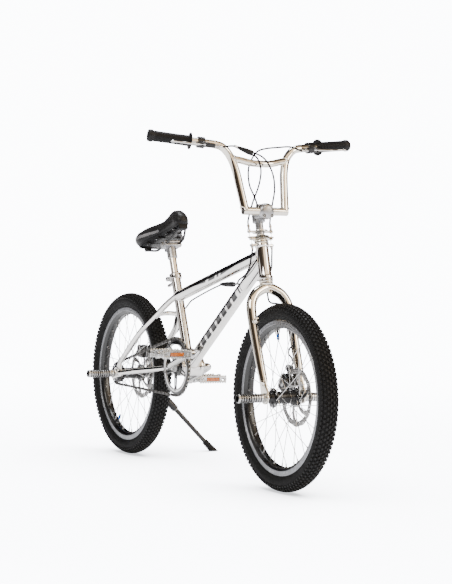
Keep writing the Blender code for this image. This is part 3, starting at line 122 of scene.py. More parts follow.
# Shape helpers. Each adds to the bmesh it is given, so a piece is built from many shapes.

def skin(bm, rings, closed, caps, mat):
    """Joins rings of points, the last to the first if closed, with caps on the ends if asked."""
    made = [[bm.verts.new(p) for p in ring] for ring in rings]
    count = len(made[0])
    pairs = list(zip(made, made[1:])) + ([(made[-1], made[0])] if closed else [])
    for a, b in pairs:
        for n in range(count):
            face = bm.faces.new((a[n], a[(n + 1) % count], b[(n + 1) % count], b[n]))
            face.material_index = mat
    if caps and not closed:
        for ring in (list(reversed(made[0])), made[-1]):
            bm.faces.new(ring).material_index = mat
    return made


def lathe(bm, profile, start, axis, steps=48, mat=0, mats=None, closed=False):
    """Turns (along, radius) points about an axis. mats gives a material for each stretch of the profile."""
    turn = aim(axis)
    start = Vector(start)
    rings = []
    for along, radius in profile:
        if radius < 1e-6:
            rings.append([bm.verts.new(start + turn @ Vector((0, 0, along)))])
            continue
        rings.append([bm.verts.new(start + turn @ Vector((radius * math.cos(2 * math.pi * n / steps),
                                                          radius * math.sin(2 * math.pi * n / steps), along)))
                      for n in range(steps)])
    pairs = list(zip(rings, rings[1:])) + ([(rings[-1], rings[0])] if closed else [])
    for number, (a, b) in enumerate(pairs):
        for n in range(steps):
            m = (n + 1) % steps
            if len(a) == 1 and len(b) == 1:
                continue
            if len(a) == 1:
                face = bm.faces.new((a[0], b[m], b[n]))
            elif len(b) == 1:
                face = bm.faces.new((a[n], a[m], b[0]))
            else:
                face = bm.faces.new((a[n], a[m], b[m], b[n]))
            face.material_index = mats[number] if mats else mat


def smooth_route(points, per_span=8):
    """A Catmull-Rom curve through the points."""
    points = [Vector(p) for p in points]
    ends = [points[0] * 2 - points[1]] + points + [points[-1] * 2 - points[-2]]
    route = []
    for a, b, c, d in zip(ends, ends[1:], ends[2:], ends[3:]):
        for n in range(per_span):
            t = n / per_span
            route.append(0.5 * ((2 * b) + (c - a) * t + (2 * a - 5 * b + 4 * c - d) * t * t
                                + (3 * b - a - 3 * c + d) * t ** 3))
    route.append(points[-1])
    return route


def pipe(bm, points, radius, sides=16, mat=0, closed=False, flat=1.0):
    """A tube along points. radius is a number or a function of the share of its length; flat squashes it."""
    points = [Vector(p) for p in points]
    count = len(points)
    tangents = []
    for n in range(count):
        if closed:
            tangents.append((points[(n + 1) % count] - points[n - 1]).normalized())
        else:
            tangents.append(heading(points, n))
    lift = tangents[0].orthogonal().normalized()
    if flat != 1.0:
        lift = (Z - tangents[0] * tangents[0].z).normalized()
    rings = []
    for n, (point, tangent) in enumerate(zip(points, tangents)):
        lift = (lift - tangent * lift.dot(tangent)).normalized()
        over = tangent.cross(lift)
        r = radius(n / max(count - 1, 1)) if callable(radius) else radius
        rings.append([point + over * r * math.cos(a) + lift * r * flat * math.sin(a)
                      for a in (2 * math.pi * k / sides for k in range(sides))])
    skin(bm, rings, closed, True, mat)


def rod(bm, start, end, radius, sides=24, end_radius=None, mat=0, round_by=0.0):
    """A cylinder or cone with an optional rounded edge at both ends."""
    start, end = Vector(start), Vector(end)
    length = (end - start).length
    last = radius if end_radius is None else end_radius
    if round_by:
        b = round_by
        profile = [(0, 0), (0, radius - b), (b * 0.3, radius - b * 0.3), (b, radius), (length - b, last),
                   (length - b * 0.3, last - b * 0.3), (length, last - b), (length, 0)]
    else:
        profile = [(0, 0), (0, radius), (length, last), (length, 0)]
    lathe(bm, profile, start, end - start, sides, mat)


def box(bm, centre, size, turn=None, bevel=0.0, mat=0, segments=2):
    part = bmesh.new()
    bmesh.ops.create_cube(part, size=1)
    bmesh.ops.scale(part, vec=size, verts=part.verts)
    if bevel:
        bmesh.ops.bevel(part, geom=part.edges[:], offset=bevel, segments=segments, profile=0.5,
                        affect="EDGES")
    place = Matrix.Translation(Vector(centre)) @ (turn.to_4x4() if turn else Matrix.Identity(4))
    absorb(bm, part, place, mat)


def absorb(bm, part, place, mat=0):
    """Copies part into bm at place, and frees it."""
    made = {v: bm.verts.new(place @ v.co) for v in part.verts}
    for face in part.faces:
        try:
            bm.faces.new([made[v] for v in face.verts]).material_index = mat
        except ValueError:
            pass
    part.free()


def orb(bm, centre, radii, turn=None, mat=0, steps=24):
    part = bmesh.new()
    bmesh.ops.create_uvsphere(part, u_segments=steps, v_segments=steps // 2, radius=1)
    bmesh.ops.scale(part, vec=radii, verts=part.verts)
    place = Matrix.Translation(Vector(centre)) @ (turn.to_4x4() if turn else Matrix.Identity(4))
    absorb(bm, part, place, mat)


def plate(bm, outlines, half, place, mat=0, bevel=0.0):
    """A flat plate, extruded by half each way: the first 2D outline is outside and the rest are holes."""
    curve = bpy.data.curves.new("outline", "CURVE")
    curve.dimensions = "2D"
    curve.fill_mode = "BOTH"
    curve.extrude = half - bevel
    curve.bevel_depth = bevel
    curve.bevel_resolution = 1
    for outline in outlines:
        spline = curve.splines.new("POLY")
        spline.points.add(len(outline) - 1)
        for point, (u, v) in zip(spline.points, outline):
            point.co = (u, v, 0, 1)
        spline.use_cyclic_u = True
    holder = bpy.data.objects.new("outline", curve)
    bpy.context.scene.collection.objects.link(holder)
    bpy.context.view_layer.update()
    mesh = bpy.data.meshes.new_from_object(holder.evaluated_get(bpy.context.evaluated_depsgraph_get()))
    bpy.data.objects.remove(holder)
    bpy.data.curves.remove(curve)
    part = bmesh.new()
    part.from_mesh(mesh)
    bmesh.ops.remove_doubles(part, verts=part.verts, dist=1e-6)
    bpy.data.meshes.remove(mesh)
    absorb(bm, part, place, mat)


def circle(centre, radius, count=24, start=0.0, end=360.0):
    """Points on an arc. A whole circle leaves out the repeated last point."""
    whole = abs(end - start) >= 359.999
    spans = count if whole else count - 1
    return [(centre[0] + radius * math.cos(math.radians(start + (end - start) * n / spans)),
             centre[1] + radius * math.sin(math.radians(start + (end - start) * n / spans)))
            for n in range(count)]


def on_side(x, y, z):
    """Puts a plate's outline of (x, z) points, thickness along y, at a point of the bike."""
    return Matrix.Translation((x, y, z)) @ Matrix(((1, 0, 0, 0), (0, 0, -1, 0), (0, 1, 0, 0), (0, 0, 0, 1)))


def hexagon(bm, centre, axis, across, height, mat=0, hole=0.0, point=0.0):
    """A hexagonal nut or bolt head with a chamfered top, its base at centre."""
    rim = across / math.sqrt(3)
    place = Matrix.Translation(Vector(centre)) @ aim(axis).to_4x4() @ Matrix.Translation((0, 0, height / 2))
    outlines = [circle((0, 0), rim, 6, point, point + 360)] + ([circle((0, 0), hole, 20)] if hole else [])
    plate(bm, outlines, height / 2, place, mat, min(0.0006, height / 5))


def bolt(bm, centre, axis, radius, height, mat=0, dark=None):
    """A round socket head, with its hexagonal recess drawn dark as painted shade if a material is given for
    it.
    """
    rod(bm, centre, Vector(centre) + Vector(axis) * height, radius, 20, mat=mat, round_by=height * 0.25)
    if dark is not None:
        tip = Vector(centre) + Vector(axis) * (height + 0.00005)
        rod(bm, tip - Vector(axis) * 0.0005, tip, radius * 0.55, 6, mat=dark)


def bead(bm, route, size, ripple, waves, closed=False):
    """A weld's rippled line."""
    pipe(bm, route, lambda t: size * (1 + ripple * math.sin(t * waves)), 8, closed=closed)


def weld_bead(bm, start, axis, radius, host_point, host_axis, host_radius, size=0.0016):
    """A rippled bead where a tube from start along axis meets a round host tube."""
    axis, host_axis = Vector(axis).normalized(), Vector(host_axis).normalized()
    turn = aim(axis)
    loop = []
    for n in range(120):
        a = 2 * math.pi * n / 120
        ray = Vector(start) + turn @ Vector((radius * math.cos(a), radius * math.sin(a), 0))
        gap = ray - Vector(host_point)
        p = gap - host_axis * gap.dot(host_axis)
        d = axis - host_axis * axis.dot(host_axis)
        qa, qb, qc = d.dot(d), 2 * p.dot(d), p.dot(p) - host_radius ** 2
        root = qb * qb - 4 * qa * qc
        if root <= 0:
            loop.append(None)
            continue
        t = (-qb - math.sqrt(root)) / (2 * qa)
        loop.append(ray + axis * t)
    if any(p is None for p in loop):
        loop = [p for p in loop if p is not None]
        if len(loop) < 12:
            return
        bead(bm, loop, size, 0.22, 110)
        return
    length = sum((b - a).length for a, b in zip(loop, loop[1:]))
    waves = max(8, round(length / 0.0028))
    bead(bm, loop, size, 0.24, 2 * math.pi * waves, closed=True)


def piece(name, bm, mats, body, replaces=(), home=None, angle=32):
    """Makes the object in the bike's place, gives it materials and ties it to its body."""
    bmesh.ops.recalc_face_normals(bm, faces=bm.faces)
    if home is not None:
        bmesh.ops.translate(bm, vec=-Vector(home), verts=bm.verts)
    mesh = bpy.data.meshes.new(name)
    bm.to_mesh(mesh)
    bm.free()
    for mat in mats:
        mesh.materials.append(mat)
    mesh.shade_smooth()
    mesh.set_sharp_from_angle(angle=math.radians(angle))
    obj = bpy.data.objects.new(name, mesh)
    bpy.context.scene.collection.objects.link(obj)
    obj.matrix_world = STANCE @ Matrix.Translation(home if home is not None else (0, 0, 0))
    bpy.context.view_layer.update()
    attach(obj, body)
    if replaces:
        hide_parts(*replaces)
    return obj


# Materials. Each is a small node graph on object coordinates, in metres.

class Graph:
    def __init__(self, name):
        self.mat = bpy.data.materials.new(name)
        self.mat.use_nodes = True
        self.tree = self.mat.node_tree
        self.shader = next(n for n in self.tree.nodes if n.type == "BSDF_PRINCIPLED")
        self.where = self.add("ShaderNodeTexCoord").outputs["Object"]

    def add(self, kind, **values):
        node = self.tree.nodes.new(kind)
        for key, value in values.items():
            setattr(node, key, value)
        return node

    def join(self, a, b):
        self.tree.links.new(a, b)

    def put(self, socket, value):
        if isinstance(value, bpy.types.NodeSocket):
            self.join(value, socket)
        else:
            socket.default_value = value

    def noise(self, scale, detail=3.0, rough=0.5, stretch=None):
        source = self.where
        if stretch:
            mapping = self.add("ShaderNodeMapping")
            mapping.inputs["Scale"].default_value = stretch
            self.join(source, mapping.inputs["Vector"])
            source = mapping.outputs["Vector"]
        node = self.add("ShaderNodeTexNoise")
        node.inputs["Scale"].default_value = scale
        node.inputs["Detail"].default_value = detail
        node.inputs["Roughness"].default_value = rough
        self.join(source, node.inputs["Vector"])
        return node.outputs["Fac"]

    def cells(self, scale):
        node = self.add("ShaderNodeTexVoronoi", feature="F1")
        node.inputs["Scale"].default_value = scale
        self.join(self.where, node.inputs["Vector"])
        return node.outputs["Distance"]

    def math(self, kind, a, b=0.0):
        node = self.add("ShaderNodeMath", operation=kind)
        for socket, value in zip(node.inputs, (a, b)):
            self.put(socket, value)
        return node.outputs["Value"]

    def split(self):
        node = self.add("ShaderNodeSeparateXYZ")
        self.join(self.where, node.inputs["Vector"])
        return node.outputs

    def span(self, value, low, high, out_low=0.0, out_high=1.0):
        node = self.add("ShaderNodeMapRange")
        for key, number in (("Value", value), ("From Min", low), ("From Max", high), ("To Min", out_low),
                            ("To Max", out_high)):
            self.put(node.inputs[key], number)
        return node.outputs["Result"]

    def mix(self, share, a, b):
        node = self.add("ShaderNodeMix", data_type="RGBA")
        self.put(node.inputs["Factor"], share)
        self.put(node.inputs["A"], a)
        self.put(node.inputs["B"], b)
        return node.outputs["Result"]

    def bump(self, height, strength, distance, normal=None):
        node = self.add("ShaderNodeBump")
        node.inputs["Strength"].default_value = strength
        node.inputs["Distance"].default_value = distance
        self.join(height, node.inputs["Height"])
        if normal:
            self.join(normal, node.inputs["Normal"])
        self.join(node.outputs["Normal"], self.shader.inputs["Normal"])
        return node.outputs["Normal"]

    def set(self, **values):
        for key, value in values.items():
            self.put(self.shader.inputs[key.replace("_", " ")], value)
        return self

    def radius(self):
        """Distance from the local Y axis, for pieces whose home is on a wheel's axis."""
        parts = self.split()
        return self.math("SQRT", self.math("ADD", self.math("MULTIPLY", parts["X"], parts["X"]),
                                           self.math("MULTIPLY", parts["Z"], parts["Z"])))


def metal(name, colour, low, high, wear=0.02, scale=45.0, scratch=0.25):
    g = Graph(name)
    smear = g.noise(scale, 5, 0.6)
    fine = g.noise(900, 2, 0.5, stretch=(1, 1, 1))
    dark = tuple(c * (1 - wear * 6) for c in colour[:3]) + (1,)
    g.set(Base_Color=g.mix(g.span(smear, 0.35, 0.75), colour, dark), Metallic=1.0,
          Roughness=g.span(smear, 0.3, 0.75, low, high))
    g.bump(fine, scratch, 0.00004)
    return g.mat


def make_chrome(name, tint):
    """Polished plating: faint ripple from the tube below, haze, and fine hairlines."""
    g = Graph(name)
    haze = g.noise(28, 4, 0.6)
    hair = g.noise(400, 2, 0.5, stretch=(1, 1, 9))
    ripple = g.noise(60, 1, 0.4)
    g.set(Base_Color=g.mix(g.span(haze, 0.4, 0.8), tint, tuple(c * 0.9 for c in tint[:3]) + (1,)),
          Metallic=1.0, Roughness=g.span(haze, 0.3, 0.8, 0.035, 0.11))
    first = g.bump(ripple, 0.1, 0.00025)
    g.bump(hair, 0.06, 0.00002, first)
    return g.mat


def make_machined(name, colour, spacing=0.0007, rough=0.24):
    """Turned or machined metal: circular tool marks about the wheel's axis."""
    g = Graph(name)
    marks = g.math("SINE", g.math("MULTIPLY", g.radius(), 2 * math.pi / spacing))
    blur = g.noise(160, 3, 0.6)
    g.set(Base_Color=g.mix(g.span(blur, 0.35, 0.7), colour, tuple(c * 0.8 for c in colour[:3]) + (1,)),
          Metallic=1.0, Roughness=g.span(blur, 0.3, 0.7, rough, rough + 0.14))
    g.bump(marks, 0.3, 0.00005)
    return g.mat


def make_paint(name, colour, low=0.22, high=0.42, peel=0.15, metallic=0.0):
    """Sprayed or powder-coated paint: orange peel, paler dust in patches, thin wear."""
    g = Graph(name)
    dust = g.noise(70, 6, 0.65)
    bright = tuple(min(1, c * 1.6 + 0.003) for c in colour[:3]) + (1,)
    g.set(Base_Color=g.mix(g.span(dust, 0.52, 0.82), colour, bright), Metallic=metallic,
          Roughness=g.span(dust, 0.35, 0.7, low, high), Coat_Weight=0.25, Coat_Roughness=0.2)
    g.bump(g.noise(750, 3, 0.5), peel, 0.00006)
    return g.mat


def make_rubber(name, colour, low=0.62, high=0.86, grain=900, dusty=0.35):
    """Moulded rubber: fine grain, a grey bloom and paler dust."""
    g = Graph(name)
    bloom = g.noise(38, 6, 0.7)
    pale = tuple(c * 1.9 + 0.003 for c in colour[:3]) + (1,)
    g.set(Base_Color=g.mix(g.span(bloom, 0.45, 0.85, 0.0, dusty + 0.3), colour, pale),
          Roughness=g.span(bloom, 0.3, 0.75, low, high), Specular_IOR_Level=0.3)
    g.bump(g.noise(grain, 3, 0.6), 0.35, 0.00012)
    return g.mat


def make_plastic(name, colour, rough=0.38, grain=1400, depth=0.22):
    """Moulded plastic: fine spark-eroded texture and a slight sheen."""
    g = Graph(name)
    flow = g.noise(22, 4, 0.5)
    g.set(Base_Color=g.mix(g.span(flow, 0.4, 0.8), colour, tuple(c * 1.4 + 0.001 for c in colour[:3]) + (1,)),
          Roughness=g.span(flow, 0.3, 0.7, rough, rough + 0.15), Specular_IOR_Level=0.2)
    g.bump(g.cells(grain), depth, 0.00006)
    return g.mat


def make_leather(name, colour, low, high, scale=620):
    """Synthetic leather: pebbled cells, pores and a soft sheen."""
    g = Graph(name)
    wear = g.noise(26, 5, 0.6)
    cell = g.cells(scale)
    g.set(Base_Color=g.mix(g.span(wear, 0.45, 0.8), colour, tuple(c * 1.5 + 0.002 for c in colour[:3])
                           + (1,)), Roughness=g.span(wear, 0.3, 0.75, low, high), Sheen_Weight=0.12,
          Specular_IOR_Level=0.22)
    first = g.bump(cell, 0.42, 0.00035)
    g.bump(g.noise(2600, 2, 0.5), 0.18, 0.00005, first)
    return g.mat


def make_reflector():
    """Amber prismatic lens: a field of small bright and dark cells under a smooth face, painted glints of its
    prisms, with a faint painted glow.
    """
    g = Graph("amber_reflector")
    prism = g.cells(480)
    # The cells' bright and dark colours are painted glints, and the emission is a painted glow: a reflector
    # gives no light of its own.
    g.set(Base_Color=g.mix(g.span(prism, 0.1, 0.7), (0.98, 0.28, 0.02, 1), (0.42, 0.07, 0.004, 1)),
          Roughness=0.16, Coat_Weight=1.0, Coat_Roughness=0.05, Emission_Color=(1.0, 0.25, 0.02, 1),
          Emission_Strength=0.12)
    g.bump(prism, 0.6, 0.0004)
    return g.mat


CHROME = make_chrome("polished_chrome", (0.86, 0.815, 0.73, 1))
CHROME_FRAME = make_chrome("frame_chrome", (0.9, 0.885, 0.86, 1))
ALLOY = metal("satin_alloy", (0.7, 0.7, 0.7, 1), 0.2, 0.36)
POLISHED = metal("polished_alloy", (0.62, 0.61, 0.6, 1), 0.1, 0.22, 0.01)
CAST = metal("cast_alloy", (0.44, 0.44, 0.45, 1), 0.26, 0.44, 0.03, 90, scratch=0.5)
ZINC = metal("plated_steel", (0.42, 0.42, 0.42, 1), 0.22, 0.4, 0.04, 120)
SPOKE_STEEL = metal("spoke_steel", (0.66, 0.66, 0.66, 1), 0.18, 0.3, 0.01)
BRASS = metal("plated_nipple", (0.42, 0.41, 0.4, 1), 0.26, 0.4, 0.02)
CHAIN_STEEL = metal("chain_steel", (0.115, 0.11, 0.105, 1), 0.3, 0.52, 0.05, 240)
DARK_STEEL = metal("dark_steel", (0.1, 0.1, 0.105, 1), 0.32, 0.5, 0.03, 160)
TRACK = make_machined("rim_track", (0.3, 0.305, 0.32, 1))
ROTOR_STEEL = make_machined("rotor_steel", (0.36, 0.355, 0.35, 1), 0.0009, 0.26)
BLACK = make_paint("black_paint", (0.0045, 0.0045, 0.0055, 1))
BLACK_SATIN = make_paint("black_satin", (0.0055, 0.0055, 0.0065, 1), 0.32, 0.5, 0.2)
ANODISED = make_paint("black_anodised", (0.006, 0.0062, 0.008, 1), 0.26, 0.4, 0.08, 0.3)
# The knobs' rubber is paler than the casing's: a painted highlight on the knobs, on top of its grey dust
# bloom.
TYRE = make_rubber("tyre_rubber", (0.0035, 0.0036, 0.0042, 1), 0.66, 0.88, 900, 0.2)
TREAD_RUBBER_LIT = make_rubber("tread_rubber_lit", (0.006, 0.0062, 0.0072, 1), 0.5, 0.72, 700, 0.3)
GRIP = make_rubber("grip_rubber", (0.0045, 0.0046, 0.0054, 1), 0.46, 0.66, 1300, 0.15)
PLASTIC = make_plastic("black_plastic", (0.005, 0.005, 0.006, 1))
HOUSING = make_plastic("cable_housing", (0.004, 0.004, 0.005, 1), 0.26, 900, 0.06)
BLUE = make_plastic("blue_cap", (0.015, 0.12, 0.52, 1), 0.3)
COVER = make_leather("saddle_leather", (0.0045, 0.0046, 0.0062, 1), 0.28, 0.46)
COVER_SIDE = make_leather("saddle_side", (0.006, 0.0062, 0.0085, 1), 0.22, 0.38, 900)
BAND = make_leather("saddle_band", (0.22, 0.23, 0.26, 1), 0.34, 0.5, 800)
THREAD = make_rubber("stitch_thread", (0.03, 0.03, 0.035, 1), 0.6, 0.8, 2200, 0.1)
DECAL = make_paint("black_decal", (0.006, 0.006, 0.007, 1), 0.12, 0.22, 0.03)
AMBER = make_reflector()
# This near-black surface in sockets, holes, grooves, notches and open tube ends is painted shade, not a paint
# on the bike.
RECESS_SHADE = make_paint("recess", (0.004, 0.004, 0.004, 1), 0.6, 0.8, 0.1)


# Wheels. Their pieces are made about the hub, with Y along the axle.

# The tyre's section is an oval about CORE_R, and the tread has TREAD_BLOCKS blocks in each row.
CORE_R, CASING_HIGH, CASING_HALF, TREAD_BLOCKS, WHEEL_STEPS = 0.2268, 0.0222, 0.0252, 112, 168
# CROSSING is the angle in degrees from a spoke's hole in the flange to its nipple.
SPOKES, SPOKE_CIRCLE_R, FLANGE_Y, CROSSING, NIPPLE_Y = 36, 0.0222, 0.033, 56, 0.003
HUB_HALF, HUB_BARREL_R = 0.0474, 0.017
# The rotor: its edge, the two ends of its arms, its bolts, and how far left of the middle it is.
ROTOR_R, ARM_IN, ARM_OUT, ROTOR_BOLT_R, DISC_Y = 0.08, 0.0255, 0.0645, 0.0222, 0.0395
PEG_R, PEG_BORE_R, PEG_GROOVES = 0.012, 0.0074, 9
# From the middle of the wheel to the two ends of each peg.
PEG_ENDS = {"front": (0.0672, 0.142), "rear": (0.0716, 0.147)}
THREAD_PITCH = 0.0013


def tyre(which, hub, body):
    bm = bmesh.new()
    casing = [(0.0127, 0.2036), (0.0133, 0.2075), (0.015, 0.2102), (0.018, 0.2125)]
    casing += [(CASING_HALF * math.sin(math.radians(a)), CORE_R + CASING_HIGH * math.cos(math.radians(a)))
               for a in range(120, 0, -8)]
    ribs = {0.2125: 0.0006}
    half = [(y + ribs.get(round(r, 4), 0), r) for y, r in casing]
    profile = half + [(0, TREAD_R - 0.0041)] + [(-y, r) for y, r in reversed(half)]
    lathe(bm, profile, hub, Y, WHEEL_STEPS, 0)
    for rib in (0.2165, 0.22, 0.2395):
        a = math.acos(min(1, max(-1, (rib - CORE_R) / CASING_HIGH)))
        for side in (-1, 1):
            y = side * (CASING_HALF * math.sin(a) + 0.0001)
            pipe(bm, hoop(hub, rib, y, WHEEL_STEPS), 0.0005, 6, 0, closed=True)
    rows = [(-64, 4.8, 7.4, 4.2, 0.5), (-43, 5.0, 6.9, 2.9, 0.0), (-24.5, 5.0, 6.9, 2.8, 0.5),
            (-8, 4.7, 7.2, 2.7, 0.0), (8, 4.7, 7.2, 2.7, 0.5), (24.5, 5.0, 6.9, 2.8, 0.0),
            (43, 5.0, 6.9, 2.9, 0.5), (64, 4.8, 7.4, 4.2, 0.0)]
    for lean, wide, long, high, shift in rows:
        a = math.radians(lean)
        for n in range(TREAD_BLOCKS):
            t = 2 * math.pi * (n + shift) / TREAD_BLOCKS
            ahead = Vector((-math.sin(t), 0, math.cos(t)))
            out = Vector((math.cos(t), 0, math.sin(t)))
            up = (out * math.cos(a) + Y * math.sin(a)).normalized()
            across = ahead.cross(up)
            foot = hub + out * (CORE_R + 0.0216 * math.cos(a)) + Y * 0.024 * math.sin(a)
            top_r = (TREAD_R - CORE_R) if abs(lean) < 30 else (0.0236 + high / 1000)
            reach = min(CASING_HALF + high / 1000, 0.0284)
            top = hub + out * (CORE_R + top_r * math.cos(a)) + Y * reach * math.sin(a)
            w, l = wide / 2000, long / 2000
            ring = [(w, l), (-w, l), (-w, -l), (w, -l)]
            low = [bm.verts.new(foot + across * u * 1.12 + ahead * v * 1.12) for u, v in ring]
            mid = [bm.verts.new(top - up * 0.0005 + across * u + ahead * v) for u, v in ring]
            cap = [bm.verts.new(top + across * u * 0.86 + ahead * v * 0.9) for u, v in ring]
            for under, over in ((low, mid), (mid, cap)):
                for k in range(4):
                    bm.faces.new((under[k], under[(k + 1) % 4], over[(k + 1) % 4],
                                  over[k])).material_index = 1
            bm.faces.new(cap).material_index = 1
    piece(f"{which}_tyre_tread", bm, (TYRE, TREAD_RUBBER_LIT), body, (f"{which}_tyre",), hub)


def rim(which, hub, body, valve_angle):
    bm = bmesh.new()
    half = [(0.0, 0.201), (0.007, 0.201), (0.01, 0.2024), (0.0128, 0.2026), (0.0132, 0.2072), (0.0136, 0.209),
            (0.0145, 0.2097), (0.0156, 0.2093), (0.016, 0.2084), (0.016, 0.206), (0.0156, 0.2056),
            (0.0156, 0.2052), (0.016, 0.2048), (0.016, 0.2012), (0.0156, 0.2008), (0.0156, 0.2004),
            (0.016, 0.2), (0.016, 0.1962), (0.0157, 0.1948), (0.014, 0.192), (0.0112, 0.1886),
            (0.0092, 0.1868), (0.007, 0.1861), (0, 0.186)]
    mats = [0] * 6 + [1] * 11 + [0] * 6
    profile = half + [(-y, r) for y, r in reversed(half[1:-1])]
    lathe(bm, profile, hub, Y, WHEEL_STEPS, closed=True, mats=mats + list(reversed(mats)))
    spokes = bmesh.new()
    for n in range(SPOKES):
        side = 1 if n % 2 else -1
        at_rim = valve_angle + 5 + 10 * n
        lean = CROSSING if (n // 2) % 2 else -CROSSING
        far = wheel_direction(at_rim)
        near = wheel_direction(at_rim + lean)
        flange = hub + near * SPOKE_CIRCLE_R + Y * side * FLANGE_Y
        outer = 1 if (n // 2) % 2 else -1
        shelf = Y * side * outer * 0.0026
        end = hub + far * 0.1768 + Y * side * 0.0032
        lead = (end - (flange + shelf)).normalized()
        pipe(spokes, smooth_route([flange - shelf * 0.9, flange + shelf * 0.2, flange + shelf + lead * 0.0022,
                                   flange + shelf + lead * 0.006], 3) + [end], 0.001, 8)
        rod(spokes, flange - shelf * 0.7, flange - shelf * 1.15, 0.0019, 10)
        hole = hub + far * 0.1864 + Y * side * NIPPLE_Y
        rod(spokes, hole, end - (hole - end).normalized() * 0.001, 0.0021, 10, 0.0016, 1)
        rod(bm, hub + far * 0.1856 + Y * side * NIPPLE_Y, hub + far * 0.187 + Y * side * NIPPLE_Y, 0.003, 14,
            mat=2)
    out = wheel_direction(valve_angle)
    stem = bmesh.new()
    lathe(stem, [(0, 0), (0, 0.0032), (0.006, 0.004), (0.0125, 0.004), (0.015, 0.0037), (0.016, 0.0029),
                 (0.033, 0.0029), (0.033, 0)], hub + out * 0.156, out, 24, mats=[1, 1, 1, 1, 1, 0, 0])
    rod(stem, hub + out * 0.184, hub + out * 0.1862, 0.0058, 20, mat=2, round_by=0.0004)
    piece(f"{which}_rim_ring", bm, (BLACK, TRACK, ZINC), body, (f"{which}_rim",), hub)
    piece(f"{which}_spoke_set", spokes, (SPOKE_STEEL, BRASS), body, (f"{which}_spokes",), hub)
    piece(f"{which}_valve", stem, (DARK_STEEL, BLUE, ZINC), body, (f"{which}_inner_tube",), hub)


def hub_shell(which, hub, body):
    bm, reach = bmesh.new(), HUB_HALF
    bore = AXLE_R + 0.0004
    profile = [(-reach, bore), (-reach, 0.012), (-reach + 0.002, 0.0138), (-0.042, 0.015), (-0.0372, 0.0168),
               (-0.0352, 0.0215), (-0.0349, 0.0258), (-0.034, 0.0268), (-0.0318, 0.0268), (-0.0309, 0.0258),
               (-0.0306, 0.0205), (-0.0285, 0.0178), (-0.022, HUB_BARREL_R), (0, 0.0168),
               (0.022, HUB_BARREL_R), (0.0285, 0.0178), (0.0306, 0.0205), (0.0309, 0.0258), (0.0318, 0.0268),
               (0.0338, 0.0268), (0.0345, 0.0258), (0.0349, 0.0222), (0.038, 0.0215), (0.0382, 0.0184),
               (0.044, 0.0182), (reach - 0.003, 0.015), (reach, 0.012), (reach, bore)]
    lathe(bm, profile, hub, Y, 64, 0, closed=True)
    for y in (-0.0135, 0.0135):
        pipe(bm, hoop(hub, HUB_BARREL_R, y, 64), 0.0006, 8, 1, closed=True)
    # Small dark dots on each flange's face: painted shade in its holes.
    for side in (-1, 1):
        for n in range(9):
            out = wheel_direction(40 * n + 8)
            rod(bm, hub + out * 0.0242 + Y * side * 0.0348, hub + out * 0.0242 + Y * side * 0.0352, 0.0011, 8,
                mat=2)
    piece(f"{which}_hub_shell", bm, (ANODISED, POLISHED, RECESS_SHADE), body, (f"{which}_hub",), hub)


def rotor(which, hub, body):
    """A wavy 160 mm disc: slotted track, six swept arms, and six bolts on the hub."""
    bm = bmesh.new()
    outline = []
    for n in range(288):
        a = 360 * n / 288
        wave = (0.5 + 0.5 * math.cos(math.radians(12 * a))) ** 0.7
        r = ROTOR_R - 0.0022 * (1 - wave)
        outline.append((r * math.cos(math.radians(a)), r * math.sin(math.radians(a))))
    holes = []
    for n in range(6):
        start = 60 * n
        left, right = ([(ARM_IN + (ARM_OUT - ARM_IN) * k / 8,
                         start + turn + 24 * (k / 8) ** 1.2 + (foot if k == 0 else 0)) for k in range(9)]
                       for turn, foot in ((7, 7), (53, -3)))
        top = [(ARM_OUT, left[-1][1] + (right[-1][1] - left[-1][1]) * k / 10) for k in range(1, 10)]
        low = [(ARM_IN, right[0][1] + (left[0][1] - right[0][1]) * k / 6) for k in range(1, 6)]
        ring = left + top + list(reversed(right)) + low
        holes.append([(r * math.cos(math.radians(a)), r * math.sin(math.radians(a))) for r, a in ring])
    for n in range(12):
        for r, shift, half in ((0.0762, 0, 2.1), (0.0722, 9, 2.6), (0.0684, 17, 2.2)):
            a = 30 * n + shift
            tilt = math.radians(a + 52)
            centre = Vector((r * math.cos(math.radians(a)), r * math.sin(math.radians(a))))
            along = Vector((math.cos(tilt), math.sin(tilt))) * half / 1000
            over = Vector((-math.sin(tilt), math.cos(tilt)))
            slot = []
            for k in range(12):
                b = 2 * math.pi * k / 12
                slot.append(tuple(centre + along * (1 if math.cos(b) > 0 else -1) * 0.6
                                  + (along.normalized() * math.cos(b) + over * math.sin(b)) * 0.0013))
            holes.append(slot)
    holes.append(circle((0, 0), 0.019, 48))
    place = Matrix.Translation(hub + Y
                               * DISC_Y) @ Matrix(((1, 0, 0, 0), (0, 0, -1, 0), (0, 1, 0, 0), (0, 0, 0, 1)))
    plate(bm, [outline] + holes, 0.0009, place, 0, 0.00015)
    for n in range(6):
        at = hub + wheel_direction(60 * n + 12) * ROTOR_BOLT_R + Y * 0.0404
        bolt(bm, at, Y, 0.0035, 0.0026, 1, 2)
    piece(f"{which}_rotor_disc", bm, (ROTOR_STEEL, ZINC, RECESS_SHADE), body, (f"{which}_rotor",), hub)


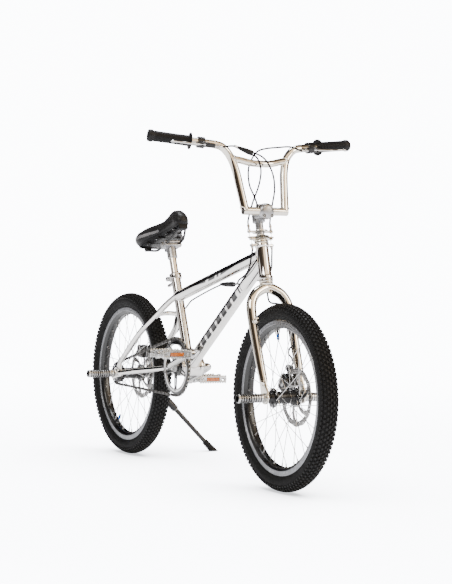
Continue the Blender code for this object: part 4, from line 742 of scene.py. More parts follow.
def peg(which, hub, side, hand, inner, outer, body):
    bm = bmesh.new()
    length = outer - inner
    cuts = [0.008 + (length - 0.016) * n / (PEG_GROOVES - 1) for n in range(PEG_GROOVES)]
    profile, mats = [(0, PEG_BORE_R), (0, 0.0108), (0.0012, PEG_R)], [0, 0]
    for c in cuts:
        profile += [(c - 0.0016, PEG_R), (c - 0.0013, 0.0111), (c + 0.0013, 0.0111), (c + 0.0016, PEG_R)]
        mats += [0, 1, 1, 1]
    profile += [(length - 0.0048, PEG_R), (length - 0.0044, 0.0118), (length - 0.0008, 0.0116),
                (length, 0.0106), (length, PEG_BORE_R), (length - 0.03, PEG_BORE_R), (length - 0.031, 0)]
    mats += [0, 0, 0, 0, 2, 1, 1]
    lathe(bm, profile, hub + Y * side * inner, Y * side, 64, mats=mats)
    rod(bm, hub + Y * side * (outer - 0.031), hub + Y * side * (outer - 0.022), 0.0062, 6, mat=3)
    name = f"{which}_peg_{hand}"
    piece(name + "_sleeve", bm, (ALLOY, BLACK, PLASTIC, ZINC), body, (name,), hub, 24)


def axle(which, hub, half, body, nuts):
    bm = bmesh.new()
    profile = [(-half, 0), (-half, AXLE_R - 0.001), (-half + 0.001, AXLE_R - 0.0001)]
    for n in range(int(2 * half / THREAD_PITCH) - 2):
        a = -half + 0.0016 + THREAD_PITCH * n
        profile += [(a, AXLE_R - 0.0005), (a + THREAD_PITCH / 2, AXLE_R)]
    profile += [(half - 0.0005, AXLE_R - 0.001), (half, 0)]
    lathe(bm, profile, hub, Y, 32, 0)
    for low, high, side in nuts:
        lathe(bm, [(0, AXLE_R), (0, 0.0125), (0.0004, 0.0129), (0.0012, 0.0129), (0.0016, 0.0125),
                   (0.0016, AXLE_R)], hub + Y * side * low, Y * side, 40, 0, closed=True)
        hexagon(bm, hub + Y * side * (low + 0.0016), Y * side, 0.02, high - low - 0.0016, 1, AXLE_R)
    for side in (-1, 1):
        hexagon(bm, hub + Y * side * 0.0478, Y * side, 0.0175, 0.0055, 1, AXLE_R)
    piece(f"{which}_axle_set", bm, (ZINC, POLISHED), body, (f"{which}_axle",), hub, 26)


for which, hub, body, holder, valve in (("front", FRONT_HUB, "front_wheel", "steering", -13),
                                        ("rear", REAR_HUB, "rear_wheel", "frame", 208)):
    tyre(which, hub, body)
    rim(which, hub, body, valve)
    hub_shell(which, hub, body)
    rotor(which, hub, body)
    for side, hand in SIDES:
        peg(which, hub, side, hand, *PEG_ENDS[which], holder)
axle("front", FRONT_HUB, 0.088, "steering", ((0.0608, 0.0668, -1), (0.0608, 0.0668, 1)))
axle("rear", REAR_HUB, 0.09, "frame", ((0.0618, 0.0712, -1), (0.0651, 0.0712, 1)))


# Frame

# TT is the top tube and DT the down tube. SEAT_TOP is measured along the seat tube from BB, and the rest of
# that row from the middle plane to the right and left.
TT_SEAT, TT_HEAD = Vector((0.33, 0, 0.5075)), Vector((0.8375, 0, 0.638))
DT_HEAD = Vector((0.8405, 0, 0.621))
HEAD_R, SEAT_TUBE_R, TT_R, DT_R, STAY_R = 0.0175, 0.0143, 0.0165, 0.0185, 0.0085
BB_R, BB_HALF, POST_R = 0.0275, 0.034, 0.0111
SEAT_TOP, REAR_GAP, DROPOUT_Y, STOP_Y = 0.276, 0.055, 0.0585, 0.0305
# How far the black blocks stand off the tubes.
DECAL_LIFT = 0.00022


def tube_patch(bm, start, axis, radius, side, corners, mat=0, steps=(10, 10)):
    """A thin closed patch on a tube. corners are (along, degrees above the side), in order round it."""
    axis = Vector(axis).normalized()
    up = (Z - axis * axis.z).normalized()
    nu, nv = steps
    layers = []
    for r in (radius + DECAL_LIFT, radius - 0.0006):
        grid = []
        for i in range(nu + 1):
            row = []
            for j in range(nv + 1):
                s, t = i / nu, j / nv
                a, b, c, d = corners
                along = (a[0] * (1 - s) + b[0] * s) * (1 - t) + (d[0] * (1 - s) + c[0] * s) * t
                angle = math.radians((a[1] * (1 - s) + b[1] * s) * (1 - t) + (d[1] * (1 - s) + c[1] * s) * t)
                row.append(bm.verts.new(Vector(start) + axis * along
                                        + (Y * side * math.cos(angle) + up * math.sin(angle)) * r))
            grid.append(row)
        layers.append(grid)
    top, low = layers
    for grid in layers:
        for i in range(nu):
            for j in range(nv):
                bm.faces.new((grid[i][j], grid[i + 1][j], grid[i + 1][j + 1],
                              grid[i][j + 1])).material_index = mat
    edge = [(i, 0) for i in range(nu)] + [(nu, j) for j in range(nv)]
    edge += [(i, nv) for i in range(nu, 0, -1)] + [(0, j) for j in range(nv, 0, -1)]
    for (i, j), (k, m) in zip(edge, edge[1:] + edge[:1]):
        bm.faces.new((top[i][j], top[k][m], low[k][m], low[i][j])).material_index = mat


def frame_tubes():
    bm = bmesh.new()
    head = (HEAD_TOP - HEAD_BOTTOM).length
    lathe(bm, [(0, 0.0155), (0, 0.0192), (0.0015, 0.0197), (0.0075, 0.0197), (0.0095, 0.0182),
               (0.0125, HEAD_R), (head - 0.0125, HEAD_R), (head - 0.0095, 0.0182), (head - 0.0075, 0.0197),
               (head - 0.0015, 0.0197), (head, 0.0192), (head, 0.0155)], HEAD_BOTTOM, STEER_AXIS, 64,
          closed=True)
    lathe(bm, [(-BB_HALF, 0.024), (-BB_HALF, BB_R - 0.0006), (-BB_HALF + 0.001, BB_R),
               (-BB_HALF + 0.009, BB_R), (-BB_HALF + 0.0105, BB_R - 0.0008),
               (BB_HALF - 0.0105, BB_R - 0.0008), (BB_HALF - 0.009, BB_R), (BB_HALF - 0.001, BB_R),
               (BB_HALF, BB_R - 0.0006), (BB_HALF, 0.024)], BB, Y, 64, closed=True)
    lathe(bm, [(0, SEAT_TUBE_R), (SEAT_TOP - 0.001, SEAT_TUBE_R), (SEAT_TOP, SEAT_TUBE_R - 0.0008),
               (SEAT_TOP, POST_R + 0.0006), (0.06, POST_R + 0.0006)], BB, SEAT_AXIS, 48)
    for a, b, r in ((TT_SEAT, TT_HEAD, TT_R), (BB, DT_HEAD, DT_R)):
        rod(bm, a, b, r, 56)
    top, down = TT_HEAD - TT_SEAT, DT_HEAD - BB
    weld_bead(bm, TT_SEAT, top, TT_R, HEAD_BOTTOM, STEER_AXIS, HEAD_R, 0.0021)
    weld_bead(bm, BB + down * 0.3, down, DT_R, HEAD_BOTTOM, STEER_AXIS, HEAD_R, 0.0022)
    weld_bead(bm, DT_HEAD, -down, DT_R, BB, Y, BB_R, 0.0021)
    weld_bead(bm, seat(0.2), -SEAT_AXIS, SEAT_TUBE_R, BB, Y, BB_R, 0.0019)
    weld_bead(bm, TT_HEAD, -top, TT_R, BB, SEAT_AXIS, SEAT_TUBE_R, 0.0019)
    weld_bead(bm, TT_HEAD, -top, TT_R * 0.8, BB, SEAT_AXIS, SEAT_TUBE_R, 0.0016)
    plate(bm, [[(0.814, 0.612), (0.704, 0.529), (0.745, 0.5445), (0.836, 0.589)],
               circle((0.7905, 0.5835), 0.0075, 24)], 0.003, on_side(0, 0, 0), 0, 0.0008)
    for s in (-1, 1):
        seam = [(0.708, s * 0.0034, 0.5318), (0.76, s * 0.0034, 0.57), (0.812, s * 0.0034, 0.6095)]
        bead(bm, smooth_route(seam, 16), 0.0016, 0.25, 250)
    for s in (-1, 1):
        chain = [side_y(p, s) for p in ((0.4, 0.02, 0.302), (0.345, 0.0275, 0.2955), (0.29, 0.034, 0.289),
                                        (0.225, 0.0475, 0.281), (0.15, 0.057, 0.2725),
                                        (0.045, DROPOUT_Y, 0.26))]
        upper = [side_y(p, s) for p in ((0.335, 0.006, 0.512), (0.296, 0.021, 0.484), (0.245, 0.04, 0.44),
                                        (0.19, 0.056, 0.396), (0.11, DROPOUT_Y, 0.338),
                                        (0.05, DROPOUT_Y, 0.295))]
        for stay in (chain, upper):
            pipe(bm, smooth_route(stay, 10), lambda t: STAY_R * (1.05 - 0.16 * max(0, t - 0.8) / 0.2), 28)
        weld_bead(bm, chain[1], chain[0] - chain[1], STAY_R * 1.05, BB, Y, BB_R, 0.0016)
        weld_bead(bm, upper[1], upper[0] - upper[1], STAY_R * 1.05, BB, SEAT_AXIS, SEAT_TUBE_R, 0.0016)
        hull = [*circle((0, WHEEL_R), 0.0165, 22, 100, 275), (0.03, 0.246), (0.06, 0.251), (0.0665, 0.2585),
                (0.066, 0.266), (0.05, 0.272), (0.051, 0.28), (0.058, 0.292), (0.0665, 0.299), (0.066, 0.305),
                (0.058, 0.308), (0.05, 0.308), (0.03, 0.293), (0.012, 0.276)]
        plate(bm, [hull, circle((0, WHEEL_R), AXLE_R + 0.0003, 30), circle((0.035, 0.266), 0.0065, 24)],
              0.003, on_side(0, s * (REAR_GAP + 0.0035), 0), 0, 0.0007)
        for near, far in ((chain[-1], chain[-2]), (upper[-1], upper[-2])):
            way = (near - far).normalized()
            for lift in (-1, 1):
                rise = way.cross(Y) * STAY_R * 0.72 * lift
                pipe(bm, [far.lerp(near, 0.72) + rise + Y * s * 0.0005, near + rise * 0.96 + Y * s * 0.0005],
                     0.0013, 8)
    for end, middle in (((0.258, 0.036, 0.4515), (0.262, 0, 0.454)),
                        ((0.3, 0.034, 0.2905), (0.304, 0, 0.2905))):
        pipe(bm, smooth_route([side_y(end, -1), middle, end], 10), 0.007, 24)
    for s in (-1, 1):
        for spot in ((0.258, s * 0.0275, 0.452), (0.3, s * 0.0255, 0.2905)):
            bead(bm, around(Vector(spot), X, Z, 0.0074, 40), 0.0013, 0.2, 110, closed=True)
    mount = [(-0.008, 0.262), (0.04, 0.276), (0.052, 0.292), (0.048, 0.318), (0.044, 0.3225), (0.03, 0.324),
             (0.0265, 0.32), (0.024, 0.303), (-0.01, 0.3)]
    plate(bm, [mount, circle((0.037, 0.311), 0.0042, 20), circle((0.006, 0.285), 0.0055, 20)], 0.002,
          on_side(0, REAR_GAP + 0.003, 0), 0, 0.0006)
    for s in (-1, 1):
        place = Matrix.Translation(steer(-0.004)) @ columns(FORWARD, Y, STEER_AXIS)
        tab = [(-0.0055, s * 0.014), (-0.0055, s * 0.0305),
               *[(u, s * v) for u, v in circle((0, 0.031), 0.0055, 12, 180, 0)], (0.0055, s * 0.014)]
        plate(bm, [tab, circle((0, s * STOP_Y), 0.0027, 16)], 0.0025, place, 0, 0.0006)
    decals(bm)
    piece("frame_tubes", bm, (CHROME_FRAME, DECAL, RECESS_SHADE), "frame", ("frame",))


def decals(bm):
    """Plain black blocks and stripes on the down tube and top tube, in place of any lettering."""
    top, down = TT_HEAD - TT_SEAT, DT_HEAD - BB
    for s in (-1, 1):
        for n in range(7):
            a = 0.128 + n * 0.0375
            tube_patch(bm, BB, down, DT_R, s, ((a, -48), (a + 0.026, -48), (a + 0.034, 44), (a + 0.008, 44)),
                       1)
        for a, b in ((0.396, 0.403), (0.409, 0.412)):
            tube_patch(bm, BB, down, DT_R, s, ((a, -48), (b, -48), (b + 0.008, 44), (a + 0.008, 44)), 1)
        for corners, steps in ((((0.05, 22), (0.205, -20), (0.225, 56), (0.075, 56)), (24, 8)),
                               (((0.222, -24), (0.262, -24), (0.282, 56), (0.242, 56)), (10, 10)),
                               (((0.274, -24), (0.286, -24), (0.306, 56), (0.294, 56)), (10, 10)),
                               (((0.298, -24), (0.45, 14), (0.462, 56), (0.318, 56)), (24, 8))):
            tube_patch(bm, TT_SEAT, top, TT_R, s, corners, 1, steps)


def headset():
    for name, start, axis in (("upper", HEAD_TOP, STEER_AXIS), ("lower", HEAD_BOTTOM, -STEER_AXIS)):
        bm = bmesh.new()
        lathe(bm, [(0.0003, 0.0153), (0.0003, 0.0193), (0.0008, 0.0197), (0.0024, 0.0199), (0.003, 0.0195),
                   (0.0034, 0.0187), (0.0052, 0.0187), (0.0056, 0.0192), (0.0078, 0.019), (0.0086, 0.0184),
                   (0.0088, 0.015), (0.0088, 0.0146)], start, axis, 64)
        lathe(bm, [(0.004, 0.0188), (0.004, 0.0191), (0.0049, 0.0191), (0.0049, 0.0188)], start, axis, 64, 1)
        piece(f"{name}_race_cup", bm, (CHROME, PLASTIC), "frame", (f"{name}_headset_cup",), start)
    bm = bmesh.new()
    for low, high, r in ((0.0094, 0.0103, 0.0172), (0.0104, 0.0113, 0.0182)):
        lathe(bm, [(low, 0.0148), (low, r - 0.0003), (low + 0.0003, r), (high - 0.0003, r),
                   (high, r - 0.0003), (high, 0.0148)], HEAD_TOP, STEER_AXIS, 6 if r > 0.018 else 48)
    piece("top_locknut", bm, (CHROME,), "steering", ("headset_locknut",), HEAD_TOP, 20)


def bottom_cups():
    for s, hand in SIDES:
        bm = bmesh.new()
        start = BB + Y * s * BB_HALF
        lathe(bm, [(0.0003, 0.022), (0.0003, 0.0272), (0.0009, 0.0277), (0.003, 0.0277), (0.0041, 0.0262),
                   (0.0043, 0.02), (0.0038, 0.0192), (0.0038, 0.016), (0.0043, 0.0152), (0.0043, 0.0106),
                   (0.002, 0.0104)], start, Y * s, 72)
        lathe(bm, [(0.003, 0.0156), (0.0046, 0.0154), (0.0047, 0.0106), (0.003, 0.0104)], start, Y * s, 48, 1)
        for n in range(8):
            out = wheel_direction(45 * n)
            rod(bm, start + out * 0.0232 + Y * s * 0.003, start + out * 0.0232 + Y * s * 0.00445, 0.0013, 10,
                mat=1)
        piece(f"bottom_cup_{hand}", bm, (ALLOY, PLASTIC), "frame", (f"bottom_bracket_cup_{hand}",),
              start)


frame_tubes()
headset()
bottom_cups()


# Fork, stem, handlebar and grips

FORK_GAP = 0.05


def fork():
    bm = bmesh.new()
    lathe(bm, [(0.024, 0.0114), (0.024, 0.014), (0.0234, 0.0143), (-0.126, 0.0143)], HEAD_TOP, STEER_AXIS, 40)
    pipe(bm, around(steer(0.0235), FORWARD, Y, 0.0128, 40), 0.0014, 8, closed=True)
    race = HEAD_BOTTOM - STEER_AXIS * 0.0126
    lathe(bm, [(0, 0.012), (0, 0.018), (0.0006, 0.019), (0.0016, 0.019), (0.003, 0.0168), (0.0036, 0.0165),
               (0.0036, 0.012)], race, STEER_AXIS, 48)
    lathe(bm, [(-0.128, 0.013), (-0.1265, 0.0158), (-0.124, 0.0164), (-0.1195, 0.0164), (-0.1165, 0.018),
               (-0.1135, 0.0186)], HEAD_TOP, STEER_AXIS, 48)
    for s in (-1, 1):
        leg = smooth_route([steer(-0.1235, 0.001, s * 0.003), steer(-0.131, 0.002, s * 0.022),
                            steer(-0.146, 0.003, s * 0.043), steer(-0.176, 0.004, s * 0.0575),
                            steer(-0.23, 0.007, s * 0.06), steer(-0.33, 0.016, s * 0.059),
                            steer(-0.388, 0.0215, s * 0.0575)], 12)
        pipe(bm, leg, lambda t: 0.0145 * (1 - 0.24 * t ** 2), 36)
        orb(bm, leg[-1], (0.0111, 0.009, 0.015), aim(STEER_AXIS), 0, 24)
        low = steer(-0.38, 0.02)
        hub = FRONT_HUB
        outline = [(low.x - 0.0145, low.z + 0.012), (low.x - 0.004, low.z + 0.016),
                   (low.x + 0.008, low.z + 0.01), (hub.x + 0.0155, hub.z + 0.016),
                   *circle((hub.x, hub.z), 0.0165, 18, 30, -165), (low.x - 0.0148, low.z - 0.002)]
        plate(bm, [outline, circle((hub.x, hub.z), AXLE_R + 0.0003, 30)], 0.003,
              on_side(0, s * (FORK_GAP + 0.0075), 0), 0, 0.0007)
        boss = steer(-0.222, 0.007, s * 0.06)
        lathe(bm, [(0.008, 0.0085), (0.0125, 0.0068), (0.0145, 0.0062), (0.027, 0.0062), (0.028, 0.0054),
                   (0.028, 0.004)], boss, FORWARD, 28)
        lathe(bm, [(0.0279, 0.0042), (0.0262, 0.004), (0.0262, 0)], boss, FORWARD, 20, 1)
        ring = around(boss + FORWARD * 0.0138, Y, STEER_AXIS, 0.0066, 32)
        bead(bm, ring, 0.0012, 0.2, 90, closed=True)
        seam = [steer(-0.1245 - 0.0002 * n, 0.0132 * math.cos(math.radians(a)),
                      s * (0.0125 + 0.0015 * math.sin(n))) for n, a in enumerate(range(-90, 91, 12))]
        bead(bm, seam, 0.0014, 0.2, 120)
    tab = [(-0.0165, -0.025), (0.0165, -0.02), (0.0165, 0.02), (0.009, 0.025), (-0.0165, 0.025)]
    turn = columns(FORWARD, STEER_AXIS, FORWARD.cross(STEER_AXIS))
    place = Matrix.Translation(steer(-0.375, 0.004, FORK_GAP + 0.0075)) @ turn
    plate(bm, [tab, circle((-0.008, 0.014), 0.004, 16)], 0.0025, place, 0, 0.0006)
    rod(bm, steer(-0.1375, 0.0155), steer(-0.1375, 0.0182), 0.0052, 24, mat=0, round_by=0.0006)
    # A dark disc in the boss's hole: painted shade.
    rod(bm, steer(-0.1375, 0.017), steer(-0.1375, 0.01835), 0.0034, 20, mat=1)
    piece("fork_weldment", bm, (CHROME, RECESS_SHADE), "steering", ("fork",))


def stem():
    bm = bmesh.new()
    rod(bm, steer(-0.055), steer(0.066), 0.0109, 40)
    lathe(bm, [(0.0615, 0.011), (0.062, 0.0166), (0.0632, 0.0178), (0.095, 0.0178), (0.0975, 0.0166),
               (0.0985, 0.014), (0.0985, 0.0102), (0.0965, 0.0096), (0.0965, 0.0052)], HEAD_TOP, STEER_AXIS,
          56)
    lathe(bm, [(0.0966, 0.009), (0.0995, 0.0088), (0.1002, 0.008), (0.1002, 0.0056), (0.096, 0.005)],
          HEAD_TOP, STEER_AXIS, 6, 1)
    top = steer(0.08)
    reach = BAR_CENTRE - top
    along = reach.normalized()
    up = -along.cross(Y)
    sections = []
    for t, half, tall, drop in ((0.1, 0.0168, 0.015, 0), (0.3, 0.0158, 0.0138, 0), (0.52, 0.016, 0.0142, 0),
                                (0.72, 0.018, 0.0165, 0), (0.9, 0.0208, 0.0188, 0.0004)):
        ring = []
        for n in range(40):
            a = 2 * math.pi * n / 40
            c, d = math.cos(a), math.sin(a)
            q = 0.42
            ring.append(top + reach * t + Y * half * swell(c, q) + up * (tall * swell(d, q) - drop))
        sections.append(ring)
    skin(bm, sections, False, True, 0)
    box(bm, BAR_CENTRE - X * 0.0092, (0.017, 0.0418, 0.0398), None, 0.0032, 0, 4)
    for y in (-0.0125, 0.0125):
        for z in (-0.0145, 0.0145):
            rod(bm, BAR_CENTRE + Vector((-0.0172, y, z)), BAR_CENTRE + Vector((-0.0186, y, z)), 0.0036, 20,
                mat=1)
    piece("stem_body", bm, (CAST, ZINC), "steering", ("stem",), BAR_CENTRE, 40)
    bm = bmesh.new()
    sections = []
    for x, half, power in ((0.0006, 0.0222, 0.8), (0.005, 0.0226, 0.85), (0.009, 0.0222, 0.92),
                           (0.0128, 0.0208, 0.97), (0.0158, 0.0182, 1.0), (0.018, 0.0145, 1.0),
                           (0.0193, 0.0095, 1.0), (0.0199, 0.003, 1.0)):
        ring = []
        for n in range(64):
            a = 2 * math.pi * n / 64
            c, d = math.cos(a), math.sin(a)
            ring.append(BAR_CENTRE + Vector((x, half * swell(c, power), half * swell(d, power))))
        sections.append(ring)
    skin(bm, sections, False, True, 0)
    for y in (-0.0118, 0.0118):
        foot = BAR_CENTRE + Vector((0, y, -0.0115))
        lathe(bm, [(0.012, 0.0056), (0.0182, 0.0056), (0.019, 0.0051), (0.0189, 0.0044), (0.018, 0.0043)],
              foot, X, 36, 0)
        # A dark disc in each bolt's hole: painted shade.
        rod(bm, foot + X * 0.015, foot + X * 0.0187, 0.0044, 32, mat=1)
        rod(bm, foot + X * 0.016, foot + X * 0.019, 0.0022, 6, mat=2)
    for y in (-0.0108, 0.0108):
        rod(bm, BAR_CENTRE + Vector((0.012, y, 0.0118)), BAR_CENTRE + Vector((0.0176, y, 0.0118)), 0.0034, 28,
            mat=0, round_by=0.0008)
    piece("stem_front_cap", bm, (CAST, RECESS_SHADE, ZINC), "steering", ("stem_cap",), BAR_CENTRE, 40)


BAR_ROUTE = [(0.846, 0.062, 0.757), (0.829, 0.0685, 0.812), (0.8135, 0.0755, 0.864), (0.803, 0.088, 0.902),
             (0.799, 0.11, 0.927), (0.7958, 0.134, 0.9347), (0.7926, 0.149, 0.9362), (0.7558, 0.312, 0.953)]
CROSS_ROUTE = [(0.806, 0.086, 0.898), (0.812, 0.06, 0.8935), (0.819, 0.03, 0.887), (0.8215, 0.0, 0.8855)]
GRIP_INNER, GRIP_OUTER = 0.2, 0.316
LEVER_Y, LEVER_PIVOT, LEVER_DROP = 0.172, 0.026, math.radians(14)


def bar_at(y, side=1):
    a, b = Vector(BAR_ROUTE[-2]), Vector(BAR_ROUTE[-1])
    return side_y(a.lerp(b, (y - a.y) / (b.y - a.y)), side), side_y((b - a).normalized(), side)


def lever_frame(side, y):
    centre, along = bar_at(y, side)
    ahead = Vector((math.cos(LEVER_DROP), 0, -math.sin(LEVER_DROP)))
    ahead = (ahead - along * ahead.dot(along)).normalized()
    return centre, along, ahead, along.cross(ahead) * side


def handlebar():
    bm = bmesh.new()
    lathe(bm, [(-0.069, 0.0085), (-0.069, 0.0104), (-0.0683, BAR_R), (0.0683, BAR_R), (0.069, 0.0104),
               (0.069, 0.0085)], BAR_CENTRE, Y, 48, closed=True)
    for s in (-1, 1):
        # Dark discs inside the bar's open ends: painted shade in the tube.
        lathe(bm, [(0.0691, 0.009), (0.0675, 0.0088), (0.0675, 0)], BAR_CENTRE, Y * s, 32, 1)
        for n in range(7):
            y = s * (0.0235 + n * 0.0024)
            pipe(bm, hoop(BAR_CENTRE, BAR_R, y, 48), 0.00028, 6, closed=True)
        route = [side_y(p, s) for p in smooth_route(BAR_ROUTE, 12)]
        pipe(bm, route, BAR_R, 36)
        start, run = route[10], route[0] - route[10]
        weld_bead(bm, start, run, BAR_R, BAR_CENTRE, Y, BAR_R, 0.0017)
        post = Vector(CROSS_ROUTE[0])
        weld_bead(bm, side_y(CROSS_ROUTE[1], s), side_y(CROSS_ROUTE[0], s) - side_y(CROSS_ROUTE[1], s),
                  0.0095, side_y(post, s), side_y(Vector(BAR_ROUTE[3]) - Vector(BAR_ROUTE[2]), s), BAR_R,
                  0.0016)
    cross = [side_y(p, -1) for p in CROSS_ROUTE] + [Vector(p) for p in reversed(CROSS_ROUTE[:-1])]
    cross = smooth_route(cross, 12)
    pipe(bm, cross, 0.0095, 32)
    piece("handlebar_tubes", bm, (CHROME, RECESS_SHADE), "steering", ("handlebar",), BAR_CENTRE)


def grip(side, hand):
    """A ribbed rubber grip with a flange inside, waffle rows and a rounded end."""
    start, along = bar_at(GRIP_INNER, side)
    length = (bar_at(GRIP_OUTER, side)[0] - start).length
    bm = bmesh.new()
    profile = [(0.0002, BAR_R + 0.0004), (0, 0.0222), (0.0008, 0.0231), (0.0022, 0.0233), (0.0032, 0.0226),
               (0.004, 0.0172), (0.0052, 0.015)]
    spot = 0.0065
    while spot < length - 0.019:
        r = 0.0139 + 0.0006 * ((spot / length - 0.45) * 2) ** 2
        profile += [(spot, r), (spot + 0.0004, r + 0.0009), (spot + 0.0014, r + 0.0009), (spot + 0.0018, r)]
        spot += 0.0031
    profile += [(length - 0.0175, 0.0146), (length - 0.012, 0.016), (length - 0.007, 0.0167),
                (length - 0.003, 0.0166), (length - 0.0008, 0.0154), (length, 0.013),
                (length + 0.0004, 0.006), (length + 0.0004, 0)]
    lathe(bm, profile, start, along, 72)
    for n in range(8):
        out = aim(along) @ Vector((math.cos(n * math.pi / 4), math.sin(n * math.pi / 4), 0))
        box(bm, start + along * (length - 0.0095) + out * 0.0162, (0.0062, 0.0034, 0.0016),
            axes(along, out.cross(along)), 0.0004)
    piece(f"grip_sleeve_{hand}", bm, (GRIP,), "steering", (f"grip_{hand}",), start, 28)


fork()
stem()
handlebar()
for side_sign, side_name in SIDES:
    grip(side_sign, side_name)


# Drive: crank, chainring, chain, freewheel and pedals

# CRANK_ANGLE is the right arm's angle above level; PITCH is the chain's, from roller to roller.
CRANK_LENGTH, CRANK_ANGLE, CRANK_Y, CHAIN_Y = 0.163, math.radians(17.3), 0.078, -0.045
PITCH, RING_TEETH, COG_TEETH, TOOTH_DEPTH = 0.0127, 42, 16, 0.0034
RING_R = PITCH / (2 * math.sin(math.pi / RING_TEETH))
COG_R = PITCH / (2 * math.sin(math.pi / COG_TEETH))


def crank_direction(side):
    sign = 1 if side < 0 else -1
    return Vector((sign * math.cos(CRANK_ANGLE), 0, sign * math.sin(CRANK_ANGLE)))


def pedal_point(side):
    return BB + crank_direction(side) * CRANK_LENGTH + Y * side * CRANK_Y


def tooth_outline(teeth, pitch_r):
    """A sprocket's edge: rounded roots for the rollers and narrow tips."""
    points, root = [], pitch_r - TOOTH_DEPTH
    for n in range(teeth):
        base = 360 * n / teeth
        step = 360 / teeth
        for share, r in ((-0.3, root), (-0.18, root - 0.0006), (0, root - 0.0008), (0.18, root - 0.0006),
                         (0.3, root), (0.42, pitch_r + 0.0012), (0.47, pitch_r + 0.0026),
                         (0.53, pitch_r + 0.0026), (0.58, pitch_r + 0.0012)):
            a = math.radians(base + step * share)
            points.append((r * math.cos(a), r * math.sin(a)))
    return points


def crank():
    bm = bmesh.new()
    lathe(bm, [(-0.062, 0.0094), (-0.0615, 0.01), (-0.052, 0.01), (-0.05, 0.0112), (0.05, 0.0112),
               (0.052, 0.01), (0.0615, 0.01), (0.062, 0.0094)], BB, Y, 40)
    for s, _ in SIDES:
        out = crank_direction(s)
        route = smooth_route([BB + Y * s * 0.054, BB + Y * s * 0.0665 + out * 0.01,
                              BB + Y * s * 0.073 + out * 0.04, BB + Y * s * (CRANK_Y - 0.0005) + out * 0.1,
                              BB + Y * s * CRANK_Y + out * (CRANK_LENGTH - 0.006)], 12)
        pipe(bm, route, lambda t: 0.0104 - 0.0016 * t, 32)
        end = pedal_point(s)
        lathe(bm, [(-0.0086, 0.008), (-0.0086, 0.0138), (-0.0076, 0.015), (0.0076, 0.015), (0.0086, 0.0138),
                   (0.0086, 0.008)], end, Y * s, 44)
        lathe(bm, [(-0.0088, 0), (-0.0088, 0.0062), (-0.008, 0.0078), (0.0088, 0.0078)], end, Y * s, 32, 1)
        # A dark hexagon: painted shade in a socket.
        rod(bm, end - Y * s * 0.009, end - Y * s * 0.0087, 0.0032, 6, mat=2)
        place = Matrix.Translation(end + Y * s * 0.011) @ aim(Y * s).to_4x4()
        plate(bm, [circle((0, 0), 0.01, 6), ], 0.002, place, 1, 0.0005)
        lathe(bm, [(0.013, 0.0088), (0.0134, 0.007), (0.094, 0.0066), (0.094, 0)], end, Y * s, 24, 1)
    piece("one_piece_crank", bm, (POLISHED, ZINC, RECESS_SHADE), "crank", ("crank",), BB)

    bm = bmesh.new()
    centre = BB + Y * CHAIN_Y
    place = on_side(*centre)
    inner = RING_R - 0.015
    plate(bm, [tooth_outline(RING_TEETH, RING_R), circle((0, 0), inner, 90)], 0.0011, place, 0, 0.00035)
    ring = Matrix.Translation(Y * -0.0008) @ place
    plate(bm, [circle((0, 0), inner + 0.0042, 96), circle((0, 0), inner - 0.0045, 96)], 0.0012, ring, 1,
          0.0004)
    for n in range(5):
        a = 36 + 72 * n
        out = wheel_direction(a)
        u, v = out.x, out.z
        arm = [(u * r + v * w, v * r - u * w) for r,
               w in ((0.016, 0.011), (0.034, 0.0078), (0.056, 0.0066), (0.07, 0.0072), (0.0735, 0.0035),
                     (0.0735, -0.0035), (0.07, -0.0072), (0.056, -0.0066), (0.034, -0.0078), (0.016, -0.011))]
        slot = [(u * r + v * w, v * r - u * w) for r,
                w in ((0.034, 0.003), (0.058, 0.0026), (0.0605, 0.0), (0.058, -0.0026), (0.034, -0.003),
                      (0.0315, 0))]
        plate(bm, [arm, slot], 0.0012, Matrix.Translation(Y * -0.0002) @ place, 2, 0.0004)
        spot = centre + out * 0.0682
        bolt(bm, spot + Y * -0.0008, -Y, 0.0042, 0.0022, 3, 4)
        bolt(bm, spot + Y * 0.0009, Y, 0.0046, 0.0014, 3)
    plate(bm, [circle((0, 0), 0.024, 64), circle((0, 0), 0.0103, 40)], 0.0014, place, 2, 0.0004)
    rod(bm, centre + crank_direction(-1) * 0.0185 - Y * 0.014, centre + crank_direction(-1) * 0.0185 + Y
        * 0.001, 0.0038, 20, mat=3, round_by=0.0005)
    lathe(bm, [(-0.0014, 0.0103), (-0.0058, 0.0104), (-0.0058, 0.015), (-0.005, 0.0158), (-0.0014, 0.0158)],
          centre, Y, 40, 3)
    piece("chainring_set", bm, (BLACK, POLISHED, BLACK_SATIN, ZINC, RECESS_SHADE), "crank", ("chainring",),
          BB)


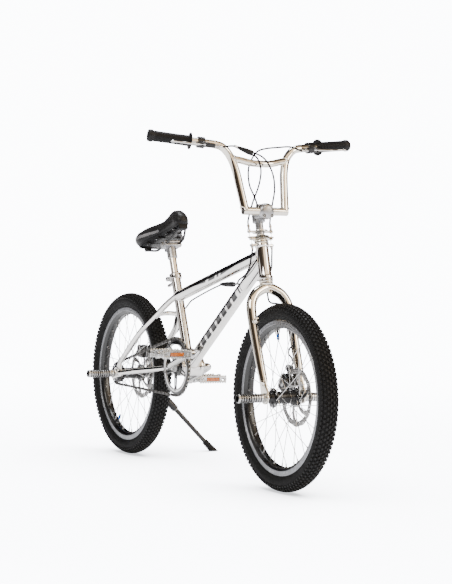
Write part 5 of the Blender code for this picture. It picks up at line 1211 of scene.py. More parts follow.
def chain():
    """Inner and outer plates on rollers along the chain's loop."""
    span = Vector((BB.x, BB.z)) - Vector((REAR_HUB.x, REAR_HUB.z))
    slope = math.atan2(span.y, span.x)
    wrap = math.asin((RING_R - COG_R) / span.length)
    up_angle, down_angle = slope + math.pi / 2 + wrap, slope - math.pi / 2 - wrap
    ring_at = lambda a: Vector((BB.x + RING_R * math.cos(a), BB.z + RING_R * math.sin(a)))
    cog_at = lambda a: Vector((REAR_HUB.x + COG_R * math.cos(a), REAR_HUB.z + COG_R * math.sin(a)))
    loop = [ring_at(up_angle + (down_angle - up_angle) * n / 200) for n in range(201)]
    cog_start, cog_end = down_angle + 2 * math.pi, up_angle
    bottom_a, bottom_b = loop[-1], cog_at(cog_start)
    for n in range(1, 100):
        loop.append(bottom_a.lerp(bottom_b, n / 100))
    loop += [cog_at(cog_start + (cog_end - cog_start) * n / 60) for n in range(61)]
    top_a, top_b = loop[-1], loop[0]
    for n in range(1, 100):
        loop.append(top_a.lerp(top_b, n / 100))
    lengths = [0.0]
    for a, b in zip(loop, loop[1:] + loop[:1]):
        lengths.append(lengths[-1] + (b - a).length)
    count = 2 * round(lengths[-1] / PITCH / 2)
    pins, spot = [], 0
    for n in range(count):
        goal = lengths[-1] * n / count
        while lengths[spot + 1] < goal:
            spot += 1
        t = (goal - lengths[spot]) / (lengths[spot + 1] - lengths[spot])
        p = loop[spot].lerp(loop[(spot + 1) % len(loop)], t)
        pins.append(Vector((p.x, CHAIN_Y, p.y)))
    bm = bmesh.new()
    for n, pin in enumerate(pins):
        after = pins[(n + 1) % count]
        along = (after - pin).normalized()
        half = (after - pin).length / 2
        rod(bm, pin - Y * 0.0016, pin + Y * 0.0016, 0.0038, 12, mat=1)
        rod(bm, pin - Y * 0.0043, pin + Y * 0.0043, 0.0017, 8, mat=2)
        offset = 0.0021 if n % 2 else 0.0033
        shape = [*circle((half, 0), 0.0038, 7, -80, 80), (0, 0.0027),
                 *circle((-half, 0), 0.0038, 7, 100, 260), (0, -0.0027)]
        middle = (pin + after) / 2
        for y in (-offset, offset):
            rings = []
            for t in (-0.0005, 0.0005):
                rings.append([middle + along * u + along.cross(Y) * w + Y * (y + t) for u, w in shape])
            skin(bm, rings, False, True, 0)
    piece("chain_links", bm, (CHAIN_STEEL, ZINC, DARK_STEEL), "frame", ("chain",), None, 30)

    bm = bmesh.new()
    centre = REAR_HUB + Y * CHAIN_Y
    plate(bm, [tooth_outline(COG_TEETH, COG_R), circle((0, 0), 0.016, 48)], 0.0011, on_side(*centre), 0,
          0.0003)
    lathe(bm, [(-0.0055, 0.0156), (-0.0055, 0.0208), (-0.0048, 0.0219), (-0.0016, 0.0226), (-0.0014, 0.025),
               (0.0014, 0.025), (0.002, 0.0238), (0.0078, 0.0236), (0.0085, 0.0228), (0.0085, 0.0156)],
          centre, Y, 56, 1, closed=True)
    lathe(bm, [(-0.0057, 0.016), (-0.0057, 0.0186), (-0.0052, 0.019), (-0.004, 0.019)], centre, Y, 40, 2)
    # Four dark blocks in the body's notches: painted shade.
    for n in range(4):
        out = wheel_direction(45 + 90 * n)
        box(bm, centre + out * 0.0176 - Y * 0.0054, (0.004, 0.0012, 0.0034), axes(out, Y), 0.0002, 3)
    piece("freewheel_cog", bm, (CHAIN_STEEL, DARK_STEEL, ZINC, RECESS_SHADE), "freewheel", ("freewheel",),
          REAR_HUB)


def pedal(side, hand):
    """A cage pedal with toothed rails, a barrel, end caps and a reflector in each rail."""
    axis = pedal_point(side)
    centre = axis + Y * side * 0.062
    bm = bmesh.new()
    lathe(bm, [(-0.048, 0.0084), (-0.048, 0.0122), (-0.0472, 0.013), (-0.041, 0.013), (-0.0395, 0.0116),
               (0.036, 0.0116), (0.0375, 0.013), (0.0452, 0.013), (0.046, 0.0122), (0.046, 0.009)], centre,
          Y * side, 40)
    lathe(bm, [(0.044, 0.0092), (0.0466, 0.0088), (0.048, 0.007), (0.0484, 0)], centre, Y * side, 32, 2)
    for lead in (-1, 1):
        rail = []
        teeth = 11
        for n in range(teeth):
            y0 = -0.046 + 0.092 * n / teeth
            step = 0.092 / teeth
            rail += [(y0 + step * 0.12, 0.0092), (y0 + step * 0.3, 0.012), (y0 + step * 0.7, 0.012),
                     (y0 + step * 0.88, 0.0092)]
        outline = rail + [(y, -z) for y, z in reversed(rail)]
        hole = [(-0.0225, -0.0062), (0.0225, -0.0062), (0.0225, 0.0062), (-0.0225, 0.0062)]
        holes = [circle((y, 0), 0.0042, 18) for y in (-0.0335, 0.0335)]
        upright = Matrix(((0, 0, 1, 0), (1, 0, 0, 0), (0, 1, 0, 0), (0, 0, 0, 1)))
        place = Matrix.Translation(centre + X * lead * 0.0405) @ upright
        plate(bm, [outline, hole, *holes], 0.0011, place, 0, 0.0003)
        for across in (-0.038, 0, 0.038):
            for lift in (-1, 1):
                pipe(bm, smooth_route([centre + X * lead * 0.011 + Y * across + Z * lift * 0.005,
                                       centre + X * lead * 0.024 + Y * across + Z * lift * 0.0064,
                                       centre + X * lead * 0.04 + Y * across + Z * lift * 0.0074], 6), 0.0024,
                     12)
            if across:
                rod(bm, centre + X * lead * 0.0412 + Y * across, centre + X * lead * 0.0428 + Y * across,
                    0.0031, 18, mat=2, round_by=0.0004)
        box(bm, centre + X * lead * 0.0385, (0.0056, 0.044, 0.0118), None, 0.0008, 1)
        box(bm, centre + X * lead * 0.0405, (0.0034, 0.0422, 0.0104), None, 0.0008, 3)
    for across in (-0.046, 0.046):
        for lead in (-1, 1):
            pipe(bm, smooth_route([centre + X * lead * 0.0395 + Y * across * 0.985,
                                   centre + X * lead * 0.03 + Y * across,
                                   centre + X * lead * 0.012 + Y * across * 0.98], 6), 0.0022, 12)
    piece(f"pedal_cage_{hand}", bm, (ALLOY, PLASTIC, ZINC, AMBER), f"{hand}_pedal", (f"pedal_{hand}",),
          axis, 30)


crank()
chain()
for side_sign, side_name in SIDES:
    pedal(side_sign, side_name)


# Levers, gyro, cables and brakes

# How far up the steering axis each plate of the gyro is, how far to each side its cables end, and their
# housings' radius.
TOP_PLATE, UPPER_RING, LOWER_RING, EAR_Y, CABLE_R = 0.0335, 0.017, 0.012, 0.0345, 0.0025
# Each caliper's angle round the wheel in degrees, its arm's plane, and its middle's distance from the hub.
FRONT_CALIPER, REAR_CALIPER, ARM_Y, REACH = -60, 4, 0.0625, 0.069
EAR_TIP_R, SLEEVE_R = 0.0055, 0.0031


def lever_pivot(side):
    centre, _, ahead, _ = lever_frame(side, LEVER_Y - 0.004)
    return centre + ahead * LEVER_PIVOT


def cable_exit(side):
    centre, along, ahead, _ = lever_frame(side, LEVER_Y)
    return centre + ahead * 0.027 - along * 0.0335, -along


def lever(side, hand):
    centre, along, ahead, up = lever_frame(side, LEVER_Y)
    pivot = lever_pivot(side)
    bm = bmesh.new()
    lathe(bm, [(-0.01, BAR_R + 0.0005), (-0.01, 0.0146), (-0.0088, 0.0157), (0.0088, 0.0157), (0.01, 0.0146),
               (0.01, BAR_R + 0.0005)], centre, along, 48, closed=True)
    turn = axes(along, ahead)
    for lift in (-1, 1):
        outline = [(-0.015, 0.0105), (0.007, 0.0105), (0.011, 0.019), (0.0105, 0.029), (0.004, 0.0345),
                   (-0.003, 0.0345), (-0.012, 0.0325), (-0.0315, 0.0325), (-0.033, 0.03), (-0.033, 0.0235),
                   (-0.03, 0.0215), (-0.02, 0.0205)]
        place = Matrix.Translation(centre + up * lift * 0.0046) @ turn.to_4x4()
        plate(bm, [outline], 0.0014, place, 0, 0.0007)
    box(bm, centre - along * 0.0215 + ahead * 0.027, (0.023, 0.0108, 0.01), turn, 0.0026, 0, 4)
    box(bm, centre - along * 0.003 + ahead * 0.015, (0.02, 0.01, 0.01), turn, 0.0022, 0, 4)
    # Dark hexagons at the pivot's ends: painted shade in their sockets.
    for lift in (-1, 1):
        rod(bm, pivot + up * lift * 0.0056, pivot + up * lift * 0.0074, 0.0046, 24, mat=1, round_by=0.0005)
        rod(bm, pivot + up * lift * 0.0074, pivot + up * lift * 0.0076, 0.0022, 6, mat=2)
    rod(bm, pivot - up * 0.0056, pivot + up * 0.0056, 0.0021, 16, mat=1)
    bolt(bm, centre - ahead * 0.0148 + along * 0.0005, -ahead, 0.0034, 0.0024, 1, 2)
    # A dark line round the clamp: painted shade in a groove.
    pipe(bm, [centre - along * 0.0092 + (ahead * math.cos(a) + up * math.sin(a)) * 0.0158
              for a in (math.radians(d) for d in range(120, 241, 8))], 0.0005, 6, mat=2)
    piece(f"lever_clamp_{hand}", bm, (ANODISED, ZINC, RECESS_SHADE), "steering", (f"brake_lever_body_{hand}",),
          centre, 34)

    start, out = cable_exit(side)
    bm = bmesh.new()
    profile = [(-0.006, 0.0026), (-0.001, 0.0031), (0.0, 0.0046), (0.0004, 0.005)]
    spot = 0.0006
    while spot < 0.008:
        profile += [(spot, 0.005), (spot + 0.0003, 0.0053), (spot + 0.0006, 0.0053), (spot + 0.0009, 0.005)]
        spot += 0.0011
    profile += [(0.0086, 0.0046), (0.0088, 0.0034), (0.012, 0.0033), (0.0124, 0.0028), (0.0124, 0.0012)]
    lathe(bm, profile, start, out, 32)
    for n in range(10):
        radial = aim(out) @ Vector((math.cos(n * math.pi / 5), math.sin(n * math.pi / 5), 0))
        box(bm, start + out * 0.0044 + radial * 0.005, (0.0074, 0.0012, 0.001), axes(out, radial.cross(out)),
            0.0002)
    piece(f"lever_barrel_{hand}", bm, (POLISHED,), "steering", (), start, 30)

    bm = bmesh.new()
    lathe(bm, [(-0.0026, 0.0024), (-0.0026, 0.006), (-0.002, 0.0067), (0.002, 0.0067), (0.0026, 0.006),
               (0.0026, 0.0024)], pivot, up, 32, closed=True)
    route = smooth_route([pivot + along * 0.002, pivot + along * 0.02 + ahead * 0.01,
                          pivot + along * 0.045 + ahead * 0.019, pivot + along * 0.07 + ahead * 0.02,
                          pivot + along * 0.0925 + ahead * 0.0245], 12)
    rings = []
    for n, point in enumerate(route):
        t = n / (len(route) - 1)
        way = heading(route, n)
        over = up.cross(way).normalized()
        wide = 0.0052 - 0.0008 * math.sin(t * math.pi)
        deep = 0.0026 + 0.0003 * t
        if t > 0.92:
            share = (t - 0.92) / 0.08
            wide = 0.0052 + 0.0012 * math.sin(share * math.pi * 0.5)
        ring = []
        for k in range(24):
            a = 2 * math.pi * k / 24
            c, s = math.cos(a), math.sin(a)
            ring.append(point + over * wide * swell(c, 0.7) + up * deep * swell(s, 0.6))
        rings.append(ring)
    skin(bm, rings, False, True, 0)
    orb(bm, route[-1], (0.0066, 0.0062, 0.0036), axes(along, ahead), 1, 24)
    # A dark strip along the blade's top: painted shade standing for its channel.
    channel = [p + up * 0.00275 for p in route[14:40]]
    pipe(bm, channel, 0.0011, 8, mat=2, flat=0.5)
    piece(f"lever_blade_{hand}", bm, (POLISHED, ALLOY, DARK_STEEL), f"{hand}_lever",
          (f"brake_lever_blade_{hand}",), pivot, 34)


def ear_outline(ear, radius):
    """A round plate with an ear on each side for a cable's end."""
    swing = math.degrees(math.asin(EAR_TIP_R / radius)) + 6
    points = []
    for start in (90, 270):
        y = ear if start == 90 else -ear
        points += circle((0, y), EAR_TIP_R, 10, start - 82, start + 82)
        points += circle((0, 0), radius, 20, start + swing, start + 180 - swing)
    return points


def gyro():
    turn = columns(FORWARD, Y, STEER_AXIS)
    bm = bmesh.new()
    place = Matrix.Translation(steer(TOP_PLATE + 0.0015)) @ turn
    plate(bm, [ear_outline(EAR_Y, 0.0215), circle((0, 0), 0.015, 48)], 0.0015, place, 0, 0.0004)
    lathe(bm, [(0.0026, 0.015), (0.003, 0.0186), (0.0042, 0.0186), (0.0046, 0.0178), (0.0046, 0.015)],
          steer(TOP_PLATE), STEER_AXIS, 6, 0)
    for s in (-1, 1):
        foot = steer(TOP_PLATE + 0.003, 0, s * EAR_Y)
        profile = [(-0.006, 0.0014), (-0.006, 0.0024), (-0.0034, 0.0024), (-0.0034, 0.003), (0, 0.003),
                   (0, 0.004), (0.0005, 0.0044)]
        for n in range(5):
            profile += [(0.0008 + n * 0.0009, 0.0044), (0.0011 + n * 0.0009, 0.0046),
                        (0.0014 + n * 0.0009, 0.0044)]
        profile += [(0.0056, 0.0036), (0.0058, 0.0031), (0.0132, 0.0031), (0.0137, 0.0027), (0.0137, 0.001)]
        lathe(bm, profile, foot, STEER_AXIS, 28, 1)
        hexagon(bm, steer(TOP_PLATE - 0.0018, 0, s * EAR_Y), STEER_AXIS, 0.008, 0.0018, 1, 0.0025)
        lathe(bm, [(0.012, 0.0037), (0.012, 0.004), (0.017, 0.004), (0.0176, 0.0034), (0.0176, 0.0022)], foot,
              STEER_AXIS, 24, 1)
    piece("gyro_plate", bm, (CHROME, POLISHED), "steering", ("gyro_top_plate",), steer(TOP_PLATE),
          30)

    for name, along, ear, sign, body in (("upper", UPPER_RING, EAR_Y, 1, "upper_ring"),
                                         ("lower", LOWER_RING, STOP_Y, -1, "lower_ring")):
        bm = bmesh.new()
        place = Matrix.Translation(steer(along + 0.00175)) @ turn
        plate(bm, [ear_outline(ear, 0.0225), circle((0, 0), 0.016, 48)], 0.00165, place, 0, 0.0004)
        lathe(bm, [(0.0004, 0.016), (0.0004, 0.023), (0.001, 0.0233), (0.0026, 0.0233), (0.0032, 0.023),
                   (0.0032, 0.016)], steer(along), STEER_AXIS, 56, 1, closed=True)
        for s in (-1, 1):
            spot = steer(along, 0, s * ear)
            orb(bm, spot + STEER_AXIS * (0.001 if sign > 0 else 0.003), (0.003, 0.003, 0.0026), None, 2, 16)
            wire = 0.03 if sign > 0 else 0.02
            rod(bm, spot, spot + STEER_AXIS * wire * sign, 0.0008, 10, mat=3)
        piece(f"gyro_{name}_disc", bm, (CHROME, BLACK, ZINC, SPOKE_STEEL), body, (f"gyro_{name}_ring",),
              steer(along), 30)

    bm = bmesh.new()
    for s in (-1, 1):
        foot = steer(-0.0066, 0, s * STOP_Y)
        profile = [(0.006, 0.0012), (0.006, 0.0024), (0.0002, 0.0025), (0.0, 0.004)]
        for n in range(4):
            profile += [(-0.0004 - n * 0.0009, 0.004), (-0.0007 - n * 0.0009, 0.0043),
                        (-0.001 - n * 0.0009, 0.004)]
        profile += [(-0.0044, 0.0034), (-0.006, 0.0033), (-0.0064, 0.0028), (-0.0064, 0.001)]
        lathe(bm, profile, foot, STEER_AXIS, 24, 0)
        hexagon(bm, steer(-0.0014, 0, s * STOP_Y), STEER_AXIS, 0.0075, 0.0016, 0, 0.0026)
    piece("stop_adjusters", bm, (POLISHED,), "frame", (), steer(-0.004), 30)


UPPER_SPLIT = (Vector((0.84, -0.084, 0.9265)), Vector((0.8405, -0.04, 0.9125)))
LOWER_SPLIT = (Vector((0.599, 0.0, 0.55)), Vector((0.674, 0.0, 0.5515)))


def caliper_turn(angle):
    out = wheel_direction(angle)
    return Matrix((Y.cross(out), Y, out)).transposed()


def cable_end(hub, angle):
    along, _, out = caliper_turn(angle).col
    return hub + out * REACH + along * 0.033 + out * 0.032 + Y * (ARM_Y + 0.002)


FRONT_END, REAR_END = cable_end(FRONT_HUB, FRONT_CALIPER), cable_end(REAR_HUB, REAR_CALIPER)


def splitter(bm, start, end):
    """The ribbed rubber boot where one cable becomes two."""
    length = (end - start).length
    profile = [(-0.0035, 0.0026), (-0.003, 0.004), (0, 0.0044)]
    ribs = 7
    for n in range(ribs):
        a = length * (0.1 + 0.42 * n / ribs)
        r = 0.0047 + 0.0022 * n / ribs
        profile += [(a, r), (a + length * 0.022, r + 0.0007), (a + length * 0.036, r)]
    profile += [(length * 0.56, 0.0072), (length * 0.92, 0.0079), (length * 0.985, 0.0074), (length, 0.006),
                (length, 0)]
    lathe(bm, profile, start, end - start, 32, 1)


def sleeve(bm, end, inward, reach=0.01):
    """A metal ferrule on a cable's end."""
    inward = Vector(inward).normalized()
    lathe(bm, [(-0.0002, 0.001), (-0.0002, SLEEVE_R - 0.0003), (0.0004, SLEEVE_R), (reach * 0.3, SLEEVE_R),
               (reach * 0.34, SLEEVE_R - 0.0002), (reach * 0.95, SLEEVE_R - 0.0002),
               (reach, SLEEVE_R - 0.0005)], end, inward, 24, 2)


def cables():
    left_start, left_out = cable_exit(1)
    right_start, right_out = cable_exit(-1)
    front = [left_start + left_out * 0.0126, left_start + left_out * 0.022, (0.84, 0.08, 0.935),
             (0.844, 0.04, 0.932), (0.84, 0.0011, 0.927), (0.825, -0.016, 0.919), (0.807, -0.023, 0.899),
             (0.796, -0.027, 0.87), (0.79, -0.02, 0.83), (0.7905, -0.006, 0.801), steer(0.118), steer(0.095),
             steer(0.04), steer(-0.02), steer(-0.09), steer(-0.15), steer(-0.166, 0.003, 0.004),
             steer(-0.172, 0.013, 0.018), steer(-0.178, 0.022, 0.036), steer(-0.196, 0.024, 0.048),
             steer(-0.24, 0.026, 0.05), steer(-0.285, 0.0275, 0.048), steer(-0.297, 0.0145, 0.0405),
             steer(-0.307, -0.0025, 0.044), steer(-0.318, -0.0095, 0.056),
             FRONT_END + caliper_turn(FRONT_CALIPER).col[0] * 0.012, FRONT_END]
    right = [right_start + right_out * 0.0126, right_start + right_out * 0.022, (0.837, -0.1, 0.93),
             UPPER_SPLIT[0] + Vector((0, 0.005, -0.0015))]
    upper_a = [UPPER_SPLIT[1] + Vector((0, -0.006, -0.002)), (0.843, -0.026, 0.9), (0.845, -0.015, 0.868),
               (0.841, -0.018, 0.827), (0.83, -0.03, 0.78), (0.82, -0.0355, 0.742), steer(0.062, 0, -EAR_Y),
               steer(TOP_PLATE + 0.0172, 0, -EAR_Y)]
    upper_b = [UPPER_SPLIT[1] + Vector((0, -0.006, 0.0045)), (0.847, -0.015, 0.905), (0.851, 0.004, 0.886),
               (0.854, 0.019, 0.853), (0.853, 0.0245, 0.8145), (0.838, 0.0275, 0.779), (0.825, 0.031, 0.754),
               steer(0.062, 0, EAR_Y), steer(TOP_PLATE + 0.0172, 0, EAR_Y)]
    lower_a = [steer(-0.0075, 0, -STOP_Y), steer(-0.016, 0, -STOP_Y), (0.83, -0.032, 0.6273),
               (0.8215, -0.031, 0.6053), (0.795, -0.0275, 0.583), (0.75, -0.024, 0.566),
               (0.71, -0.0095, 0.5545), LOWER_SPLIT[1] + Vector((-0.005, -0.0034, 0))]
    lower_b = [steer(-0.0075, 0, STOP_Y), steer(-0.016, 0, STOP_Y), (0.83, 0.033, 0.6273),
               (0.829, 0.033, 0.6), (0.812, 0.031, 0.579), (0.775, 0.0275, 0.567), (0.735, 0.0205, 0.56),
               (0.705, 0.0095, 0.5545), LOWER_SPLIT[1] + Vector((-0.005, 0.0034, 0))]
    rear = [LOWER_SPLIT[0] + Vector((0.005, 0, 0)), (0.55, 0.001, 0.5375), (0.4966, 0.002, 0.5235),
            (0.42, 0.008, 0.504), (0.372, 0.018, 0.493), (0.33, 0.025, 0.474), (0.29, 0.0375, 0.464),
            (0.24, 0.056, 0.432), (0.19, 0.07, 0.399), (0.135, 0.07, 0.374), (0.09, 0.0655, 0.356),
            REAR_END + caliper_turn(REAR_CALIPER).col[0] * 0.012, REAR_END]
    mats = (HOUSING, GRIP, POLISHED, PLASTIC)
    bm = bmesh.new()
    path = smooth_route(front, 12)
    pipe(bm, path, CABLE_R, 18)
    sleeve(bm, path[0], path[1] - path[0])
    sleeve(bm, path[-1], path[-2] - path[-1])
    clip(bm, steer(-0.23, 0.0255, 0.05), STEER_AXIS)
    piece("front_cable_run", bm, mats, "steering", ("front_brake_cable",))
    bm = bmesh.new()
    for points in (right, upper_a, upper_b):
        pipe(bm, smooth_route(points, 12), CABLE_R, 18)
    splitter(bm, *UPPER_SPLIT)
    first = smooth_route(right, 12)
    sleeve(bm, first[0], first[1] - first[0])
    lathe(bm, [(-0.013, 0.0027), (-0.013, 0.0034), (-0.0125, 0.0038), (-0.0045, 0.0038), (-0.004, 0.0034),
               (-0.003, 0.0034)], UPPER_SPLIT[0], UPPER_SPLIT[1] - UPPER_SPLIT[0], 24, 2)
    for points in (upper_a, upper_b):
        path = smooth_route(points, 12)
        sleeve(bm, path[-1], path[-2] - path[-1], reach=0.009)
    piece("upper_cable_run", bm, mats, "steering", ("gyro_upper_cable",))
    bm = bmesh.new()
    for points in (lower_a, lower_b, rear):
        path = smooth_route(points, 12)
        pipe(bm, path, CABLE_R, 18)
    splitter(bm, *LOWER_SPLIT)
    for points in (lower_a, lower_b):
        path = smooth_route(points, 12)
        sleeve(bm, path[0], path[1] - path[0], reach=0.009)
    path = smooth_route(rear, 12)
    sleeve(bm, path[-1], path[-2] - path[-1])
    piece("rear_cable_run", bm, mats, "frame", ("rear_brake_cable",))


def clip(bm, spot, axis):
    """A small loop that holds a cable."""
    axis = Vector(axis).normalized()
    side = axis.orthogonal().normalized()
    over = axis.cross(side)
    ring = around(spot, side, over, 0.0034, 32)
    for shift in (-0.0015, -0.0005, 0.0005, 0.0015):
        pipe(bm, [p + axis * shift for p in ring], 0.0007, 8, mat=3, closed=True)


def caliper(which, hub, angle, outer_y, body):
    turn = caliper_turn(angle)
    along, _, out = turn.col
    middle = hub + out * REACH
    inner_y = 0.0285
    frame_turn = columns(along, out, along.cross(out))
    bm = bmesh.new()

    def slab(outline, low, high, mat=0, bevel=0.0012):
        place = Matrix.Translation(middle + Y * (low + high) / 2) @ frame_turn
        plate(bm, [outline], (high - low) / 2, place, mat, bevel)

    shape = [(-0.022, -0.012), (-0.016, -0.018), (0.016, -0.018), (0.022, -0.012), (0.022, 0.013),
             (0.0165, 0.018), (-0.0165, 0.018), (-0.022, 0.013)]
    slab(shape, inner_y, DISC_Y - 0.0024)
    slab(shape, DISC_Y + 0.0024, outer_y - 0.0002)
    bridge = [(-0.02, 0.0135), (0.02, 0.0135), (0.0165, 0.018), (-0.0165, 0.018)]
    slab(bridge, DISC_Y - 0.003, DISC_Y + 0.003, 0, 0.0003)
    for offset in (-0.0013, 0.0013):
        place = Matrix.Translation(middle + Y * (DISC_Y + offset * 1.35) - out * 0.004) @ frame_turn
        plate(bm, [circle((0, 0), 0.0105, 30)], 0.0006, place, 3, 0.0002)
    lathe(bm, [(outer_y - 0.0042, 0.015), (outer_y - 0.0002, 0.015), (ARM_Y - 0.0024, 0.0135),
               (ARM_Y - 0.0008, 0.0128), (ARM_Y - 0.0004, 0.011), (ARM_Y - 0.0004, 0)], middle, Y, 44)
    for n in range(12):
        way = out * math.cos(n * math.pi / 6) + along * math.sin(n * math.pi / 6)
        box(bm, middle + way * 0.014 + Y * (outer_y + 0.0012), (0.0022, 0.0034, 0.0016), axes(way, Y), 0.0004)
    for u in (-0.0165, 0.0165):
        for w in (-0.0125, 0.0125):
            spot = middle + along * u + out * w
            bolt(bm, spot + Y * (inner_y + 0.0004), -Y, 0.0031, 0.0022, 1, 4)
            rod(bm, spot + Y * (outer_y - 0.0006), spot + Y * (outer_y + 0.0008), 0.003, 6, mat=1)
    lathe(bm, [(inner_y + 0.0002, 0.0105), (inner_y - 0.0022, 0.01), (inner_y - 0.0028, 0.009),
               (inner_y - 0.0028, 0)], middle, Y, 32, 1)
    # A dark hexagon in the pivot's end: painted shade in its socket.
    rod(bm, middle + Y * (inner_y - 0.0029), middle + Y * (inner_y - 0.0027), 0.003, 6, mat=4)
    arm = [(0.014, 0.006), (0.027, 0.015), (0.033, 0.018), (0.033, 0.037), (0.0235, 0.037), (0.023, 0.024),
           (0.014, 0.017)]
    slab(arm, outer_y - 0.0066, outer_y + 0.0018, 0, 0.001)
    stop = middle + along * 0.0285 + out * 0.032 + Y * (ARM_Y + 0.002)
    slab([(0.0235, 0.026), (0.033, 0.026), (0.033, 0.0372), (0.0235, 0.0372)], outer_y + 0.0016,
         ARM_Y + 0.0058, 0, 0.001)
    profile = [(-0.006, 0.001), (-0.006, 0.0028), (-0.0046, 0.0028)]
    lathe(bm, profile, stop, along, 24, 1)
    for n in range(5):
        ring = 0.0005 + n * 0.0011
        lathe(bm, [(ring, 0.0034), (ring + 0.0002, 0.004), (ring + 0.0008, 0.004), (ring + 0.001, 0.0034)],
              stop, along, 28, 1, closed=True)
    lathe(bm, [(-0.0003, 0.001), (-0.0003, 0.0034), (0.0062, 0.0034), (0.0066, 0.0028), (0.0066, 0.002)],
          stop, along, 28, 1)
    piece(f"{which}_caliper_body", bm, (BLACK_SATIN, ZINC, RECESS_SHADE, DARK_STEEL, RECESS_SHADE), body,
          (f"{which}_caliper",), middle, 34)

    bm = bmesh.new()
    pivot = middle + Y * ARM_Y
    shape = [*circle((0, 0), 0.0088, 24, 118, 422), (0.0046, 0.015), (0.0042, 0.025),
             *circle((0, 0.032), 0.0058, 16, -40, 220), (-0.0042, 0.025), (-0.0046, 0.015)]
    place = Matrix.Translation(pivot + Y * 0.0021) @ frame_turn
    plate(bm, [shape], 0.0018, place, 0, 0.0005)
    bolt(bm, pivot + Y * 0.0036, Y, 0.0052, 0.0026, 1, 2)
    spot = pivot + out * 0.032
    lathe(bm, [(0.0002, 0.005), (0.0046, 0.005), (0.005, 0.0046), (0.005, 0)], spot, Y, 28, 1)
    hexagon(bm, spot + Y * 0.0048, Y, 0.007, 0.0022, 1)
    tail = smooth_route([spot + Y * 0.003 - along * 0.001, spot + Y * 0.003 - along * 0.009 - out * 0.001,
                         spot + Y * 0.0032 - along * 0.016 - out * 0.005], 8)
    pipe(bm, tail, 0.0007, 10, mat=3)
    rod(bm, tail[-1], tail[-1] + (tail[-1] - tail[-2]).normalized() * 0.005, 0.0013, 12, mat=1,
        round_by=0.0003)
    rod(bm, spot + Y * 0.003, spot + Y * 0.003 + along * 0.0185, 0.0007, 10, mat=3)
    coil = []
    for n in range(121):
        a = 2 * math.pi * 6 * n / 120
        coil.append(spot + Y * (0.003 + 0.0024 * math.cos(a)) + along * (0.0066 + 0.0054 * n / 120) + out
                    * 0.0024 * math.sin(a))
    pipe(bm, coil, 0.0004, 6, mat=1)
    piece(f"{which}_caliper_lever", bm, (BLACK, ZINC, RECESS_SHADE, SPOKE_STEEL), f"{which}_arm",
          (f"{which}_caliper_arm",), pivot, 30)


for side_sign, side_name in SIDES:
    lever(side_sign, side_name)
gyro()
cables()
caliper("front", FRONT_HUB, FRONT_CALIPER, FORK_GAP + 0.0046, "steering")
caliper("rear", REAR_HUB, REAR_CALIPER, REAR_GAP + 0.0002, "frame")


# Seat post, clamp, saddle and quick release

# TILT is how far the saddle's nose is up; its rails are clamped at RAIL_CLAMP.
TILT = math.radians(22)
RAIL_CLAMP = Vector((0.2705, 0, 0.661))
SADDLE_ALONG = Vector((math.cos(TILT), 0, math.sin(TILT)))
SADDLE_UP = Vector((-math.sin(TILT), 0, math.cos(TILT)))
QR_ALONG = SEAT_TOP + 0.008


def saddle(along, across, up):
    return RAIL_CLAMP + SADDLE_ALONG * along + Y * across + SADDLE_UP * up


SADDLE_TURN = Matrix((SADDLE_ALONG, Y, SADDLE_UP)).transposed()


def seat_collar():
    place = Matrix.Translation(seat(QR_ALONG)) @ columns(Y.cross(SEAT_AXIS), Y, SEAT_AXIS)
    slot, ear, back = 0.0016, 0.007, 0.029
    outline = [(-back, ear - 0.0015), (-back + 0.0015, ear), *circle((0, 0), 0.0175, 44, 156, -156),
               (-back + 0.0015, -ear), (-back, -ear + 0.0015), (-back, -slot),
               *circle((0, 0), POST_R + 0.0004, 44, -172, 172), (-back, slot)]
    bm = bmesh.new()
    plate(bm, [outline], 0.0077, place, 0, 0.0009)
    lathe(bm, [(0.0072, 0.0122), (0.0086, 0.0121), (0.0092, 0.0126), (0.0092, 0.015), (0.0084, 0.0158),
               (0.0076, 0.016)], seat(QR_ALONG), SEAT_AXIS, 48, closed=True)
    piece("seat_clamp_collar", bm, (POLISHED,), "frame", ("seat_collar",), seat(QR_ALONG), 30)

    start = seat(QR_ALONG, -0.0235, 0)
    bm = bmesh.new()
    rod(bm, start - Y * 0.019, start + Y * 0.019, 0.0025, 20, mat=1)
    lathe(bm, [(0.0075, 0.006), (0.0077, 0.0086), (0.0096, 0.0088), (0.0102, 0.008), (0.0106, 0.0078),
               (0.019, 0.008), (0.0202, 0.0072), (0.0206, 0.0058), (0.0206, 0)], start, Y, 36)
    lathe(bm, [(0.0206, 0.004), (0.0211, 0.0036), (0.0211, 0)], start, Y, 24, 1)
    lathe(bm, [(-0.0104, 0.003), (-0.0106, 0.0066), (-0.0114, 0.0072), (-0.018, 0.0072), (-0.0192, 0.0062),
               (-0.0195, 0.003), (-0.0195, 0)], start, Y, 12, 0)
    route = smooth_route([start + Y * 0.0165, start + Y * 0.018 + BACK * 0.016 - SEAT_AXIS * 0.001,
                          start + Y * 0.015 + BACK * 0.036 - SEAT_AXIS * 0.003,
                          start + Y * 0.008 + BACK * 0.05 - SEAT_AXIS * 0.004], 12)
    rings = []
    for n, point in enumerate(route):
        t = n / (len(route) - 1)
        way = heading(route, n)
        over = SEAT_AXIS.cross(way).normalized()
        wide, deep = 0.0068 - 0.0016 * t, 0.0028 - 0.0006 * t
        if t > 0.93:
            wide *= 1 - ((t - 0.93) / 0.07) ** 2 * 0.55
        rings.append([point + SEAT_AXIS * wide * math.cos(a) + over * deep * math.sin(a)
                      for a in (2 * math.pi * k / 24 for k in range(24))])
    skin(bm, rings, False, True, 0)
    piece("seat_release_lever", bm, (POLISHED, ZINC), "seat_lever", ("seat_quick_release",), start,
          34)


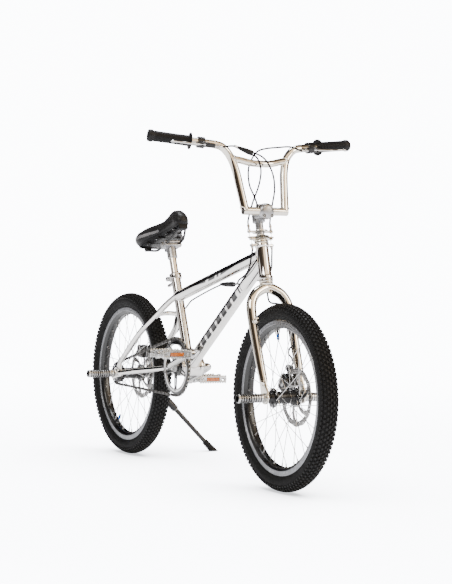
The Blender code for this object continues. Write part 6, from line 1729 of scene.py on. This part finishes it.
def post():
    bm = bmesh.new()
    lathe(bm, [(0.115, 0.0096), (0.115, 0.0106), (0.1156, POST_R), (0.364, POST_R), (0.3645, 0.0106),
               (0.3645, 0)], BB, SEAT_AXIS, 56)
    # The bore's end and the fine rings below are drawn dark: painted shade in the bore and in grooves.
    lathe(bm, [(0.115, 0.0097), (0.13, 0.0096), (0.13, 0)], BB, SEAT_AXIS, 40, 1)
    for n in range(9):
        ring = around(seat(0.15 + n * 0.0014), Y, BACK, POST_R - 0.0001, 40)
        pipe(bm, ring, 0.0002, 5, mat=1, closed=True)
    piece("seat_post_tube", bm, (CHROME, RECESS_SHADE), "seat", ("seat_post",))

    bm = bmesh.new()
    lathe(bm, [(0.342, POST_R + 0.0004), (0.342, 0.0142), (0.3428, 0.015), (0.377, 0.015), (0.379, 0.0135),
               (0.379, 0)], BB, SEAT_AXIS, 48)
    for lift, tall in ((-0.0052, 0.0066), (0.0052, 0.0066)):
        box(bm, saddle(0, 0, lift), (0.0335, 0.055, tall), SADDLE_TURN, 0.0022, 0, 3)
    box(bm, saddle(0, 0, 0), (0.027, 0.048, 0.006), SADDLE_TURN, 0.001, 1)
    for s in (-1, 1):
        lathe(bm, [(-0.0175, 0.005), (-0.0175, 0.0056), (0.0175, 0.0056), (0.0175, 0.005)],
              saddle(0, s * 0.0215, 0), SADDLE_ALONG, 32, closed=True)
        hexagon(bm, saddle(0, s * 0.0272, 0), Y * s, 0.0128, 0.0052, 1)
        lathe(bm, [(0, 0.0088), (0.001, 0.0088), (0.0014, 0.008), (0.0014, 0)], saddle(0, s * 0.0262, 0),
              Y * s, 32, 1)
        rod(bm, saddle(0, s * 0.032, 0), saddle(0, s * 0.035, 0), 0.0036, 20, mat=1, round_by=0.0005)
    for n in range(10):
        box(bm, saddle(0.015 - n * 0.0033, -0.0245, 0.0006), (0.0008, 0.003, 0.016), SADDLE_TURN, 0.0002, 1)
    piece("saddle_clamp_jaws", bm, (CAST, ZINC), "seat", ("saddle_clamp",), seat(0.36), 34)

    half = [(-0.088, 0.034, 0.0165), (-0.076, 0.03, 0.01), (-0.052, 0.0225, 0.001), (-0.03, 0.0215, 0),
            (0.03, 0.0215, 0), (0.052, 0.019, 0.004), (0.074, 0.014, 0.014), (0.088, 0.008, 0.0195)]
    route = [saddle(u, v, w) for u, v,
             w in half] + [saddle(0.09, 0, 0.02)] + [saddle(u, -v, w) for u, v, w in reversed(half)]
    bm = bmesh.new()
    pipe(bm, smooth_route(route, 12), 0.0035, 20)
    piece("saddle_wires", bm, (BLACK,), "seat", ("saddle_rails",))


# The remesh size, the pressure under the cover and the frames of its cloth.
VOXEL, PRESSURE, CLOTH_FRAMES = 0.0045, 4, 20

# Along the saddle from tail to nose: place, half width, underside, edge of the top, middle of the top.
STATIONS = [(-0.118, 0.03, 0.042, 0.056, 0.062), (-0.108, 0.06, 0.03, 0.064, 0.072),
            (-0.088, 0.077, 0.025, 0.066, 0.077), (-0.06, 0.08, 0.024, 0.064, 0.076),
            (-0.03, 0.066, 0.026, 0.061, 0.073), (0.0, 0.046, 0.028, 0.06, 0.072),
            (0.03, 0.034, 0.028, 0.062, 0.075), (0.06, 0.029, 0.027, 0.066, 0.081),
            (0.085, 0.0265, 0.026, 0.064, 0.078), (0.1, 0.022, 0.028, 0.054, 0.066),
            (0.108, 0.014, 0.034, 0.046, 0.054)]


def station(u):
    """The saddle's half width, underside, edge and middle height at u, on a smooth curve."""
    u = min(max(u, STATIONS[0][0]), STATIONS[-1][0])
    n = max(k for k in range(len(STATIONS) - 1) if STATIONS[k][0] <= u or k == 0)
    a, b = STATIONS[n], STATIONS[n + 1]
    before, after = STATIONS[max(n - 1, 0)], STATIONS[min(n + 2, len(STATIONS) - 1)]
    t = (u - a[0]) / (b[0] - a[0])
    out = []
    for k in range(1, 5):
        p0, p1, p2, p3 = before[k], a[k], b[k], after[k]
        out.append(0.5 * (2 * p1 + (p2 - p0) * t + (2 * p0 - 5 * p1 + 4 * p2 - p3) * t * t
                          + (3 * p1 - p0 - 3 * p2 + p3) * t ** 3))
    return out


def cover_point(u, angle):
    """A point of the cover's section at u: angle 0 is its left side, a quarter turn its crown."""
    half, low, edge, top = station(u)
    c, s = math.cos(angle), math.sin(angle)
    y = (half - 0.0022) * swell(c, 0.62)
    crown = top - (top - edge) * abs(c) ** 2.2
    middle = (low + 0.006 + edge) / 2
    if s > 0:
        w = middle + (crown - 0.0014 - middle) * abs(s) ** 0.72
    else:
        w = middle - (middle - low) * abs(s) ** 0.55
    return saddle(u, y, w)


def saddle_parts():
    """The padded cover, sewn seams, side band, ribbed nose panel and the plastic base."""
    bm = bmesh.new()
    rings = []
    count = 60
    for n in range(count + 1):
        t = n / count
        u = STATIONS[0][0] + (STATIONS[-1][0] - STATIONS[0][0]) * (0.5 - 0.5 * math.cos(t * math.pi))
        ring = [cover_point(u, 2 * math.pi * k / 48) for k in range(48)]
        rings.append(ring)
    skin(bm, rings, False, True, 0)
    bmesh.ops.recalc_face_normals(bm, faces=bm.faces)
    pad = piece("saddle_cover", bm, (COVER, COVER_SIDE, BAND), "seat", ("saddle_pad",), RAIL_CLAMP,
                60)
    puff(pad, 0.0045)
    paint_cover(pad)

    bm = bmesh.new()
    to_pad, from_pad = pad.matrix_world.inverted() @ STANCE, STANCE.inverted() @ pad.matrix_world
    for angle in (math.radians(40), math.radians(140)):
        lift = []
        for n in range(151):
            above = to_pad @ cover_point(-0.108 + 0.202 * n / 150, angle)
            _, spot, normal, _ = pad.closest_point_on_mesh(above)
            lift.append(from_pad @ (spot + normal * 0.0002))
        pipe(bm, lift, 0.001, 10, mat=0)
        out = SADDLE_UP * 0.0009 + Y * math.copysign(0.0004, math.cos(angle))
        for n in range(2, 148, 3):
            way = (lift[n + 1] - lift[n]).normalized()
            pipe(bm, [lift[n] - way * 0.001 + out * 0.6, lift[n] + out, lift[n] + way * 0.001 + out * 0.6],
                 0.0003, 6, mat=1)
    piece("saddle_seams", bm, (COVER_SIDE, THREAD), "seat", (), RAIL_CLAMP, 60)

    bm = bmesh.new()
    sections = []
    for n in range(41):
        u = -0.106 + 0.204 * n / 40
        half, low, _, _ = station(u)
        half, top = half * 0.86 - 0.0022, low + 0.005
        drop = 0.0068
        sections.append([saddle(u, v, w) for v, w in ((0, top - drop), (half * 0.55, top - drop),
                                                      (half * 0.88, top - drop + 0.0007),
                                                      (half * 0.97, top - drop + 0.003), (half, top),
                                                      (0, top), (-half, top),
                                                      (-half * 0.97, top - drop + 0.003),
                                                      (-half * 0.88, top - drop + 0.0007),
                                                      (-half * 0.55, top - drop))])
    skin(bm, sections, False, True, 0)
    for s in (-1, 1):
        box(bm, saddle(-0.088, s * 0.034, 0.0235), (0.0185, 0.0165, 0.019), SADDLE_TURN, 0.0025, 0, 3)
        for n in range(5):
            u = -0.08 + 0.038 * n
            half, low, _, _ = station(u)
            box(bm, saddle(u, s * half * 0.44, low - 0.0028), (0.0022, half * 0.7, 0.005), SADDLE_TURN,
                0.0004)
    box(bm, saddle(0.088, 0, 0.0235), (0.018, 0.03, 0.019), SADDLE_TURN, 0.003, 0, 3)
    for u in (-0.06, -0.02, 0.02, 0.06):
        half, low, _, _ = station(u)
        for s in (-1, 1):
            rod(bm, saddle(u, s * half * 0.6, low - 0.0012), saddle(u, s * half * 0.6, low - 0.0028), 0.0018,
                12, mat=1)
    piece("saddle_shell", bm, (PLASTIC, ZINC), "seat", ("saddle_base",), RAIL_CLAMP, 36)


def puff(pad, cap):
    """Remeshes the cover and inflates it as cloth, with every point kept within cap of its place."""
    shape = pad.modifiers.new("remesh", "REMESH")
    shape.mode = "VOXEL"
    shape.voxel_size = VOXEL
    bake(pad)
    before = [v.co.copy() for v in pad.data.vertices]
    cloth = pad.modifiers.new("cloth", "CLOTH")
    cloth.settings.use_pressure = True
    cloth.settings.uniform_pressure_force = PRESSURE
    cloth.settings.effector_weights.gravity = 0
    cloth.settings.quality = 6
    cloth.point_cache.frame_start, cloth.point_cache.frame_end = 1, CLOTH_FRAMES
    for number in range(1, CLOTH_FRAMES + 1):
        bpy.context.scene.frame_set(number)
    bake(pad)
    bpy.context.scene.frame_set(1)
    for vertex, old in zip(pad.data.vertices, before):
        step = vertex.co - old
        if step.length > cap:
            vertex.co = old + step.normalized() * cap
    finer = pad.modifiers.new("finer", "SUBSURF")
    finer.levels = finer.render_levels = 1
    bake(pad)
    pad.data.shade_smooth()


def bake(obj):
    """Replaces the mesh by what its modifiers show."""
    bpy.context.view_layer.update()
    made = bpy.data.meshes.new_from_object(obj.evaluated_get(bpy.context.evaluated_depsgraph_get()))
    obj.modifiers.clear()
    obj.data = made


def paint_cover(pad):
    """Sews in the nose's ribs, the seat channels and the band's edges, and gives each panel its material."""
    turn = SADDLE_TURN.inverted()
    for vertex in pad.data.vertices:
        u, v, w = turn @ vertex.co
        half, low, edge, top = station(u)
        above = max(0.0, (w - (low + 0.35 * (edge - low))) / max(top - low, 0.01))
        push = 0.0
        if 0.018 < u < 0.096:
            push += 0.0011 * math.sin((u - 0.018) * 2 * math.pi / 0.0125) * min(1, above * 2.2)
        if u < 0.018:
            push -= 0.0022 * math.exp(-((abs(v) - 0.36 * half) / 0.0032) ** 2) * min(1, above * 2)
            push -= 0.0026 * math.exp(-((v) / 0.0055) ** 2) * min(1, above * 2) * min(1, (0.018 - u) / 0.03)
        push -= 0.002 * math.exp(-((u - 0.016) / 0.0024) ** 2) * min(1, above * 2)
        vertex.co += SADDLE_UP * push
    mesh = pad.data
    for face in mesh.polygons:
        u, v, w = turn @ face.center
        half, low, edge, _ = station(u)
        share = (w - low) / max(edge - low, 0.005)
        face.material_index = 0
        if abs(v) > half * 0.8 and share < 0.86:
            face.material_index = 1
            if -0.1 < u < 0.004 and 0.42 < share + (u + 0.05) * 1.2 < 0.66:
                face.material_index = 2
    mesh.set_sharp_from_angle(angle=math.radians(70))


seat_collar()
post()
saddle_parts()


# Kickstand

KICK_AXIS = Vector((0, 0.85, 0.53)).normalized()
KICK_PIVOT = Vector((0.012, 0.08, 0.212))
SOLE = Vector((0.072, 0.262, 0.0))


def kickstand():
    floor_z = WHEEL_R * (1 - math.cos(math.pi / 28)) * math.cos(LEAN) - 0.007 * math.sin(LEAN)
    sole = Matrix.Rotation(LEAN, 3, "X") @ Vector((SOLE.x, SOLE.y, floor_z))
    down = (sole - KICK_PIVOT).normalized()
    bm = bmesh.new()
    outline = [*circle((0, WHEEL_R), 0.014, 24, 0, 180), (-0.0105, 0.24), (-0.0085, 0.225), (-0.0035, 0.208),
               *circle((0.01, 0.201), 0.012, 20, 200, 345), (0.022, 0.225), (0.016, 0.242)]
    plate(bm, [outline, circle((0, WHEEL_R), AXLE_R + 0.0003, 30), circle((0.007, 0.23), 0.0034, 18)], 0.0015,
          on_side(0, REAR_GAP + 0.0083, 0), 0, 0.0005)
    lathe(bm, [(-0.016, 0.006), (-0.016, 0.0092), (-0.0152, 0.01), (-0.0086, 0.01), (-0.0078, 0.0092),
               (-0.0078, 0.004)], KICK_PIVOT, KICK_AXIS, 40)
    lathe(bm, [(0.0096, 0.004), (0.0096, 0.0086), (0.0104, 0.0086), (0.0106, 0.0078)], KICK_PIVOT, KICK_AXIS,
          36, 1)
    hexagon(bm, KICK_PIVOT + KICK_AXIS * 0.0102, KICK_AXIS, 0.0138, 0.0034, 1, 0.0, 15)
    rod(bm, KICK_PIVOT - KICK_AXIS * 0.015, KICK_PIVOT + KICK_AXIS * 0.0142, 0.004, 24, mat=1,
        round_by=0.0005)
    hinge = axes(down, KICK_AXIS)
    coil = []
    for n in range(141):
        a = 2 * math.pi * 7 * n / 140
        coil.append(KICK_PIVOT + KICK_AXIS * (-0.0075 + 0.0012 * n / 140 - 0.0014)
                    + (hinge.col[0] * math.cos(a) + hinge.col[2] * math.sin(a)) * (0.0104 + 0.001 * n / 140))
    pipe(bm, coil, 0.0005, 6, mat=1)
    for corner in ((-0.0085, 0.0), (0.015, 0.0)):
        rod(bm, (corner[0] + 0.006, REAR_GAP + 0.0097, 0.2115), (corner[0] + 0.006, REAR_GAP + 0.011, 0.2115),
            0.002, 12, mat=1)
    piece("stand_bracket", bm, (BLACK_SATIN, ZINC), "frame", ("kickstand_bracket",),
          KICK_PIVOT, 34)

    bm = bmesh.new()
    lathe(bm, [(-0.0072, 0.0044), (-0.0072, 0.0112), (-0.0064, 0.012), (0.0064, 0.012), (0.0072, 0.0112),
               (0.0072, 0.0044)], KICK_PIVOT, KICK_AXIS, 48, closed=True)
    length = (sole - KICK_PIVOT).length
    lathe(bm, [(0.006, 0.0068), (0.028, 0.007), (0.03, 0.0102), (0.034, 0.0112), (0.096, 0.0112),
               (0.0985, 0.0104), (0.099, 0.0074), (0.106, 0.007), (length - 0.06, 0.0066),
               (length - 0.018, 0.0066), (length - 0.018, 0)], KICK_PIVOT, down, 44)
    for n in range(3):
        spot = 0.044 + n * 0.018
        for side in (-1, 1):
            way = hinge.col[1] * side
            rod(bm, KICK_PIVOT + down * spot + way * 0.0106, KICK_PIVOT + down * spot + way * 0.0116, 0.0024,
                16, mat=1 if n == 1 else 0)
    lathe(bm, [(0.0992, 0.0072), (0.0995, 0.0082), (0.101, 0.0082), (0.1013, 0.0072)], KICK_PIVOT, down, 36,
          1)
    piece("stand_leg", bm, (BLACK_SATIN, ZINC), "kickstand", ("kickstand_leg",), KICK_PIVOT,
          34)

    ground = Matrix.Rotation(LEAN, 3, "X")
    up = ground @ Z
    bm = bmesh.new()
    start = sole - down * 0.042
    profile = [(-0.0006, 0.0068), (0.0, 0.0088), (0.0006, 0.0095), (0.003, 0.0097)]
    for n in range(6):
        base = 0.005 + n * 0.0048
        r = 0.0098 + 0.0012 * n / 6
        profile += [(base, r), (base + 0.0006, r - 0.0009), (base + 0.0018, r - 0.0009), (base + 0.0024, r)]
    profile += [(0.0345, 0.0113), (0.06, 0.0115)]
    rings = []
    for along, radius in profile:
        ring = []
        for k in range(56):
            a = 2 * math.pi * k / 56
            p = start + down * along + aim(down) @ Vector((radius * math.cos(a), radius * math.sin(a), 0))
            depth = (p - sole).dot(up)
            if depth < 0.0:
                p = p + down * (-depth / down.dot(up))
            ring.append(p)
        rings.append(ring)
    skin(bm, rings, False, True, 0)
    bmesh.ops.remove_doubles(bm, verts=bm.verts, dist=1e-6)
    piece("stand_foot", bm, (GRIP,), "kickstand", ("kickstand_foot",), KICK_PIVOT, 34)


kickstand()


# Stage: a pale seamless floor, soft light, and the camera of the reference view.

PAPER = (0.93, 0.95, 1.0)
PAPER_LIGHT = 13.0
ROOM_LIGHT = 1.0
FLOOR_IN_CHROME = 0.13
FLOOR_LEVEL = -0.0002
FLOOR_RINGS = (0.0, 1.2, 3.0, 6.0, 12.0, 30.0)
FADE_FROM, FADE_TO, FADE_NEAR = 0.5, 3.6, 0.85
CONTACT_REACH = 0.55
CONTACT_DARK = 0.1
PANEL_EDGE = 0.06
# Compass angle, half width, lowest and highest rise, and colour of each panel round the studio.
PANELS = [(180, 0.7, -0.05, 0.9, (0.015, 0.014, 0.016)), (-118, 0.12, 0.08, 0.85, (1.2, 1.15, 1.1)),
          (-75, 0.48, 0.08, 0.85, (0.05, 0.038, 0.028)), (-35, 0.15, 0.08, 0.85, (0.16, 0.125, 0.095)),
          (22, 0.52, 0.08, 0.85, (2.1, 1.62, 1.1)), (78, 0.24, 0.08, 0.85, (0.22, 0.17, 0.12)),
          (115, 0.14, 0.05, 0.8, (0.03, 0.025, 0.02))]
SOFT_BOXES = [("key", (1.6, -3.2, 3.4), (0, 0, 0.4), (1.8, 1.4), 95, (1.0, 0.97, 0.92)),
              ("side", (3.4, 2.6, 2.2), (0, 0, 0.5), (1.2, 1.8), 60, (1.0, 0.95, 0.86)),
              ("top", (-0.6, 0.3, 3.6), (0, 0, 0.3), (1.5, 0.9), 80, (0.95, 0.98, 1.0))]
YAW, PITCH = math.radians(61.92), math.radians(-1.85)
CAMERA_SPOT = (4.649, -2.4125, 0.692)
FOCAL_LENGTH, SENSOR_WIDTH = 110.7, 36


def soft_box(name, spot, target, size, power, colour):
    light = bpy.data.lights.new(name, "AREA")
    light.shape = "RECTANGLE"
    light.size, light.size_y = size
    light.energy = power
    light.color = colour
    obj = bpy.data.objects.new(name, light)
    bpy.context.scene.collection.objects.link(obj)
    obj.location = spot
    obj.rotation_euler = (Vector(spot) - Vector(target)).to_track_quat("Z", "Y").to_euler()


def make_floor():
    """A pale sheet with soft contact shadows, which fades to the backdrop's own white far from the bike."""
    bm = bmesh.new()
    lathe(bm, [(0, radius) for radius in FLOOR_RINGS], (0, 0, FLOOR_LEVEL), Z, 96)
    mesh = bpy.data.meshes.new("studio_floor")
    bm.to_mesh(mesh)
    bm.free()
    mesh.shade_smooth()
    g = Graph("studio_paper")
    g.set(Base_Color=g.mix(g.noise(3, 2, 0.5), (0.86, 0.88, 0.93, 1), (0.89, 0.91, 0.955, 1)), Roughness=0.6,
          Specular_IOR_Level=0.2)
    g.bump(g.noise(180, 2, 0.5), 0.03, 0.0002)
    parts = g.split()
    far = g.math("SQRT", g.math("ADD", g.math("MULTIPLY", parts["X"], parts["X"]),
                                g.math("MULTIPLY", parts["Y"], parts["Y"])))
    glow = g.add("ShaderNodeEmission")
    glow.inputs["Color"].default_value = (*PAPER, 1)
    contact = g.add("ShaderNodeAmbientOcclusion", samples=16)
    contact.inputs["Distance"].default_value = CONTACT_REACH
    g.join(g.span(contact.outputs["AO"], 0.35, 0.97, PAPER_LIGHT * CONTACT_DARK, PAPER_LIGHT),
           glow.inputs["Strength"])
    blend = g.add("ShaderNodeMixShader")
    fade = g.add("ShaderNodeMapRange", interpolation_type="SMOOTHSTEP")
    for key, value in (("Value", far), ("From Min", FADE_FROM), ("From Max", FADE_TO), ("To Min", FADE_NEAR)):
        g.put(fade.inputs[key], value)
    ray = g.add("ShaderNodeLightPath").outputs
    direct = g.math("MULTIPLY", fade.outputs["Result"], ray["Is Camera Ray"])
    mirrored = g.math("MULTIPLY", ray["Is Glossy Ray"], FLOOR_IN_CHROME)
    g.join(g.math("ADD", direct, mirrored), blend.inputs["Fac"])
    g.join(g.shader.outputs["BSDF"], blend.inputs[1])
    g.join(glow.outputs["Emission"], blend.inputs[2])
    output = next(n for n in g.tree.nodes if n.type == "OUTPUT_MATERIAL")
    g.join(blend.outputs["Shader"], output.inputs["Surface"])
    mesh.materials.append(g.mat)
    floor = bpy.data.objects.new("studio_floor", mesh)
    bpy.context.scene.collection.objects.link(floor)


def make_world():
    """The backdrop's white, and for everything that isn't the backdrop a dark room with soft panels."""
    world = bpy.data.worlds.new("studio")
    bpy.context.scene.world = world
    world.use_nodes = True
    g = Graph.__new__(Graph)
    g.tree = world.node_tree
    back = next(n for n in g.tree.nodes if n.type == "BACKGROUND")
    g.where = g.add("ShaderNodeTexCoord").outputs["Generated"]
    parts = g.split()
    rise = parts["Z"]

    def panel(azimuth, half_width, low, high):
        """1 inside a soft-edged panel, at a compass angle and between two heights."""
        a = math.radians(azimuth)
        toward = g.math("ADD", g.math("MULTIPLY", parts["X"], math.cos(a)),
                        g.math("MULTIPLY", parts["Y"], math.sin(a)))
        across = g.math("ABSOLUTE", g.math("ADD", g.math("MULTIPLY", parts["X"], -math.sin(a)),
                                           g.math("MULTIPLY", parts["Y"], math.cos(a))))
        ahead = g.span(toward, 0.0, 0.05)
        inside = g.span(across, half_width, half_width + PANEL_EDGE, 1.0, 0.0)
        tall = g.math("MULTIPLY", g.span(rise, low, low + PANEL_EDGE),
                      g.span(rise, high, high + PANEL_EDGE, 1.0, 0.0))
        return g.math("MULTIPLY", g.math("MULTIPLY", ahead, inside), tall)

    room = g.mix(g.span(rise, 0.08, 0.2), (0.03, 0.025, 0.02, 1), (0.13, 0.12, 0.11, 1))
    for azimuth, half_width, low, high, colour in PANELS:
        room = g.mix(panel(azimuth, half_width, low, high), room, (*colour, 1))
    seen = g.add("ShaderNodeLightPath").outputs["Is Camera Ray"]
    g.join(g.mix(seen, room, (*PAPER, 1)), back.inputs["Color"])
    g.join(g.span(seen, 0, 1, ROOM_LIGHT, PAPER_LIGHT), back.inputs["Strength"])


make_floor()
make_world()
for setup in SOFT_BOXES:
    soft_box(*setup)


camera = bpy.data.objects.new("reference_camera", bpy.data.cameras.new("reference_camera"))
bpy.context.scene.collection.objects.link(camera)
look = Vector((-math.sin(YAW) * math.cos(PITCH), math.cos(YAW) * math.cos(PITCH), math.sin(PITCH)))
camera.location = CAMERA_SPOT
camera.rotation_euler = look.to_track_quat("-Z", "Y").to_euler()
camera.data.sensor_width = SENSOR_WIDTH
camera.data.sensor_fit = "AUTO"
camera.data.lens = FOCAL_LENGTH
bpy.context.scene.camera = camera

bpy.context.view_layer.update()
